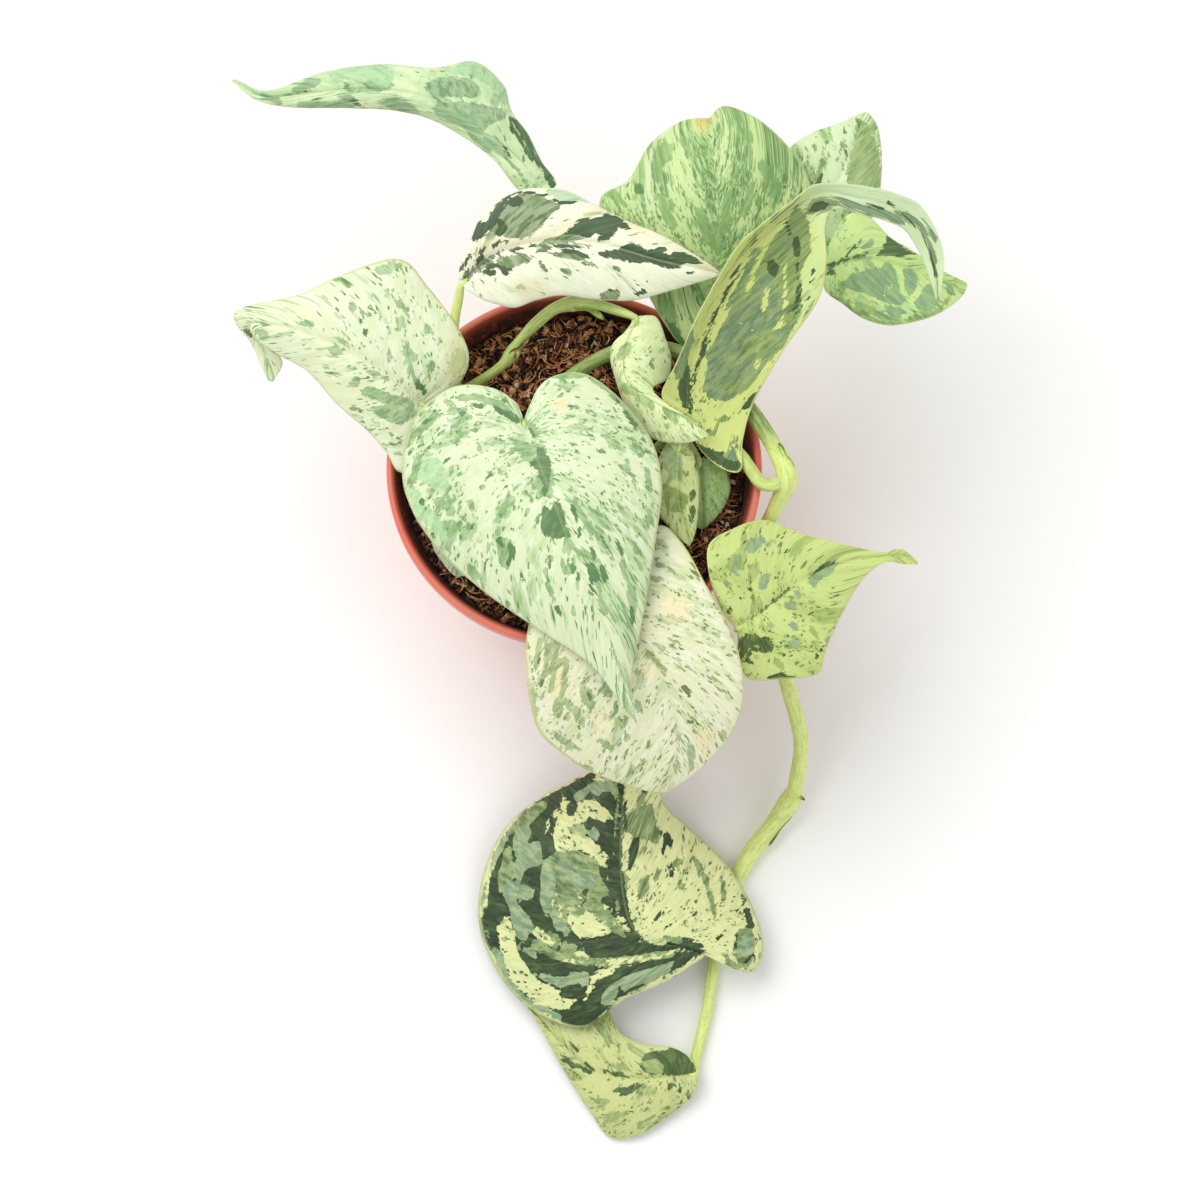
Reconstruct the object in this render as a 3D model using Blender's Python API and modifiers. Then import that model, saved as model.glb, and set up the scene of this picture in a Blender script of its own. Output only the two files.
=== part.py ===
"""Trailing variegated aroid in a round nursery pot, in metres, +Z up.

The origin is the centre of the pot's foot, on the surface that the pot stands on. The leaves
face +Z, and the long stem leaves the pot at +X, drops over the lip and runs out along the
surface towards -Y.
"""

import math

import bmesh
import bpy
import numpy as np

MM = 0.001

# Pot, in millimetres
POT_HEIGHT = 95.0
LIP_RADIUS = 60.0
LIP_HEIGHT = 7.0
LIP_WIDTH = 2.8
LIP_ROUND = 0.8
WALL = 1.4
WALL_TOP_RADIUS = 57.6
FOOT_RADIUS = 41.6
FOOT_RING = 6.5
FOOT_PAD = 20.0
FOOT_RECESS = 1.2
FOOT_CHAMFER = 1.0
POT_SIDES = 44
POT_OVAL = (1.02, 0.985)
DRAIN_HOLES = 6
DRAIN_RADIUS = 3.5
DRAIN_CIRCLE = 27.0

# Soil
SOIL_LEVEL = 83.0
SOIL_GAP = 0.35
SOIL_RINGS = 8
SOIL_RELIEF = 0.7
HOLE_GAP = 0.6
HOLE_FLOOR = 66.0
ROOT_END = 68.0
ROOT_TOP = 86.0

# Leaf blades
BLADE = 0.8
BLADE_ACROSS = 8
ROWS_PER_STATION = 1.4
SEAT_GAP = 0.32

# Stems
TUBE_STEP = 6.0
PETIOLE_NECK = 1.0

# Base colours, linear
TERRACOTTA = (0.66, 0.13, 0.075, 1.0)
SOIL_BROWN = (0.035, 0.018, 0.012, 1.0)
STEM_GREEN = (0.42, 0.55, 0.22, 1.0)
CREAM_LEAF = (0.66, 0.76, 0.45, 1.0)
MINT_LEAF = (0.40, 0.58, 0.27, 1.0)
LIME_LEAF = (0.48, 0.60, 0.18, 1.0)
DARK_LEAF = (0.22, 0.34, 0.16, 1.0)

# Each blade is a row of stations from the notch at its stalk to its tip. A station holds the
# left edge, the midrib and the right edge, each as x, y, z in millimetres, left and right
# being those of someone who looks along the midrib to the tip. The first stations fan round
# the two lobes behind the stalk, so their midrib points lie close together.
LEAVES = {
    "leaf_far_left": (CREAM_LEAF, 0.06, [
        (-9.5, 86.0, 114, -8.5, 87.0, 114, -7.5, 87.5, 114),
        (-14, 85, 113, -10, 89, 114, -6.0, 91, 112),
        (-19, 89, 113, -13, 92.5, 115, -10, 98, 111),
        (-26, 98, 114, -18, 98, 116.5, -14.5, 106.5, 112),
        (-36, 105, 115, -26, 104.5, 118, -20.5, 114, 115),
        (-48, 111.5, 115, -36, 110.5, 120, -23, 122, 119),
        (-60, 115, 114, -48, 116.5, 120.5, -32.5, 128.8, 122),
        (-73, 115.8, 112, -60, 119.8, 119, -45.5, 126.6, 121),
        (-86, 116.4, 110, -74, 121, 116, -63, 128.7, 119),
        (-97, 118.2, 108, -88, 120.8, 112.5, -82, 127.5, 115),
        (-105, 120.8, 107.5, -102, 121, 109, -100, 122.5, 110),
        (-112.5, 126.5, 108, -112, 127, 108, -111.5, 127.5, 108),
    ]),
    "leaf_back": (CREAM_LEAF, 0.10, [
        (-36.8, 55.6, 121, -36, 54.5, 121, -35.2, 53.4, 121),
        (-36.3, 60, 123, -35, 55.5, 121.3, -31, 50.8, 119.5),
        (-33.4, 67.2, 126, -32.5, 58.5, 122, -26, 49, 118),
        (-28.7, 76.2, 128, -27.5, 62.5, 123.5, -19, 47.3, 117.5),
        (-18, 83.3, 128, -20, 65.3, 125, -12, 49.8, 118),
        (-4, 84.2, 127.5, -10, 67, 126, -4, 51.6, 118),
        (7, 79, 127.5, 2, 67, 126.5, 8, 49.8, 118),
        (18, 73, 127.5, 14.5, 64.5, 127, 18.5, 49.2, 119.5),
        (30, 67.8, 127.5, 28, 60.5, 127, 29.5, 51.6, 122),
        (47, 57.2, 126, 47, 56.6, 126, 47, 56, 126),
    ]),
    "leaf_back_round": (MINT_LEAF, 0.10, [
        (44.6, 51.5, 108, 45.8, 52, 108, 47.0, 51.5, 108),
        (41, 43, 105.5, 45.8, 53, 108.3, 52, 44, 105),
        (35, 38.4, 104.5, 45.8, 55, 109.2, 60, 44, 103.5),
        (29, 46, 106, 45.9, 58.5, 111, 68, 52, 105.5),
        (22, 58, 107, 46.3, 64, 114, 74, 64, 108),
        (10.5, 73, 108, 46.6, 72, 117.5, 77.5, 77, 112),
        (8.6, 86.3, 109, 46.2, 82, 120.5, 76.5, 91, 115),
        (17.5, 91.5, 111.5, 45.5, 92, 121.5, 70.5, 100, 117.5),
        (24.5, 103.5, 115, 44.8, 101, 121, 60, 109.5, 119.5),
        (34, 109.5, 117.5, 44.2, 107.5, 120, 49.5, 114.6, 119.5),
        (43.2, 110.4, 118.5, 43.8, 111, 118.8, 44.6, 111.2, 118.8),
    ]),
    "leaf_arched": (LIME_LEAF, -0.06, [
        (35.8, 13.5, 108, 36.7, 14, 108, 37.5, 13.2, 107.6),
        (31, 14.5, 108.5, 36.6, 15, 108.6, 40, 5, 104.5),
        (28.4, 19.9, 111.5, 36.5, 17, 109.3, 47, -1.5, 102),
        (30, 23.5, 117, 36.5, 19.5, 110.6, 53.8, -2.8, 101.8),
        (32.5, 27.5, 122, 36.6, 23, 112.5, 54.5, 6.5, 104.2),
        (37.7, 36.7, 132, 37.6, 29.4, 117, 58, 18, 110),
        (43.8, 47.5, 137, 40.4, 38.3, 122, 67.5, 33, 121.5),
        (51.7, 60.5, 144, 45.5, 49, 128, 77.8, 46.5, 132),
        (60.2, 67.2, 148, 54.5, 61, 134.5, 80, 58, 139),
        (69.2, 73.2, 150, 65.7, 70.3, 141, 79.5, 68, 142.5),
        (76.5, 79, 150, 76.5, 77.3, 145.5, 82.5, 73.2, 143),
        (88, 79.6, 148, 88.5, 76.3, 145, 91, 72, 141.5),
        (101.5, 77.9, 143.5, 100.6, 74.2, 140.5, 101, 70, 137.5),
        (111.3, 74.3, 137.5, 108.3, 70.6, 135.5, 106.6, 67.8, 133.5),
        (118, 62.5, 129.5, 114.8, 61, 128.5, 112.2, 59.6, 127.5),
        (117.3, 48.8, 124, 116.7, 48.4, 124, 116.1, 48.2, 124),
    ]),
    "leaf_right_tip": (LIME_LEAF, 0.08, [
        (80.4, 62.4, 108, 80.8, 61.3, 108, 81, 60.2, 108),
        (83.5, 71.5, 110, 81.8, 62, 108.5, 82, 55.5, 107),
        (88.8, 80.3, 112, 84, 63.2, 109.5, 87.5, 51.5, 107),
        (96, 79, 113, 89, 64.5, 111.5, 94, 46.5, 107),
        (102.5, 72, 113, 97, 64.5, 113, 102, 44.2, 107),
        (109.5, 67.8, 113, 106.5, 62.3, 113, 110.5, 45.4, 108),
        (116, 64, 112, 114.5, 59.3, 112.3, 118.5, 48, 109),
        (122, 60, 111, 121.5, 57.8, 111.3, 125, 52.5, 110),
        (127.2, 58.2, 110, 127.4, 57.6, 110, 127.6, 57, 110),
    ]),
    "leaf_upright": (MINT_LEAF, 0.06, [
        (78.8, 70.6, 102, 79.8, 70.8, 102, 80.8, 70.6, 102),
        (73.5, 73, 101.5, 80.2, 72.5, 102.3, 85.5, 70, 101),
        (69.5, 83, 102.5, 81.5, 78, 103.5, 92, 75.5, 101),
        (67.5, 93.5, 104, 84, 87, 105, 99, 84.5, 101.5),
        (69.5, 103.3, 105, 88, 96.5, 106, 101, 96.5, 102.5),
        (77, 109.2, 105.5, 91.5, 105, 106, 100.8, 106, 103.5),
        (87.5, 113.4, 105, 94, 112, 105.3, 99, 113.3, 104),
        (95, 117.2, 104, 95.6, 117.5, 104, 96.2, 117.3, 104),
    ]),
    "leaf_folded": (CREAM_LEAF, 0.08, [
        (21.2, 44.9, 117, 20.2, 44.2, 117, 19.3, 43.6, 117),
        (26.5, 44.8, 115.5, 19.6, 42.5, 116.5, 16.5, 40.2, 114.5),
        (29.6, 38.5, 113.5, 17.8, 37.5, 115, 12.4, 36.5, 112.5),
        (31.5, 32.5, 110.5, 16, 31, 113.5, 11.8, 31, 110.5),
        (30.5, 26.5, 108, 16.6, 25.2, 112.8, 13.8, 24, 108),
        (25.5, 22.5, 110.5, 21.5, 20.3, 113, 17.8, 15, 106),
        (30.4, 16.8, 112.3, 29.5, 15.8, 113, 25.5, 7, 106),
        (37.4, 12.4, 112.2, 37, 11.5, 112.3, 34.5, 5, 107.5),
        (43.5, 7.6, 110.5, 43.3, 7.1, 110.5, 43, 6.7, 110.5),
    ]),
    "leaf_inner": (CREAM_LEAF, 0.08, [
        (35, 7, 102.5, 34, 6.3, 102.5, 33, 7, 102.5),
        (37.6, 5.5, 102, 33.9, 4.8, 102.5, 30, 6, 102.5),
        (39.3, 0.5, 101, 33.6, 1, 102.3, 27, 0.5, 102),
        (40.6, -6, 100, 33.3, -5, 101.5, 25.5, -7, 101),
        (40.5, -13.5, 99, 33.8, -12, 100.5, 26.5, -14.5, 100),
        (39.6, -20.5, 97.5, 35.4, -19, 99, 30.5, -20.5, 98.5),
        (37.8, -26.4, 96.5, 37.3, -26.8, 96.5, 36.8, -26.4, 96.5),
    ]),
    "leaf_front_heart": (CREAM_LEAF, 0.09, [
        (-14.6, 11.2, 117.6, -16, 10, 117.6, -17.4, 11.2, 117.6),
        (-13.6, 16, 118.2, -16, 9.3, 117.8, -18.5, 16, 118.2),
        (-8.5, 23.5, 118.5, -15.7, 8.2, 118.2, -26.5, 21.4, 118),
        (3, 25.8, 118, -15.2, 6.6, 118.8, -39.5, 21.2, 116.5),
        (14, 19, 116.5, -14.2, 4, 119.5, -51.3, 11.8, 113.5),
        (24.5, 5.5, 114.5, -12.6, -0.5, 120.3, -55.5, -4, 110),
        (28.2, -9.5, 113, -9.6, -8, 121, -52, -17, 108),
        (27, -24, 111.5, -5.5, -19, 121, -42.5, -30.5, 106),
        (24.5, -39, 109, -0.5, -32, 119, -28, -44, 104.5),
        (21.7, -53, 105.5, 6, -47, 114.5, -11, -55.5, 103),
        (19.3, -66, 101.5, 12.5, -61.5, 107.5, 4.3, -65, 101.5),
        (18.3, -76, 98.5, 16.8, -73.5, 101.2, 13.5, -76, 98.5),
        (20.4, -84, 97, 20, -84.4, 97, 19.6, -84.2, 97),
    ]),
    "leaf_left": (CREAM_LEAF, 0.09, [
        (-48.6, 16.6, 104, -48, 17.8, 104, -47.4, 19, 104),
        (-46.5, 8.5, 103, -48.6, 18, 104.2, -40.5, 22.5, 105),
        (-49.5, -1.5, 100.5, -49.5, 18.6, 104.8, -35.8, 26.5, 106),
        (-57, -2.5, 99.5, -51, 19.8, 105.8, -34.2, 34.5, 108),
        (-61.5, 4, 100.5, -54, 22, 107.8, -38.5, 44, 112),
        (-68, 11.5, 102.5, -60, 26, 111, -46.5, 54.5, 116),
        (-77, 19, 105.5, -69, 31.5, 114.5, -56, 63.2, 119),
        (-86, 28, 108, -80.5, 37, 117, -73, 58.5, 119),
        (-94, 33, 109, -92, 41, 116.5, -89, 52.2, 117),
        (-101, 38.5, 108.5, -104, 43.5, 112.5, -105.5, 49.5, 112.5),
        (-98, 37.5, 104.5, -104.5, 41.5, 107.5, -110, 46.5, 108.5),
        (-95, 33.5, 100.5, -100.5, 36.5, 102.5, -105, 39, 103.5),
        (-98.2, 28, 97, -99, 27.8, 97, -99.8, 28.2, 97),
    ]),
    "leaf_over_rim": (CREAM_LEAF, 0.05, [
        (9.5, -37.2, 99, 8, -38, 99, 6.5, -37.2, 99),
        (18, -28, 99.5, 8.6, -39, 99.3, -3, -39, 98.5),
        (27.5, -20, 99.5, 10, -41, 99.8, -12.5, -47, 98.2),
        (35, -26.5, 100.3, 12.8, -45, 100.4, -15.5, -57.5, 98.3),
        (42.5, -40, 101, 17, -51, 100.5, -15.3, -67, 94),
        (50, -53, 97.5, 21.5, -58, 98.6, -14.2, -76.5, 88),
        (54.4, -66, 91.5, 26.5, -66, 94.8, -11, -86, 81),
        (54.3, -77.5, 83.5, 31, -75.5, 89, -1.5, -93, 74),
        (49.8, -87.5, 75.5, 33.5, -85.5, 81.5, 9, -98, 68),
        (40.5, -96, 67.5, 33, -95.5, 72, 20, -101.5, 64.5),
        (29.6, -102.8, 62, 29, -103.2, 62, 28.4, -102.8, 62),
    ]),
    "leaf_trailing": (DARK_LEAF, 0.12, [
        (44.7, -151.8, 17, 45.6, -150.5, 17, 46.6, -151.6, 17),
        (40, -155.5, 16.5, 43.8, -150.3, 17.3, 50.5, -153.2, 16),
        (30, -161.3, 15.5, 41, -150, 18, 58.5, -158.3, 13),
        (17, -167.3, 15.5, 36.5, -149.8, 18.8, 63.2, -153.5, 11),
        (3, -176.8, 14, 30.5, -149, 19.5, 63.5, -144, 10),
        (-12, -172, 9.5, 24, -147.3, 20.5, 60, -133.3, 9.8),
        (-24.5, -160.5, 6.5, 19, -142.5, 21.5, 54, -124, 10.5),
        (-33, -143.5, 5.2, 16.5, -134, 23.5, 46, -115.3, 12.5),
        (-32.7, -127.5, 6, 15.5, -122.5, 25.5, 37, -107, 15.5),
        (-25.3, -110.3, 9, 15.5, -111, 27, 30, -100.5, 19),
        (-12.2, -98, 14, 16.5, -100, 28, 28.5, -93, 22),
        (5, -89.5, 21, 18, -90, 27.5, 26.5, -86, 24.5),
        (19.4, -79.5, 25.5, 20, -79, 25.5, 20.6, -79.3, 25.5),
    ]),
    "leaf_trailing_end": (CREAM_LEAF, 0.10, [
        (41.2, -193, 7.5, 41, -192, 7.5, 40.8, -191, 7.5),
        (41, -197, 6, 38.8, -192.3, 8, 38.8, -186.8, 9.5),
        (37.7, -202, 4.5, 34.5, -193, 8.6, 32.5, -183.2, 11),
        (30.5, -207, 3.4, 27.5, -193.8, 8.8, 23.5, -182, 10),
        (21.5, -212.4, 2.4, 19.5, -194, 8.5, 15, -177.8, 8.5),
        (11.5, -213.3, 1.8, 11, -193, 7.8, 10, -169.5, 7.2),
        (4.7, -204.5, 2, 3, -189.3, 7, -1.5, -166.5, 6),
        (-3, -191.5, 2.6, -5, -181.5, 6, -9, -166.5, 5),
        (-10.3, -178.8, 3.4, -11, -174, 5, -13.5, -168, 4.4),
        (-16, -169.5, 3.8, -16, -169, 3.8, -16, -168.4, 3.8),
    ]),
    "leaf_right": (LIME_LEAF, 0.05, [
        (51.8, -51.6, 90, 52.8, -52.7, 90, 53.4, -54.2, 89.5),
        (47.5, -46.5, 94, 54, -51.8, 90, 53.6, -60.8, 85),
        (44.2, -38.5, 98.6, 56.5, -50, 90, 57, -67.8, 81),
        (43.4, -27, 100, 60, -47.6, 89.7, 68, -67.6, 79),
        (51.5, -21.2, 98.8, 65.6, -43.1, 89.2, 79.2, -65.6, 78),
        (62, -17.2, 94, 71.6, -37.9, 88.2, 82, -58.5, 79),
        (74.6, -21.3, 90, 79.6, -33.5, 87, 88, -46, 80),
        (87.7, -24.2, 87, 89.7, -29.6, 85.2, 94.8, -34.3, 82),
        (100.6, -26.3, 84.3, 101, -27.7, 83.8, 101.6, -29.2, 83.2),
        (107, -24.8, 82, 107.4, -27, 81.5, 108, -29.4, 80.6),
        (113, -28.3, 79, 112.9, -28.9, 79, 112.8, -29.4, 79),
    ]),
    "leaf_young": (MINT_LEAF, 0.10, [
        (41.6, 3.6, 91.5, 40.7, 3.2, 91.5, 39.8, 3.6, 91.5),
        (44.5, 3.2, 91.3, 40.8, 2.2, 91.6, 37, 3.6, 91.3),
        (48.9, 0.6, 91, 41, -1.2, 91.8, 33.8, 0, 91),
        (51, -5.5, 90.3, 41.3, -6.8, 91.6, 32.4, -6.5, 90.4),
        (49.8, -11, 89.4, 41.6, -12.2, 90.8, 33.6, -13.2, 89.4),
        (46.2, -15.6, 88.6, 41.7, -15.8, 89.6, 37.2, -16.2, 88.6),
        (42, -19.3, 88, 41.5, -19.6, 88, 41, -19.3, 88),
    ]),
    "leaf_under": (MINT_LEAF, 0.08, [
        (-28.6, -5.2, 95.5, -29.8, -5.8, 95.5, -31, -5.2, 95.5),
        (-25, -5, 95.6, -30, -7.2, 95.6, -36, -4.6, 95.6),
        (-21, -11, 95.6, -30.8, -11.5, 95.8, -43.5, -9.5, 95),
        (-20.4, -19.5, 95, -32.4, -18.7, 95.4, -47, -18, 94),
        (-24.5, -28, 94, -34.8, -26, 94.5, -45.6, -26.8, 93.2),
        (-31.2, -34, 93, -37, -31.6, 93.4, -42, -32.3, 92.8),
        (-37.4, -36, 92.6, -37.9, -36.3, 92.6, -38.4, -36, 92.6),
    ]),
}

# Each stem is a list of tubes. A tube holds its points as x, y, z, radius in millimetres and the
# leaf that it carries: its end follows from that leaf's notch. A tube that starts at ROOT_END
# stands in a hole in the soil.
STEMS = {
    "vine_trailing": [
        ([(-12, 18, ROOT_END, 2.3), (-12, 18, 77, 2.3), (-12, 18, ROOT_TOP, 2.3),
          (-7.5, 25, 92, 2.3), (3.5, 32.7, 98, 2.4), (15, 37, 101.5, 2.4),
          (30, 37.5, 102.5, 2.5), (46, 30.5, 103, 2.6), (57, 17, 102.8, 2.7),
          (64.8, 5, 101.8, 2.8), (69, -4.8, 99, 3.3), (65.8, -12, 90, 2.5),
          (62.2, -20, 81, 2.5), (62.5, -31, 70, 2.5), (66, -47, 55, 2.5),
          (72, -65, 40, 2.6), (76.6, -80, 27.5, 2.6), (75.6, -93, 16.5, 2.7),
          (74, -98.5, 11.5, 3.1), (68.5, -106, 7, 2.6), (60, -117, 4.2, 2.5),
          (53, -130, 3.4, 2.4), (49.5, -142, 3.2, 2.6), (47.2, -155, 3.0, 2.2),
          (45, -170, 2.8, 2.0), (41.8, -183, 2.8, 1.9), (40.6, -189, 3.3, 1.7)],
         "leaf_trailing_end"),
        ([(69, -4.8, 99, 2.5), (64.5, -6.8, 98.6, 2.3), (60.3, -6, 98.6, 2.3),
          (57, -1.5, 98.7, 2.3), (53, 4, 99.6, 2.0), (45, 10.5, 102.2, 1.7)],
         "leaf_arched"),
        ([(62.2, -25, 76, 1.6), (61.5, -32, 79, 1.6), (58, -44, 83.5, 1.5)],
         "leaf_right"),
        ([(51, -136, 3.4, 1.6), (49.3, -142.5, 6.5, 1.6), (47, -148.5, 11.5, 1.4)],
         "leaf_trailing"),
    ],
    "vine_back": [
        ([(-38.5, 25, ROOT_END, 1.8), (-38.5, 25, 77, 1.8), (-38.5, 25, ROOT_TOP, 1.8),
          (-34.5, 28, 89, 1.7), (-28.8, 31, 91.5, 1.6), (-23.5, 34.5, 93.5, 1.7),
          (-20.3, 38, 95.5, 2.3), (-17.2, 42, 98.5, 1.7), (-12.4, 46.3, 102, 2.0),
          (-6.3, 50.3, 105.5, 2.1), (0.5, 51.6, 108, 2.5), (6, 51.2, 108.8, 1.8),
          (13, 48.5, 111.3, 1.7)],
         "leaf_folded"),
        ([(-38, 25.6, 86, 1.6), (-39, 31, 93, 1.6), (-39.5, 38, 101, 1.6),
          (-38.6, 45.5, 109.5, 1.6), (-37.2, 51, 116, 1.6)],
         "leaf_back"),
        ([(0.5, 51.6, 108, 1.7), (1, 60, 109.5, 1.6), (-0.5, 70, 111, 1.5),
          (-4, 80, 112, 1.4)],
         "leaf_far_left"),
    ],
    "vine_right": [
        ([(40, 26, ROOT_END, 2.0), (40, 26, 77, 2.0), (40, 26, ROOT_TOP, 2.0),
          (40.8, 29.5, 92.5, 2.0), (42.5, 34.5, 97, 2.0), (47, 41, 98.4, 2.2),
          (57, 49, 98.8, 1.9), (67, 54, 99.5, 2.2), (74, 57.5, 101.5, 1.5),
          (78.5, 60, 104.5, 1.4)],
         "leaf_right_tip"),
        ([(47, 41, 98.4, 1.6), (46.8, 44.5, 101.5, 1.5), (46.2, 49, 105, 1.4)],
         "leaf_back_round"),
        ([(67, 54, 99.5, 1.5), (73, 60, 98.5, 1.4), (77.5, 66.5, 99, 1.3)],
         "leaf_upright"),
    ],
    "petiole_front": [
        ([(-12, -3, ROOT_END, 2.1), (-12, -3, 77, 2.1), (-12, -3, ROOT_TOP, 2.1),
          (-12.3, -1, 96, 2.0), (-13.2, 3, 105, 1.9), (-14.8, 7, 112.5, 1.8)],
         "leaf_front_heart"),
    ],
    "petiole_left": [
        ([(-37, 7, ROOT_END, 1.7), (-37, 7, 77, 1.7), (-37, 7, ROOT_TOP, 1.7),
          (-39, 9.5, 93, 1.6), (-43.5, 13.5, 99, 1.5)],
         "leaf_left"),
    ],
    "petiole_inner": [
        ([(24, 4, ROOT_END, 1.5), (24, 4, 77, 1.5), (24, 4, ROOT_TOP, 1.5),
          (27, 7, 93, 1.5), (31, 8.5, 98.5, 1.4)],
         "leaf_inner"),
    ],
    "petiole_over_rim": [
        ([(4, -20, ROOT_END, 1.8), (4, -20, 77, 1.8), (4, -20, ROOT_TOP, 1.8),
          (4.5, -25, 91, 1.7), (6.3, -32, 95, 1.6)],
         "leaf_over_rim"),
    ],
    "petiole_young": [
        ([(35, 13, ROOT_END, 1.3), (35, 13, 77, 1.3), (35, 13, ROOT_TOP, 1.3),
          (37.5, 9.5, 88.3, 1.2)],
         "leaf_young"),
    ],
    "petiole_under": [
        ([(-22, 3, ROOT_END, 1.3), (-22, 3, 77, 1.3), (-22, 3, ROOT_TOP, 1.3),
          (-25, -0.5, 90.5, 1.2)],
         "leaf_under"),
    ],
}


def clear_scene():
    for obj in list(bpy.data.objects):
        bpy.data.objects.remove(obj, do_unlink=True)


def new_collection(name):
    group = bpy.data.collections.new(name)
    bpy.context.scene.collection.children.link(group)
    return group


def material(name, colour, roughness):
    made = bpy.data.materials.get(name)
    if made is None:
        made = bpy.data.materials.new(name)
        made.use_nodes = True
        surface = made.node_tree.nodes["Principled BSDF"]
        surface.inputs["Base Color"].default_value = colour
        surface.inputs["Roughness"].default_value = roughness
        surface.inputs["Metallic"].default_value = 0.0
    return made


def add_object(name, mesh, group):
    obj = bpy.data.objects.new(name, mesh)
    group.objects.link(obj)
    return obj


def apply_modifiers(obj):
    graph = bpy.context.evaluated_depsgraph_get()
    mesh = bpy.data.meshes.new_from_object(obj.evaluated_get(graph))
    obj.modifiers.clear()
    old = obj.data
    obj.data = mesh
    bpy.data.meshes.remove(old)


def smooth(mesh):
    mesh.shade_smooth()
    mesh.set_sharp_from_angle(angle=math.radians(40))


def screw_solid(name, profile, sides, group):
    """Turn a profile of (radius, height) points about the pot's axis, a little out of round."""
    mesh = bpy.data.meshes.new(name)
    points = [(radius * MM, 0.0, height * MM) for radius, height in profile]
    mesh.from_pydata(points, [(i, i + 1) for i in range(len(points) - 1)], [])
    obj = add_object(name, mesh, group)
    screw = obj.modifiers.new("turn", "SCREW")
    screw.steps = screw.render_steps = sides
    screw.use_merge_vertices = True
    screw.merge_threshold = 0.00001
    apply_modifiers(obj)
    for vertex in obj.data.vertices:
        vertex.co.x *= POT_OVAL[0]
        vertex.co.y *= POT_OVAL[1]
    return obj


def wall_inside(height):
    """Radius of the pot's inner wall at a height."""
    rise = (height - FOOT_RECESS - WALL) / (POT_HEIGHT - FOOT_RECESS - WALL)
    low = FOOT_RADIUS - WALL
    return low + (LIP_RADIUS - LIP_WIDTH - low) * rise


def cut(obj, cutter, name):
    boolean = obj.modifiers.new(name, "BOOLEAN")
    boolean.operation = "DIFFERENCE"
    boolean.object = cutter
    apply_modifiers(obj)


def cylinder(name, centre, radius, bottom, top, sides, group):
    mesh = bpy.data.meshes.new(name)
    shape = bmesh.new()
    bmesh.ops.create_cone(
        shape, cap_ends=True, segments=sides,
        radius1=radius * MM, radius2=radius * MM, depth=(top - bottom) * MM,
    )
    shape.to_mesh(mesh)
    shape.free()
    obj = add_object(name, mesh, group)
    obj.location = (centre[0] * MM, centre[1] * MM, (top + bottom) / 2 * MM)
    obj.display_type = "WIRE"
    obj.hide_render = True
    bpy.context.view_layer.update()
    return obj


def build_pot(parts, cutters):
    floor = FOOT_RECESS + WALL
    lip_in = LIP_RADIUS - LIP_WIDTH
    under_lip = POT_HEIGHT - LIP_HEIGHT
    profile = [
        (0.0, floor),
        (wall_inside(floor) - LIP_ROUND, floor),
        (wall_inside(floor + LIP_ROUND), floor + LIP_ROUND),
        (wall_inside(POT_HEIGHT - LIP_ROUND), POT_HEIGHT - LIP_ROUND),
        (lip_in + LIP_ROUND / 2, POT_HEIGHT),
        (LIP_RADIUS - LIP_ROUND, POT_HEIGHT),
        (LIP_RADIUS, POT_HEIGHT - LIP_ROUND),
        (LIP_RADIUS, under_lip + LIP_ROUND),
        (LIP_RADIUS - LIP_ROUND / 2, under_lip),
        (WALL_TOP_RADIUS, under_lip),
        (FOOT_RADIUS + FOOT_CHAMFER / 4, FOOT_CHAMFER),
        (FOOT_RADIUS - FOOT_CHAMFER, 0.0),
        (FOOT_RADIUS - FOOT_RING, 0.0),
        (FOOT_RADIUS - FOOT_RING - FOOT_CHAMFER, FOOT_RECESS),
        (FOOT_PAD + FOOT_CHAMFER, FOOT_RECESS),
        (FOOT_PAD, 0.0),
        (0.0, 0.0),
    ]
    pot = screw_solid("pot", profile, POT_SIDES, parts)
    for k in range(DRAIN_HOLES):
        turn = 2 * math.pi * (k + 0.5) / DRAIN_HOLES
        centre = (DRAIN_CIRCLE * math.cos(turn), DRAIN_CIRCLE * math.sin(turn))
        hole = cylinder(
            f"drain_{k}", centre, DRAIN_RADIUS, FOOT_RECESS - WALL, floor + WALL, 12, cutters
        )
        cut(pot, hole, "drain")
    smooth(pot.data)
    pot.data.materials.append(material("terracotta plastic", TERRACOTTA, 0.45))


def soil_relief(x, y):
    """Height of the coarse crumbs over the soil's mean level, in millimetres."""
    swell = math.sin(0.11 * x + 0.7) * math.cos(0.13 * y - 0.4)
    crumbs = math.sin(0.43 * x + 0.31 * y) * math.cos(0.37 * y - 0.23 * x + 1.1)
    return SOIL_RELIEF * (0.5 * swell + 0.5 * crumbs)


def build_soil(parts, cutters):
    floor = FOOT_RECESS + WALL + SOIL_GAP
    bottom = wall_inside(floor) - LIP_ROUND - SOIL_GAP
    top = wall_inside(SOIL_LEVEL) - 1.2 * SOIL_GAP
    profile = [(top * k / SOIL_RINGS, SOIL_LEVEL) for k in range(SOIL_RINGS + 1)]
    profile += [(bottom, floor), (0.0, floor)]
    soil = screw_solid("soil", profile, POT_SIDES, parts)
    rim = (top - SOIL_GAP) * min(POT_OVAL) * MM
    for vertex in soil.data.vertices:
        x, y, z = vertex.co
        if z > (SOIL_LEVEL - SOIL_GAP) * MM and math.hypot(x, y) < rim:
            vertex.co.z += soil_relief(x / MM, y / MM) * MM
    for name, tubes in STEMS.items():
        x, y, _, radius = tubes[0][0][0]
        hole = cylinder(
            f"hole_{name}", (x, y), radius + HOLE_GAP, HOLE_FLOOR, ROOT_TOP, 12, cutters
        )
        cut(soil, hole, "hole")
    smooth(soil.data)
    soil.data.materials.append(material("potting soil", SOIL_BROWN, 0.95))


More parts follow.
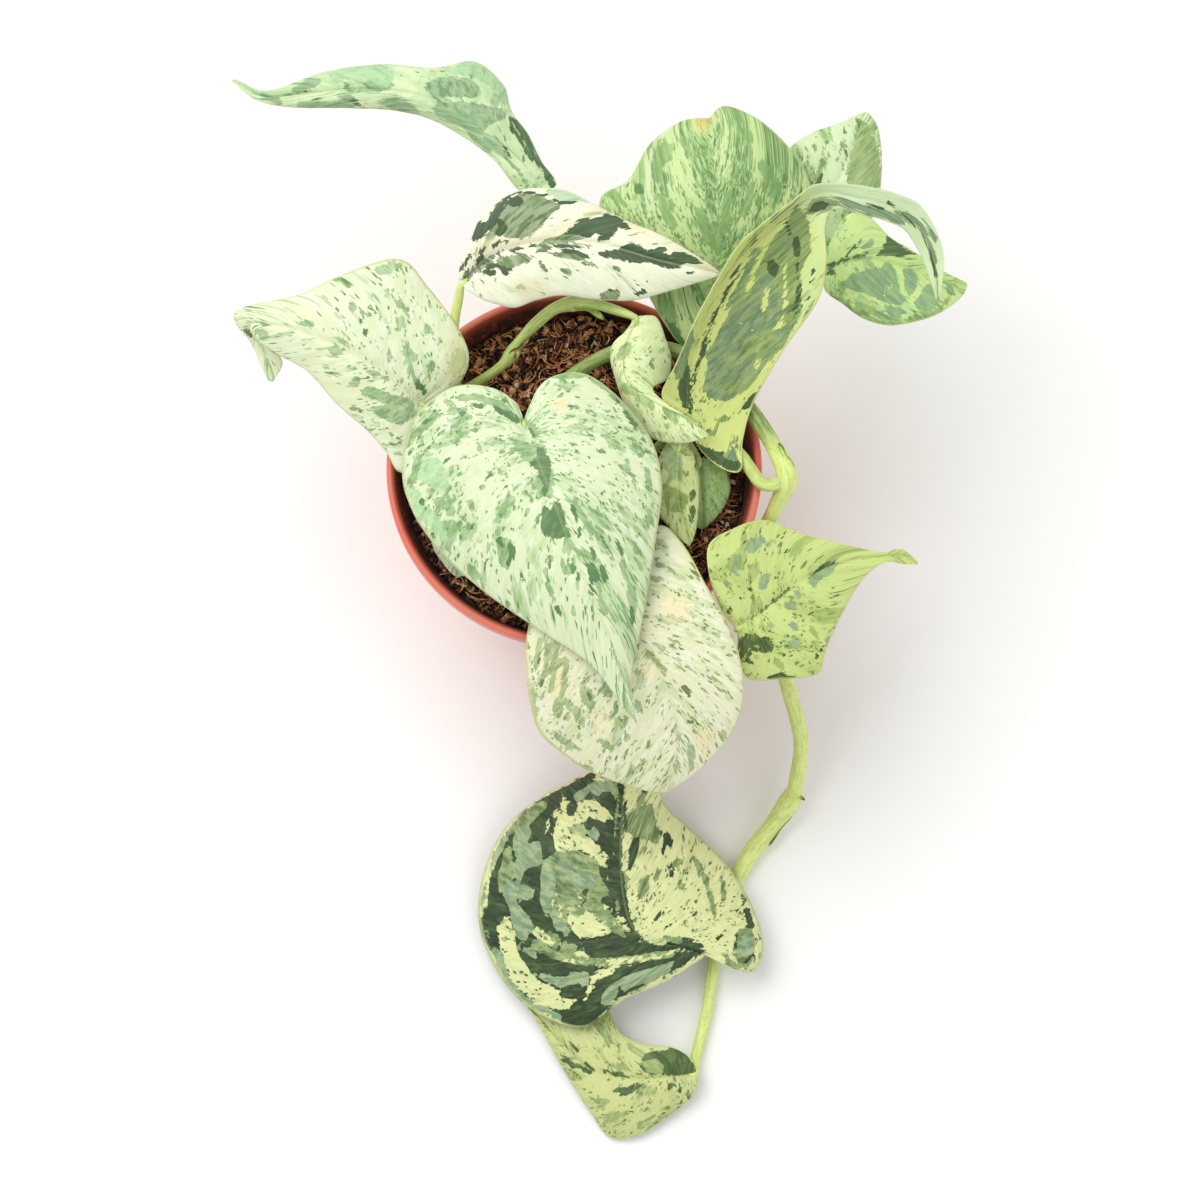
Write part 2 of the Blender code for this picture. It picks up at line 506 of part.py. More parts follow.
def spline(points, t):
    """Catmull-Rom curve through points, at t counted in points from the first."""
    last = len(points) - 1
    i = min(max(int(t), 0), last - 1)
    f = t - i
    b, c = points[i], points[i + 1]
    a = points[i - 1] if i > 0 else 2 * b - c
    d = points[i + 2] if i + 2 <= last else 2 * c - b
    bend = 2 * a - 5 * b + 4 * c - d
    twist = 3 * (b - c) + d - a
    return b + 0.5 * f * (c - a + f * (bend + f * twist))


def blade_frame(stations, t):
    """Left edge, midrib, right edge and upward normal of a blade at t, in stations."""
    rows = [stations[:, 3 * k:3 * k + 3] for k in range(3)]
    left, middle, right = (spline(row, t) for row in rows)
    step = 0.3
    ahead = spline(rows[1], min(t + step, len(stations) - 1))
    behind = spline(rows[1], max(t - step, 0.0))
    normal = np.cross(right - left, ahead - behind)
    return left, middle, right, normal / np.linalg.norm(normal)


def blade_point(stations, camber, u, t):
    """Point of a blade: u runs from -1 at the left edge to 1 at the right edge."""
    left, middle, right, normal = blade_frame(stations, t)
    edge = left if u < 0 else right
    reach = abs(u)
    lift = camber * 4 * reach * (1 - reach) * np.linalg.norm(edge - middle)
    return middle + (edge - middle) * reach + normal * lift


def build_leaf(name, parts):
    colour, camber, rows = LEAVES[name]
    stations = np.array(rows, float)
    last = len(stations) - 1
    shape = bmesh.new()
    bmesh.ops.create_grid(
        shape, x_segments=BLADE_ACROSS, y_segments=round(ROWS_PER_STATION * last), size=1.0
    )
    for vertex in shape.verts:
        t = (vertex.co.y + 1) / 2 * last
        vertex.co = blade_point(stations, camber, vertex.co.x, t) * MM
    bmesh.ops.triangulate(shape, faces=shape.faces, quad_method="BEAUTY")
    mesh = bpy.data.meshes.new(name)
    shape.to_mesh(mesh)
    shape.free()
    leaf = add_object(name, mesh, parts)
    thicken = leaf.modifiers.new("blade", "SOLIDIFY")
    thicken.thickness = BLADE * MM
    thicken.offset = 0.0
    mesh.shade_smooth()
    mesh.materials.append(material(name, colour, 0.5))


def seat_point(name, before, radius):
    """End of a leaf's stalk: just under the notch, whichever way the stalk comes in."""
    stations = np.array(LEAVES[name][2], float)
    _, notch, _, normal = blade_frame(stations, 0.0)
    way = notch - before
    way /= np.linalg.norm(way)
    slant = math.sqrt(max(0.0, 1 - float(way @ normal) ** 2))
    return notch - normal * (BLADE / 2 + SEAT_GAP + radius * slant)


def tube_path(points, leaf):
    """Points and radii along a tube, a step apart on a smooth curve."""
    knots = [np.array(point, float) for point in points]
    if leaf:
        seat = seat_point(leaf, knots[-1][:3], PETIOLE_NECK)
        knots.append(np.append(seat, PETIOLE_NECK))
    path = []
    for i in range(len(knots) - 1):
        span = np.linalg.norm(knots[i + 1][:3] - knots[i][:3])
        count = max(1, round(span / TUBE_STEP))
        path += [spline(knots, i + k / count) for k in range(count)]
    path.append(knots[-1])
    return path


def build_tube(name, path, group):
    curve = bpy.data.curves.new(name, "CURVE")
    curve.dimensions = "3D"
    curve.bevel_depth = MM
    curve.bevel_resolution = 2
    curve.use_fill_caps = True
    line = curve.splines.new("POLY")
    line.points.add(len(path) - 1)
    for point, knot in zip(line.points, path):
        point.co = (knot[0] * MM, knot[1] * MM, knot[2] * MM, 1.0)
        point.radius = knot[3]
    source = add_object(name + "_line", curve, group)
    bpy.context.view_layer.update()
    graph = bpy.context.evaluated_depsgraph_get()
    mesh = bpy.data.meshes.new_from_object(source.evaluated_get(graph))
    shape = bmesh.new()
    shape.from_mesh(mesh)
    bmesh.ops.remove_doubles(shape, verts=shape.verts, dist=0.00001)
    bmesh.ops.recalc_face_normals(shape, faces=shape.faces)
    shape.to_mesh(mesh)
    shape.free()
    obj = add_object(name, mesh, group)
    obj.matrix_world = source.matrix_world
    bpy.data.objects.remove(source, do_unlink=True)
    return obj


def build_stem(name, parts):
    tubes = STEMS[name]
    stem = build_tube(name, tube_path(*tubes[0]), parts)
    if len(tubes) > 1:
        branches = bpy.data.collections.new(name + " branches")
        bpy.context.scene.collection.children.link(branches)
        for k, tube in enumerate(tubes[1:]):
            build_tube(f"{name}_branch_{k}", tube_path(*tube), branches)
        join = stem.modifiers.new("branches", "BOOLEAN")
        join.operation = "UNION"
        join.operand_type = "COLLECTION"
        join.collection = branches
        join.solver = "MANIFOLD"
        bpy.context.view_layer.update()
        apply_modifiers(stem)
        for obj in list(branches.objects):
            bpy.data.objects.remove(obj, do_unlink=True)
        bpy.data.collections.remove(branches)
    smooth(stem.data)
    stem.data.materials.clear()
    stem.data.materials.append(material("stem", STEM_GREEN, 0.5))


def main():
    clear_scene()
    parts = new_collection("potted trailing aroid")
    cutters = new_collection("cutters")
    cutters.hide_render = True
    build_pot(parts, cutters)
    build_soil(parts, cutters)
    for name in STEMS:
        build_stem(name, parts)
    for name in LEAVES:
        build_leaf(name, parts)


main()
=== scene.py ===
"""Looks of a trailing variegated aroid in its nursery pot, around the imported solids."""

import math

import bmesh
import bpy
import numpy as np
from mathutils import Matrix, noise


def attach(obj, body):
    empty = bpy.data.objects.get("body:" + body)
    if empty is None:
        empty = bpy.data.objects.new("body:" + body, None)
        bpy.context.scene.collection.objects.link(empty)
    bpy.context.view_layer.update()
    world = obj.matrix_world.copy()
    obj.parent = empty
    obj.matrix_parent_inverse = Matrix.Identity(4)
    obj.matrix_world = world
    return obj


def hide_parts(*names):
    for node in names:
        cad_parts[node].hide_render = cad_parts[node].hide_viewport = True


bl_info = {
    "name": "Potted trailing aroid",
    "version": (1, 0, 0),
    "blender": (4, 5, 0),
    "location": "View3D > Sidebar > Aroid",
    "description": "Dresses the solids of a trailing aroid in its nursery pot",
    "category": "Add Mesh",
}

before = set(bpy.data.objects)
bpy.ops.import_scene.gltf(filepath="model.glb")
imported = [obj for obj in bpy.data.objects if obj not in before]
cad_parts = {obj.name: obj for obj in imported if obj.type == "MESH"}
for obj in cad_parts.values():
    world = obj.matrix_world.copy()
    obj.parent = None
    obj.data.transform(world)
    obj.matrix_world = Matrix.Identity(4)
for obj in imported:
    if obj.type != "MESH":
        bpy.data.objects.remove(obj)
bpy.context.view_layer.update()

MM = 0.001
ROOT = "root"

# Pot, in millimetres
POT_HEIGHT = 95.0
LIP_RADIUS = 60.0
LIP_HEIGHT = 7.0
LIP_WIDTH = 2.8
WALL = 1.4
WALL_TOP_RADIUS = 57.6
FOOT_RADIUS = 41.6
FOOT_RING = 6.5
FOOT_PAD = 20.0
FOOT_RECESS = 1.2
FOOT_CHAMFER = 1.0
POT_OVAL = (1.02, 0.985)
POT_SIDES = 144
DRAIN_HOLES = 6
DRAIN_RADIUS = 3.5
DRAIN_CIRCLE = 27.0

# Middle of the pot's wall as its radius at the floor, in metres, and how that grows with the
# height, and the heights between which the dark smear on the inside of the wall ends: it is
# partly dirt and partly painted shade
WALL_BASE = 0.0405
WALL_SLOPE = 0.187
DIRT_AND_SHADE_LINE = (0.0885, 0.0945)

# Soil, and where the stems rooted in it start and come out, in millimetres
SOIL_LEVEL = 83.0
ROOT_END = 68.0
ROOT_TOP = 86.0
SOIL_RINGS = 70
SOIL_SPOKES = 220

# Height of the soil's broad swells, lumps and grit, in millimetres
SOIL_SWELL = 0.49
SOIL_LUMPS = 1.15
SOIL_GRIT = 0.75

# Blades: rows for each station, points across, and reliefs in millimetres
ROWS_PER_STATION = 9
BLADE_ACROSS = 56
BLADE_TOP = 0.25
BLADE_THICKNESS = 0.55
EDGE_THINNING = 0.25
EDGE_CURL = 0.35
MIDRIB_WIDTH = 1.0
MIDRIB_DEPTH = 0.7
VEIN_RIDGE = 0.12
VEINS_PER_STATION = 1.6
STATION_LENGTH = 9.0

# Stems: sides and step of their tubes, and how much they swell at a node and narrow at its
# ring, as shares of the radius, each with its reach, in millimetres
STEM_SIDES = 18
STEM_STEP = 1.3
NODE_SWELL = 0.16
NODE_SWELL_REACH = 2.6
NODE_NECK = 0.10
NODE_NECK_REACH = 0.8
NODE_BROWN_REACH = 3.6

# Stands for a node where a stem has none
FAR_AWAY = (0.0, 0.0, 1e4)

# Rounded ends of a stem's tube: how far out its smaller rings stand, as shares of the radius
CAP_STEPS = (0.45, 0.8, 0.97)

# Thin sheaths at the nodes: points along and across, thickness in millimetres, and how far
# round the trough goes to either side, in radians
SHEATH_ROWS = 14
SHEATH_COLUMNS = 9
SHEATH_THICKNESS = 0.25
SHEATH_WRAP = 1.3

# Loose bits of the potting mix: the least and the most of each measure, in millimetres, their
# bend and tilt in radians, and by how much the corners of a chip stray
FIBRE_POINTS = 6
FIBRE_LENGTH = (3, 9)
FIBRE_RADIUS = (0.12, 0.32)
FIBRE_BEND = (-1.4, 1.4)
FIBRE_RISE = (-0.2, 2.0)
CHIP_SIZE = ((1.0, 5.4), (0.5, 2.2), (0.4, 1.3))
CHIP_STRAY = (0.65, 1.15)
CHIP_TILT = (-0.6, 0.6)

# Camera: the photograph looks down on the pot at 80 degrees
AIM = (0.0084, -0.044, 0.095)
CAMERA_RISE = 80.0
CAMERA_DISTANCE = 1.2
LENS = 111.3
SENSOR = 36.0

# Floor, just under the lowest leaf, and lamps: place and size in metres, share of the power
FLOOR_LEVEL = -0.0006
LAMPS = {
    "key": ((-0.65, 0.5, 1.4), 1.3, 1.0),
    "fill": ((0.9, -0.7, 1.2), 1.4, 0.3),
}

# Each blade is a row of stations from the notch at its stalk to its tip. A station holds the
# left edge, the midrib and the right edge, each as x, y, z in millimetres, left and right
# being those of someone who looks along the midrib to the tip. The first stations fan round
# the two lobes behind the stalk, so their midrib points lie close together.
LEAVES = {
    "leaf_far_left": (0.06, [
        (-9.5, 86, 114, -8.5, 87, 114, -7.5, 87.5, 114),
        (-14, 85, 113, -10, 89, 114, -6, 91, 112),
        (-19, 89, 113, -13, 92.5, 115, -10, 98, 111),
        (-26, 98, 114, -18, 98, 116.5, -14.5, 106.5, 112),
        (-36, 105, 115, -26, 104.5, 118, -20.5, 114, 115),
        (-48, 111.5, 115, -36, 110.5, 120, -23, 122, 119),
        (-60, 115, 114, -48, 116.5, 120.5, -32.5, 128.8, 122),
        (-73, 115.8, 112, -60, 119.8, 119, -45.5, 126.6, 121),
        (-86, 116.4, 110, -74, 121, 116, -63, 128.7, 119),
        (-97, 118.2, 108, -88, 120.8, 112.5, -82, 127.5, 115),
        (-105, 120.8, 107.5, -102, 121, 109, -100, 122.5, 110),
        (-112.5, 126.5, 108, -112, 127, 108, -111.5, 127.5, 108),
    ]),
    "leaf_back": (0.10, [
        (-36.8, 55.6, 121, -36, 54.5, 121, -35.2, 53.4, 121),
        (-36.3, 60, 123, -35, 55.5, 121.3, -31, 50.8, 119.5),
        (-33.4, 67.2, 126, -32.5, 58.5, 122, -26, 49, 118),
        (-28.7, 76.2, 128, -27.5, 62.5, 123.5, -19, 47.3, 117.5),
        (-18, 83.3, 128, -20, 65.3, 125, -12, 49.8, 118),
        (-4, 84.2, 127.5, -10, 67, 126, -4, 51.6, 118),
        (7, 79, 127.5, 2, 67, 126.5, 8, 49.8, 118),
        (18, 73, 127.5, 14.5, 64.5, 127, 18.5, 49.2, 119.5),
        (30, 67.8, 127.5, 28, 60.5, 127, 29.5, 51.6, 122),
        (47, 57.2, 126, 47, 56.6, 126, 47, 56, 126),
    ]),
    "leaf_back_round": (0.10, [
        (44.6, 51.5, 108, 45.8, 52, 108, 47, 51.5, 108),
        (41, 43, 105.5, 45.8, 53, 108.3, 52, 44, 105),
        (35, 38.4, 104.5, 45.8, 55, 109.2, 60, 44, 103.5),
        (29, 46, 106, 45.9, 58.5, 111, 68, 52, 105.5),
        (22, 58, 107, 46.3, 64, 114, 74, 64, 108),
        (10.5, 73, 108, 46.6, 72, 117.5, 77.5, 77, 112),
        (8.6, 86.3, 109, 46.2, 82, 120.5, 76.5, 91, 115),
        (17.5, 91.5, 111.5, 45.5, 92, 121.5, 70.5, 100, 117.5),
        (24.5, 103.5, 115, 44.8, 101, 121, 60, 109.5, 119.5),
        (34, 109.5, 117.5, 44.2, 107.5, 120, 49.5, 114.6, 119.5),
        (43.2, 110.4, 118.5, 43.8, 111, 118.8, 44.6, 111.2, 118.8),
    ]),
    "leaf_arched": (-0.06, [
        (35.8, 13.5, 108, 36.7, 14, 108, 37.5, 13.2, 107.6),
        (31, 14.5, 108.5, 36.6, 15, 108.6, 40, 5, 104.5),
        (28.4, 19.9, 111.5, 36.5, 17, 109.3, 47, -1.5, 102),
        (30, 23.5, 117, 36.5, 19.5, 110.6, 53.8, -2.8, 101.8),
        (32.5, 27.5, 122, 36.6, 23, 112.5, 54.5, 6.5, 104.2),
        (37.7, 36.7, 132, 37.6, 29.4, 117, 58, 18, 110),
        (43.8, 47.5, 137, 40.4, 38.3, 122, 67.5, 33, 121.5),
        (51.7, 60.5, 144, 45.5, 49, 128, 77.8, 46.5, 132),
        (60.2, 67.2, 148, 54.5, 61, 134.5, 80, 58, 139),
        (69.2, 73.2, 150, 65.7, 70.3, 141, 79.5, 68, 142.5),
        (76.5, 79, 150, 76.5, 77.3, 145.5, 82.5, 73.2, 143),
        (88, 79.6, 148, 88.5, 76.3, 145, 91, 72, 141.5),
        (101.5, 77.9, 143.5, 100.6, 74.2, 140.5, 101, 70, 137.5),
        (111.3, 74.3, 137.5, 108.3, 70.6, 135.5, 106.6, 67.8, 133.5),
        (118, 62.5, 129.5, 114.8, 61, 128.5, 112.2, 59.6, 127.5),
        (117.3, 48.8, 124, 116.7, 48.4, 124, 116.1, 48.2, 124),
    ]),
    "leaf_right_tip": (0.08, [
        (80.4, 62.4, 108, 80.8, 61.3, 108, 81, 60.2, 108),
        (83.5, 71.5, 110, 81.8, 62, 108.5, 82, 55.5, 107),
        (88.8, 80.3, 112, 84, 63.2, 109.5, 87.5, 51.5, 107),
        (96, 79, 113, 89, 64.5, 111.5, 94, 46.5, 107),
        (102.5, 72, 113, 97, 64.5, 113, 102, 44.2, 107),
        (109.5, 67.8, 113, 106.5, 62.3, 113, 110.5, 45.4, 108),
        (116, 64, 112, 114.5, 59.3, 112.3, 118.5, 48, 109),
        (122, 60, 111, 121.5, 57.8, 111.3, 125, 52.5, 110),
        (127.2, 58.2, 110, 127.4, 57.6, 110, 127.6, 57, 110),
    ]),
    "leaf_upright": (0.06, [
        (78.8, 70.6, 102, 79.8, 70.8, 102, 80.8, 70.6, 102),
        (73.5, 73, 101.5, 80.2, 72.5, 102.3, 85.5, 70, 101),
        (69.5, 83, 102.5, 81.5, 78, 103.5, 92, 75.5, 101),
        (67.5, 93.5, 104, 84, 87, 105, 99, 84.5, 101.5),
        (69.5, 103.3, 105, 88, 96.5, 106, 101, 96.5, 102.5),
        (77, 109.2, 105.5, 91.5, 105, 106, 100.8, 106, 103.5),
        (87.5, 113.4, 105, 94, 112, 105.3, 99, 113.3, 104),
        (95, 117.2, 104, 95.6, 117.5, 104, 96.2, 117.3, 104),
    ]),
    "leaf_folded": (0.08, [
        (21.2, 44.9, 117, 20.2, 44.2, 117, 19.3, 43.6, 117),
        (26.5, 44.8, 115.5, 19.6, 42.5, 116.5, 16.5, 40.2, 114.5),
        (29.6, 38.5, 113.5, 17.8, 37.5, 115, 12.4, 36.5, 112.5),
        (31.5, 32.5, 110.5, 16, 31, 113.5, 11.8, 31, 110.5),
        (30.5, 26.5, 108, 16.6, 25.2, 112.8, 13.8, 24, 108),
        (25.5, 22.5, 110.5, 21.5, 20.3, 113, 17.8, 15, 106),
        (30.4, 16.8, 112.3, 29.5, 15.8, 113, 25.5, 7, 106),
        (37.4, 12.4, 112.2, 37, 11.5, 112.3, 34.5, 5, 107.5),
        (43.5, 7.6, 110.5, 43.3, 7.1, 110.5, 43, 6.7, 110.5),
    ]),
    "leaf_inner": (0.08, [
        (35, 7, 102.5, 34, 6.3, 102.5, 33, 7, 102.5),
        (37.6, 5.5, 102, 33.9, 4.8, 102.5, 30, 6, 102.5),
        (39.3, 0.5, 101, 33.6, 1, 102.3, 27, 0.5, 102),
        (40.6, -6, 100, 33.3, -5, 101.5, 25.5, -7, 101),
        (40.5, -13.5, 99, 33.8, -12, 100.5, 26.5, -14.5, 100),
        (39.6, -20.5, 97.5, 35.4, -19, 99, 30.5, -20.5, 98.5),
        (37.8, -26.4, 96.5, 37.3, -26.8, 96.5, 36.8, -26.4, 96.5),
    ]),
    "leaf_front_heart": (0.09, [
        (-14.6, 11.2, 117.6, -16, 10, 117.6, -17.4, 11.2, 117.6),
        (-13.6, 16, 118.2, -16, 9.3, 117.8, -18.5, 16, 118.2),
        (-8.5, 23.5, 118.5, -15.7, 8.2, 118.2, -26.5, 21.4, 118),
        (3, 25.8, 118, -15.2, 6.6, 118.8, -39.5, 21.2, 116.5),
        (14, 19, 116.5, -14.2, 4, 119.5, -51.3, 11.8, 113.5),
        (24.5, 5.5, 114.5, -12.6, -0.5, 120.3, -55.5, -4, 110),
        (28.2, -9.5, 113, -9.6, -8, 121, -52, -17, 108),
        (27, -24, 111.5, -5.5, -19, 121, -42.5, -30.5, 106),
        (24.5, -39, 109, -0.5, -32, 119, -28, -44, 104.5),
        (21.7, -53, 105.5, 6, -47, 114.5, -11, -55.5, 103),
        (19.3, -66, 101.5, 12.5, -61.5, 107.5, 4.3, -65, 101.5),
        (18.3, -76, 98.5, 16.8, -73.5, 101.2, 13.5, -76, 98.5),
        (20.4, -84, 97, 20, -84.4, 97, 19.6, -84.2, 97),
    ]),
    "leaf_left": (0.09, [
        (-48.6, 16.6, 104, -48, 17.8, 104, -47.4, 19, 104),
        (-46.5, 8.5, 103, -48.6, 18, 104.2, -40.5, 22.5, 105),
        (-49.5, -1.5, 100.5, -49.5, 18.6, 104.8, -35.8, 26.5, 106),
        (-57, -2.5, 99.5, -51, 19.8, 105.8, -34.2, 34.5, 108),
        (-61.5, 4, 100.5, -54, 22, 107.8, -38.5, 44, 112),
        (-68, 11.5, 102.5, -60, 26, 111, -46.5, 54.5, 116),
        (-77, 19, 105.5, -69, 31.5, 114.5, -56, 63.2, 119),
        (-86, 28, 108, -80.5, 37, 117, -73, 58.5, 119),
        (-94, 33, 109, -92, 41, 116.5, -89, 52.2, 117),
        (-101, 38.5, 108.5, -104, 43.5, 112.5, -105.5, 49.5, 112.5),
        (-98, 37.5, 104.5, -104.5, 41.5, 107.5, -110, 46.5, 108.5),
        (-95, 33.5, 100.5, -100.5, 36.5, 102.5, -105, 39, 103.5),
        (-98.2, 28, 97, -99, 27.8, 97, -99.8, 28.2, 97),
    ]),
    "leaf_over_rim": (0.05, [
        (9.5, -37.2, 99, 8, -38, 99, 6.5, -37.2, 99),
        (18, -28, 99.5, 8.6, -39, 99.3, -3, -39, 98.5),
        (27.5, -20, 99.5, 10, -41, 99.8, -12.5, -47, 98.2),
        (35, -26.5, 100.3, 12.8, -45, 100.4, -15.5, -57.5, 98.3),
        (42.5, -40, 101, 17, -51, 100.5, -15.3, -67, 94),
        (50, -53, 97.5, 21.5, -58, 98.6, -14.2, -76.5, 88),
        (54.4, -66, 91.5, 26.5, -66, 94.8, -11, -86, 81),
        (54.3, -77.5, 83.5, 31, -75.5, 89, -1.5, -93, 74),
        (49.8, -87.5, 75.5, 33.5, -85.5, 81.5, 9, -98, 68),
        (40.5, -96, 67.5, 33, -95.5, 72, 20, -101.5, 64.5),
        (29.6, -102.8, 62, 29, -103.2, 62, 28.4, -102.8, 62),
    ]),
    "leaf_trailing": (0.12, [
        (44.7, -151.8, 17, 45.6, -150.5, 17, 46.6, -151.6, 17),
        (40, -155.5, 16.5, 43.8, -150.3, 17.3, 50.5, -153.2, 16),
        (30, -161.3, 15.5, 41, -150, 18, 58.5, -158.3, 13),
        (17, -167.3, 15.5, 36.5, -149.8, 18.8, 63.2, -153.5, 11),
        (3, -176.8, 14, 30.5, -149, 19.5, 63.5, -144, 10),
        (-12, -172, 9.5, 24, -147.3, 20.5, 60, -133.3, 9.8),
        (-24.5, -160.5, 6.5, 19, -142.5, 21.5, 54, -124, 10.5),
        (-33, -143.5, 5.2, 16.5, -134, 23.5, 46, -115.3, 12.5),
        (-32.7, -127.5, 6, 15.5, -122.5, 25.5, 37, -107, 15.5),
        (-25.3, -110.3, 9, 15.5, -111, 27, 30, -100.5, 19),
        (-12.2, -98, 14, 16.5, -100, 28, 28.5, -93, 22),
        (5, -89.5, 21, 18, -90, 27.5, 26.5, -86, 24.5),
        (19.4, -79.5, 25.5, 20, -79, 25.5, 20.6, -79.3, 25.5),
    ]),
    "leaf_trailing_end": (0.10, [
        (41.2, -193, 7.5, 41, -192, 7.5, 40.8, -191, 7.5),
        (41, -197, 6, 38.8, -192.3, 8, 38.8, -186.8, 9.5),
        (37.7, -202, 4.5, 34.5, -193, 8.6, 32.5, -183.2, 11),
        (30.5, -207, 3.4, 27.5, -193.8, 8.8, 23.5, -182, 10),
        (21.5, -212.4, 2.4, 19.5, -194, 8.5, 15, -177.8, 8.5),
        (11.5, -213.3, 1.8, 11, -193, 7.8, 10, -169.5, 7.2),
        (4.7, -204.5, 2, 3, -189.3, 7, -1.5, -166.5, 6),
        (-3, -191.5, 2.6, -5, -181.5, 6, -9, -166.5, 5),
        (-10.3, -178.8, 3.4, -11, -174, 5, -13.5, -168, 4.4),
        (-16, -169.5, 3.8, -16, -169, 3.8, -16, -168.4, 3.8),
    ]),
    "leaf_right": (0.05, [
        (51.8, -51.6, 90, 52.8, -52.7, 90, 53.4, -54.2, 89.5),
        (47.5, -46.5, 94, 54, -51.8, 90, 53.6, -60.8, 85),
        (44.2, -38.5, 98.6, 56.5, -50, 90, 57, -67.8, 81),
        (43.4, -27, 100, 60, -47.6, 89.7, 68, -67.6, 79),
        (51.5, -21.2, 98.8, 65.6, -43.1, 89.2, 79.2, -65.6, 78),
        (62, -17.2, 94, 71.6, -37.9, 88.2, 82, -58.5, 79),
        (74.6, -21.3, 90, 79.6, -33.5, 87, 88, -46, 80),
        (87.7, -24.2, 87, 89.7, -29.6, 85.2, 94.8, -34.3, 82),
        (100.6, -26.3, 84.3, 101, -27.7, 83.8, 101.6, -29.2, 83.2),
        (107, -24.8, 82, 107.4, -27, 81.5, 108, -29.4, 80.6),
        (113, -28.3, 79, 112.9, -28.9, 79, 112.8, -29.4, 79),
    ]),
    "leaf_young": (0.10, [
        (41.6, 3.6, 91.5, 40.7, 3.2, 91.5, 39.8, 3.6, 91.5),
        (44.5, 3.2, 91.3, 40.8, 2.2, 91.6, 37, 3.6, 91.3),
        (48.9, 0.6, 91, 41, -1.2, 91.8, 33.8, 0, 91),
        (51, -5.5, 90.3, 41.3, -6.8, 91.6, 32.4, -6.5, 90.4),
        (49.8, -11, 89.4, 41.6, -12.2, 90.8, 33.6, -13.2, 89.4),
        (46.2, -15.6, 88.6, 41.7, -15.8, 89.6, 37.2, -16.2, 88.6),
        (42, -19.3, 88, 41.5, -19.6, 88, 41, -19.3, 88),
    ]),
    "leaf_under": (0.08, [
        (-28.6, -5.2, 95.5, -29.8, -5.8, 95.5, -31, -5.2, 95.5),
        (-25, -5, 95.6, -30, -7.2, 95.6, -36, -4.6, 95.6),
        (-21, -11, 95.6, -30.8, -11.5, 95.8, -43.5, -9.5, 95),
        (-20.4, -19.5, 95, -32.4, -18.7, 95.4, -47, -18, 94),
        (-24.5, -28, 94, -34.8, -26, 94.5, -45.6, -26.8, 93.2),
        (-31.2, -34, 93, -37, -31.6, 93.4, -42, -32.3, 92.8),
        (-37.4, -36, 92.6, -37.9, -36.3, 92.6, -38.4, -36, 92.6),
    ]),
}

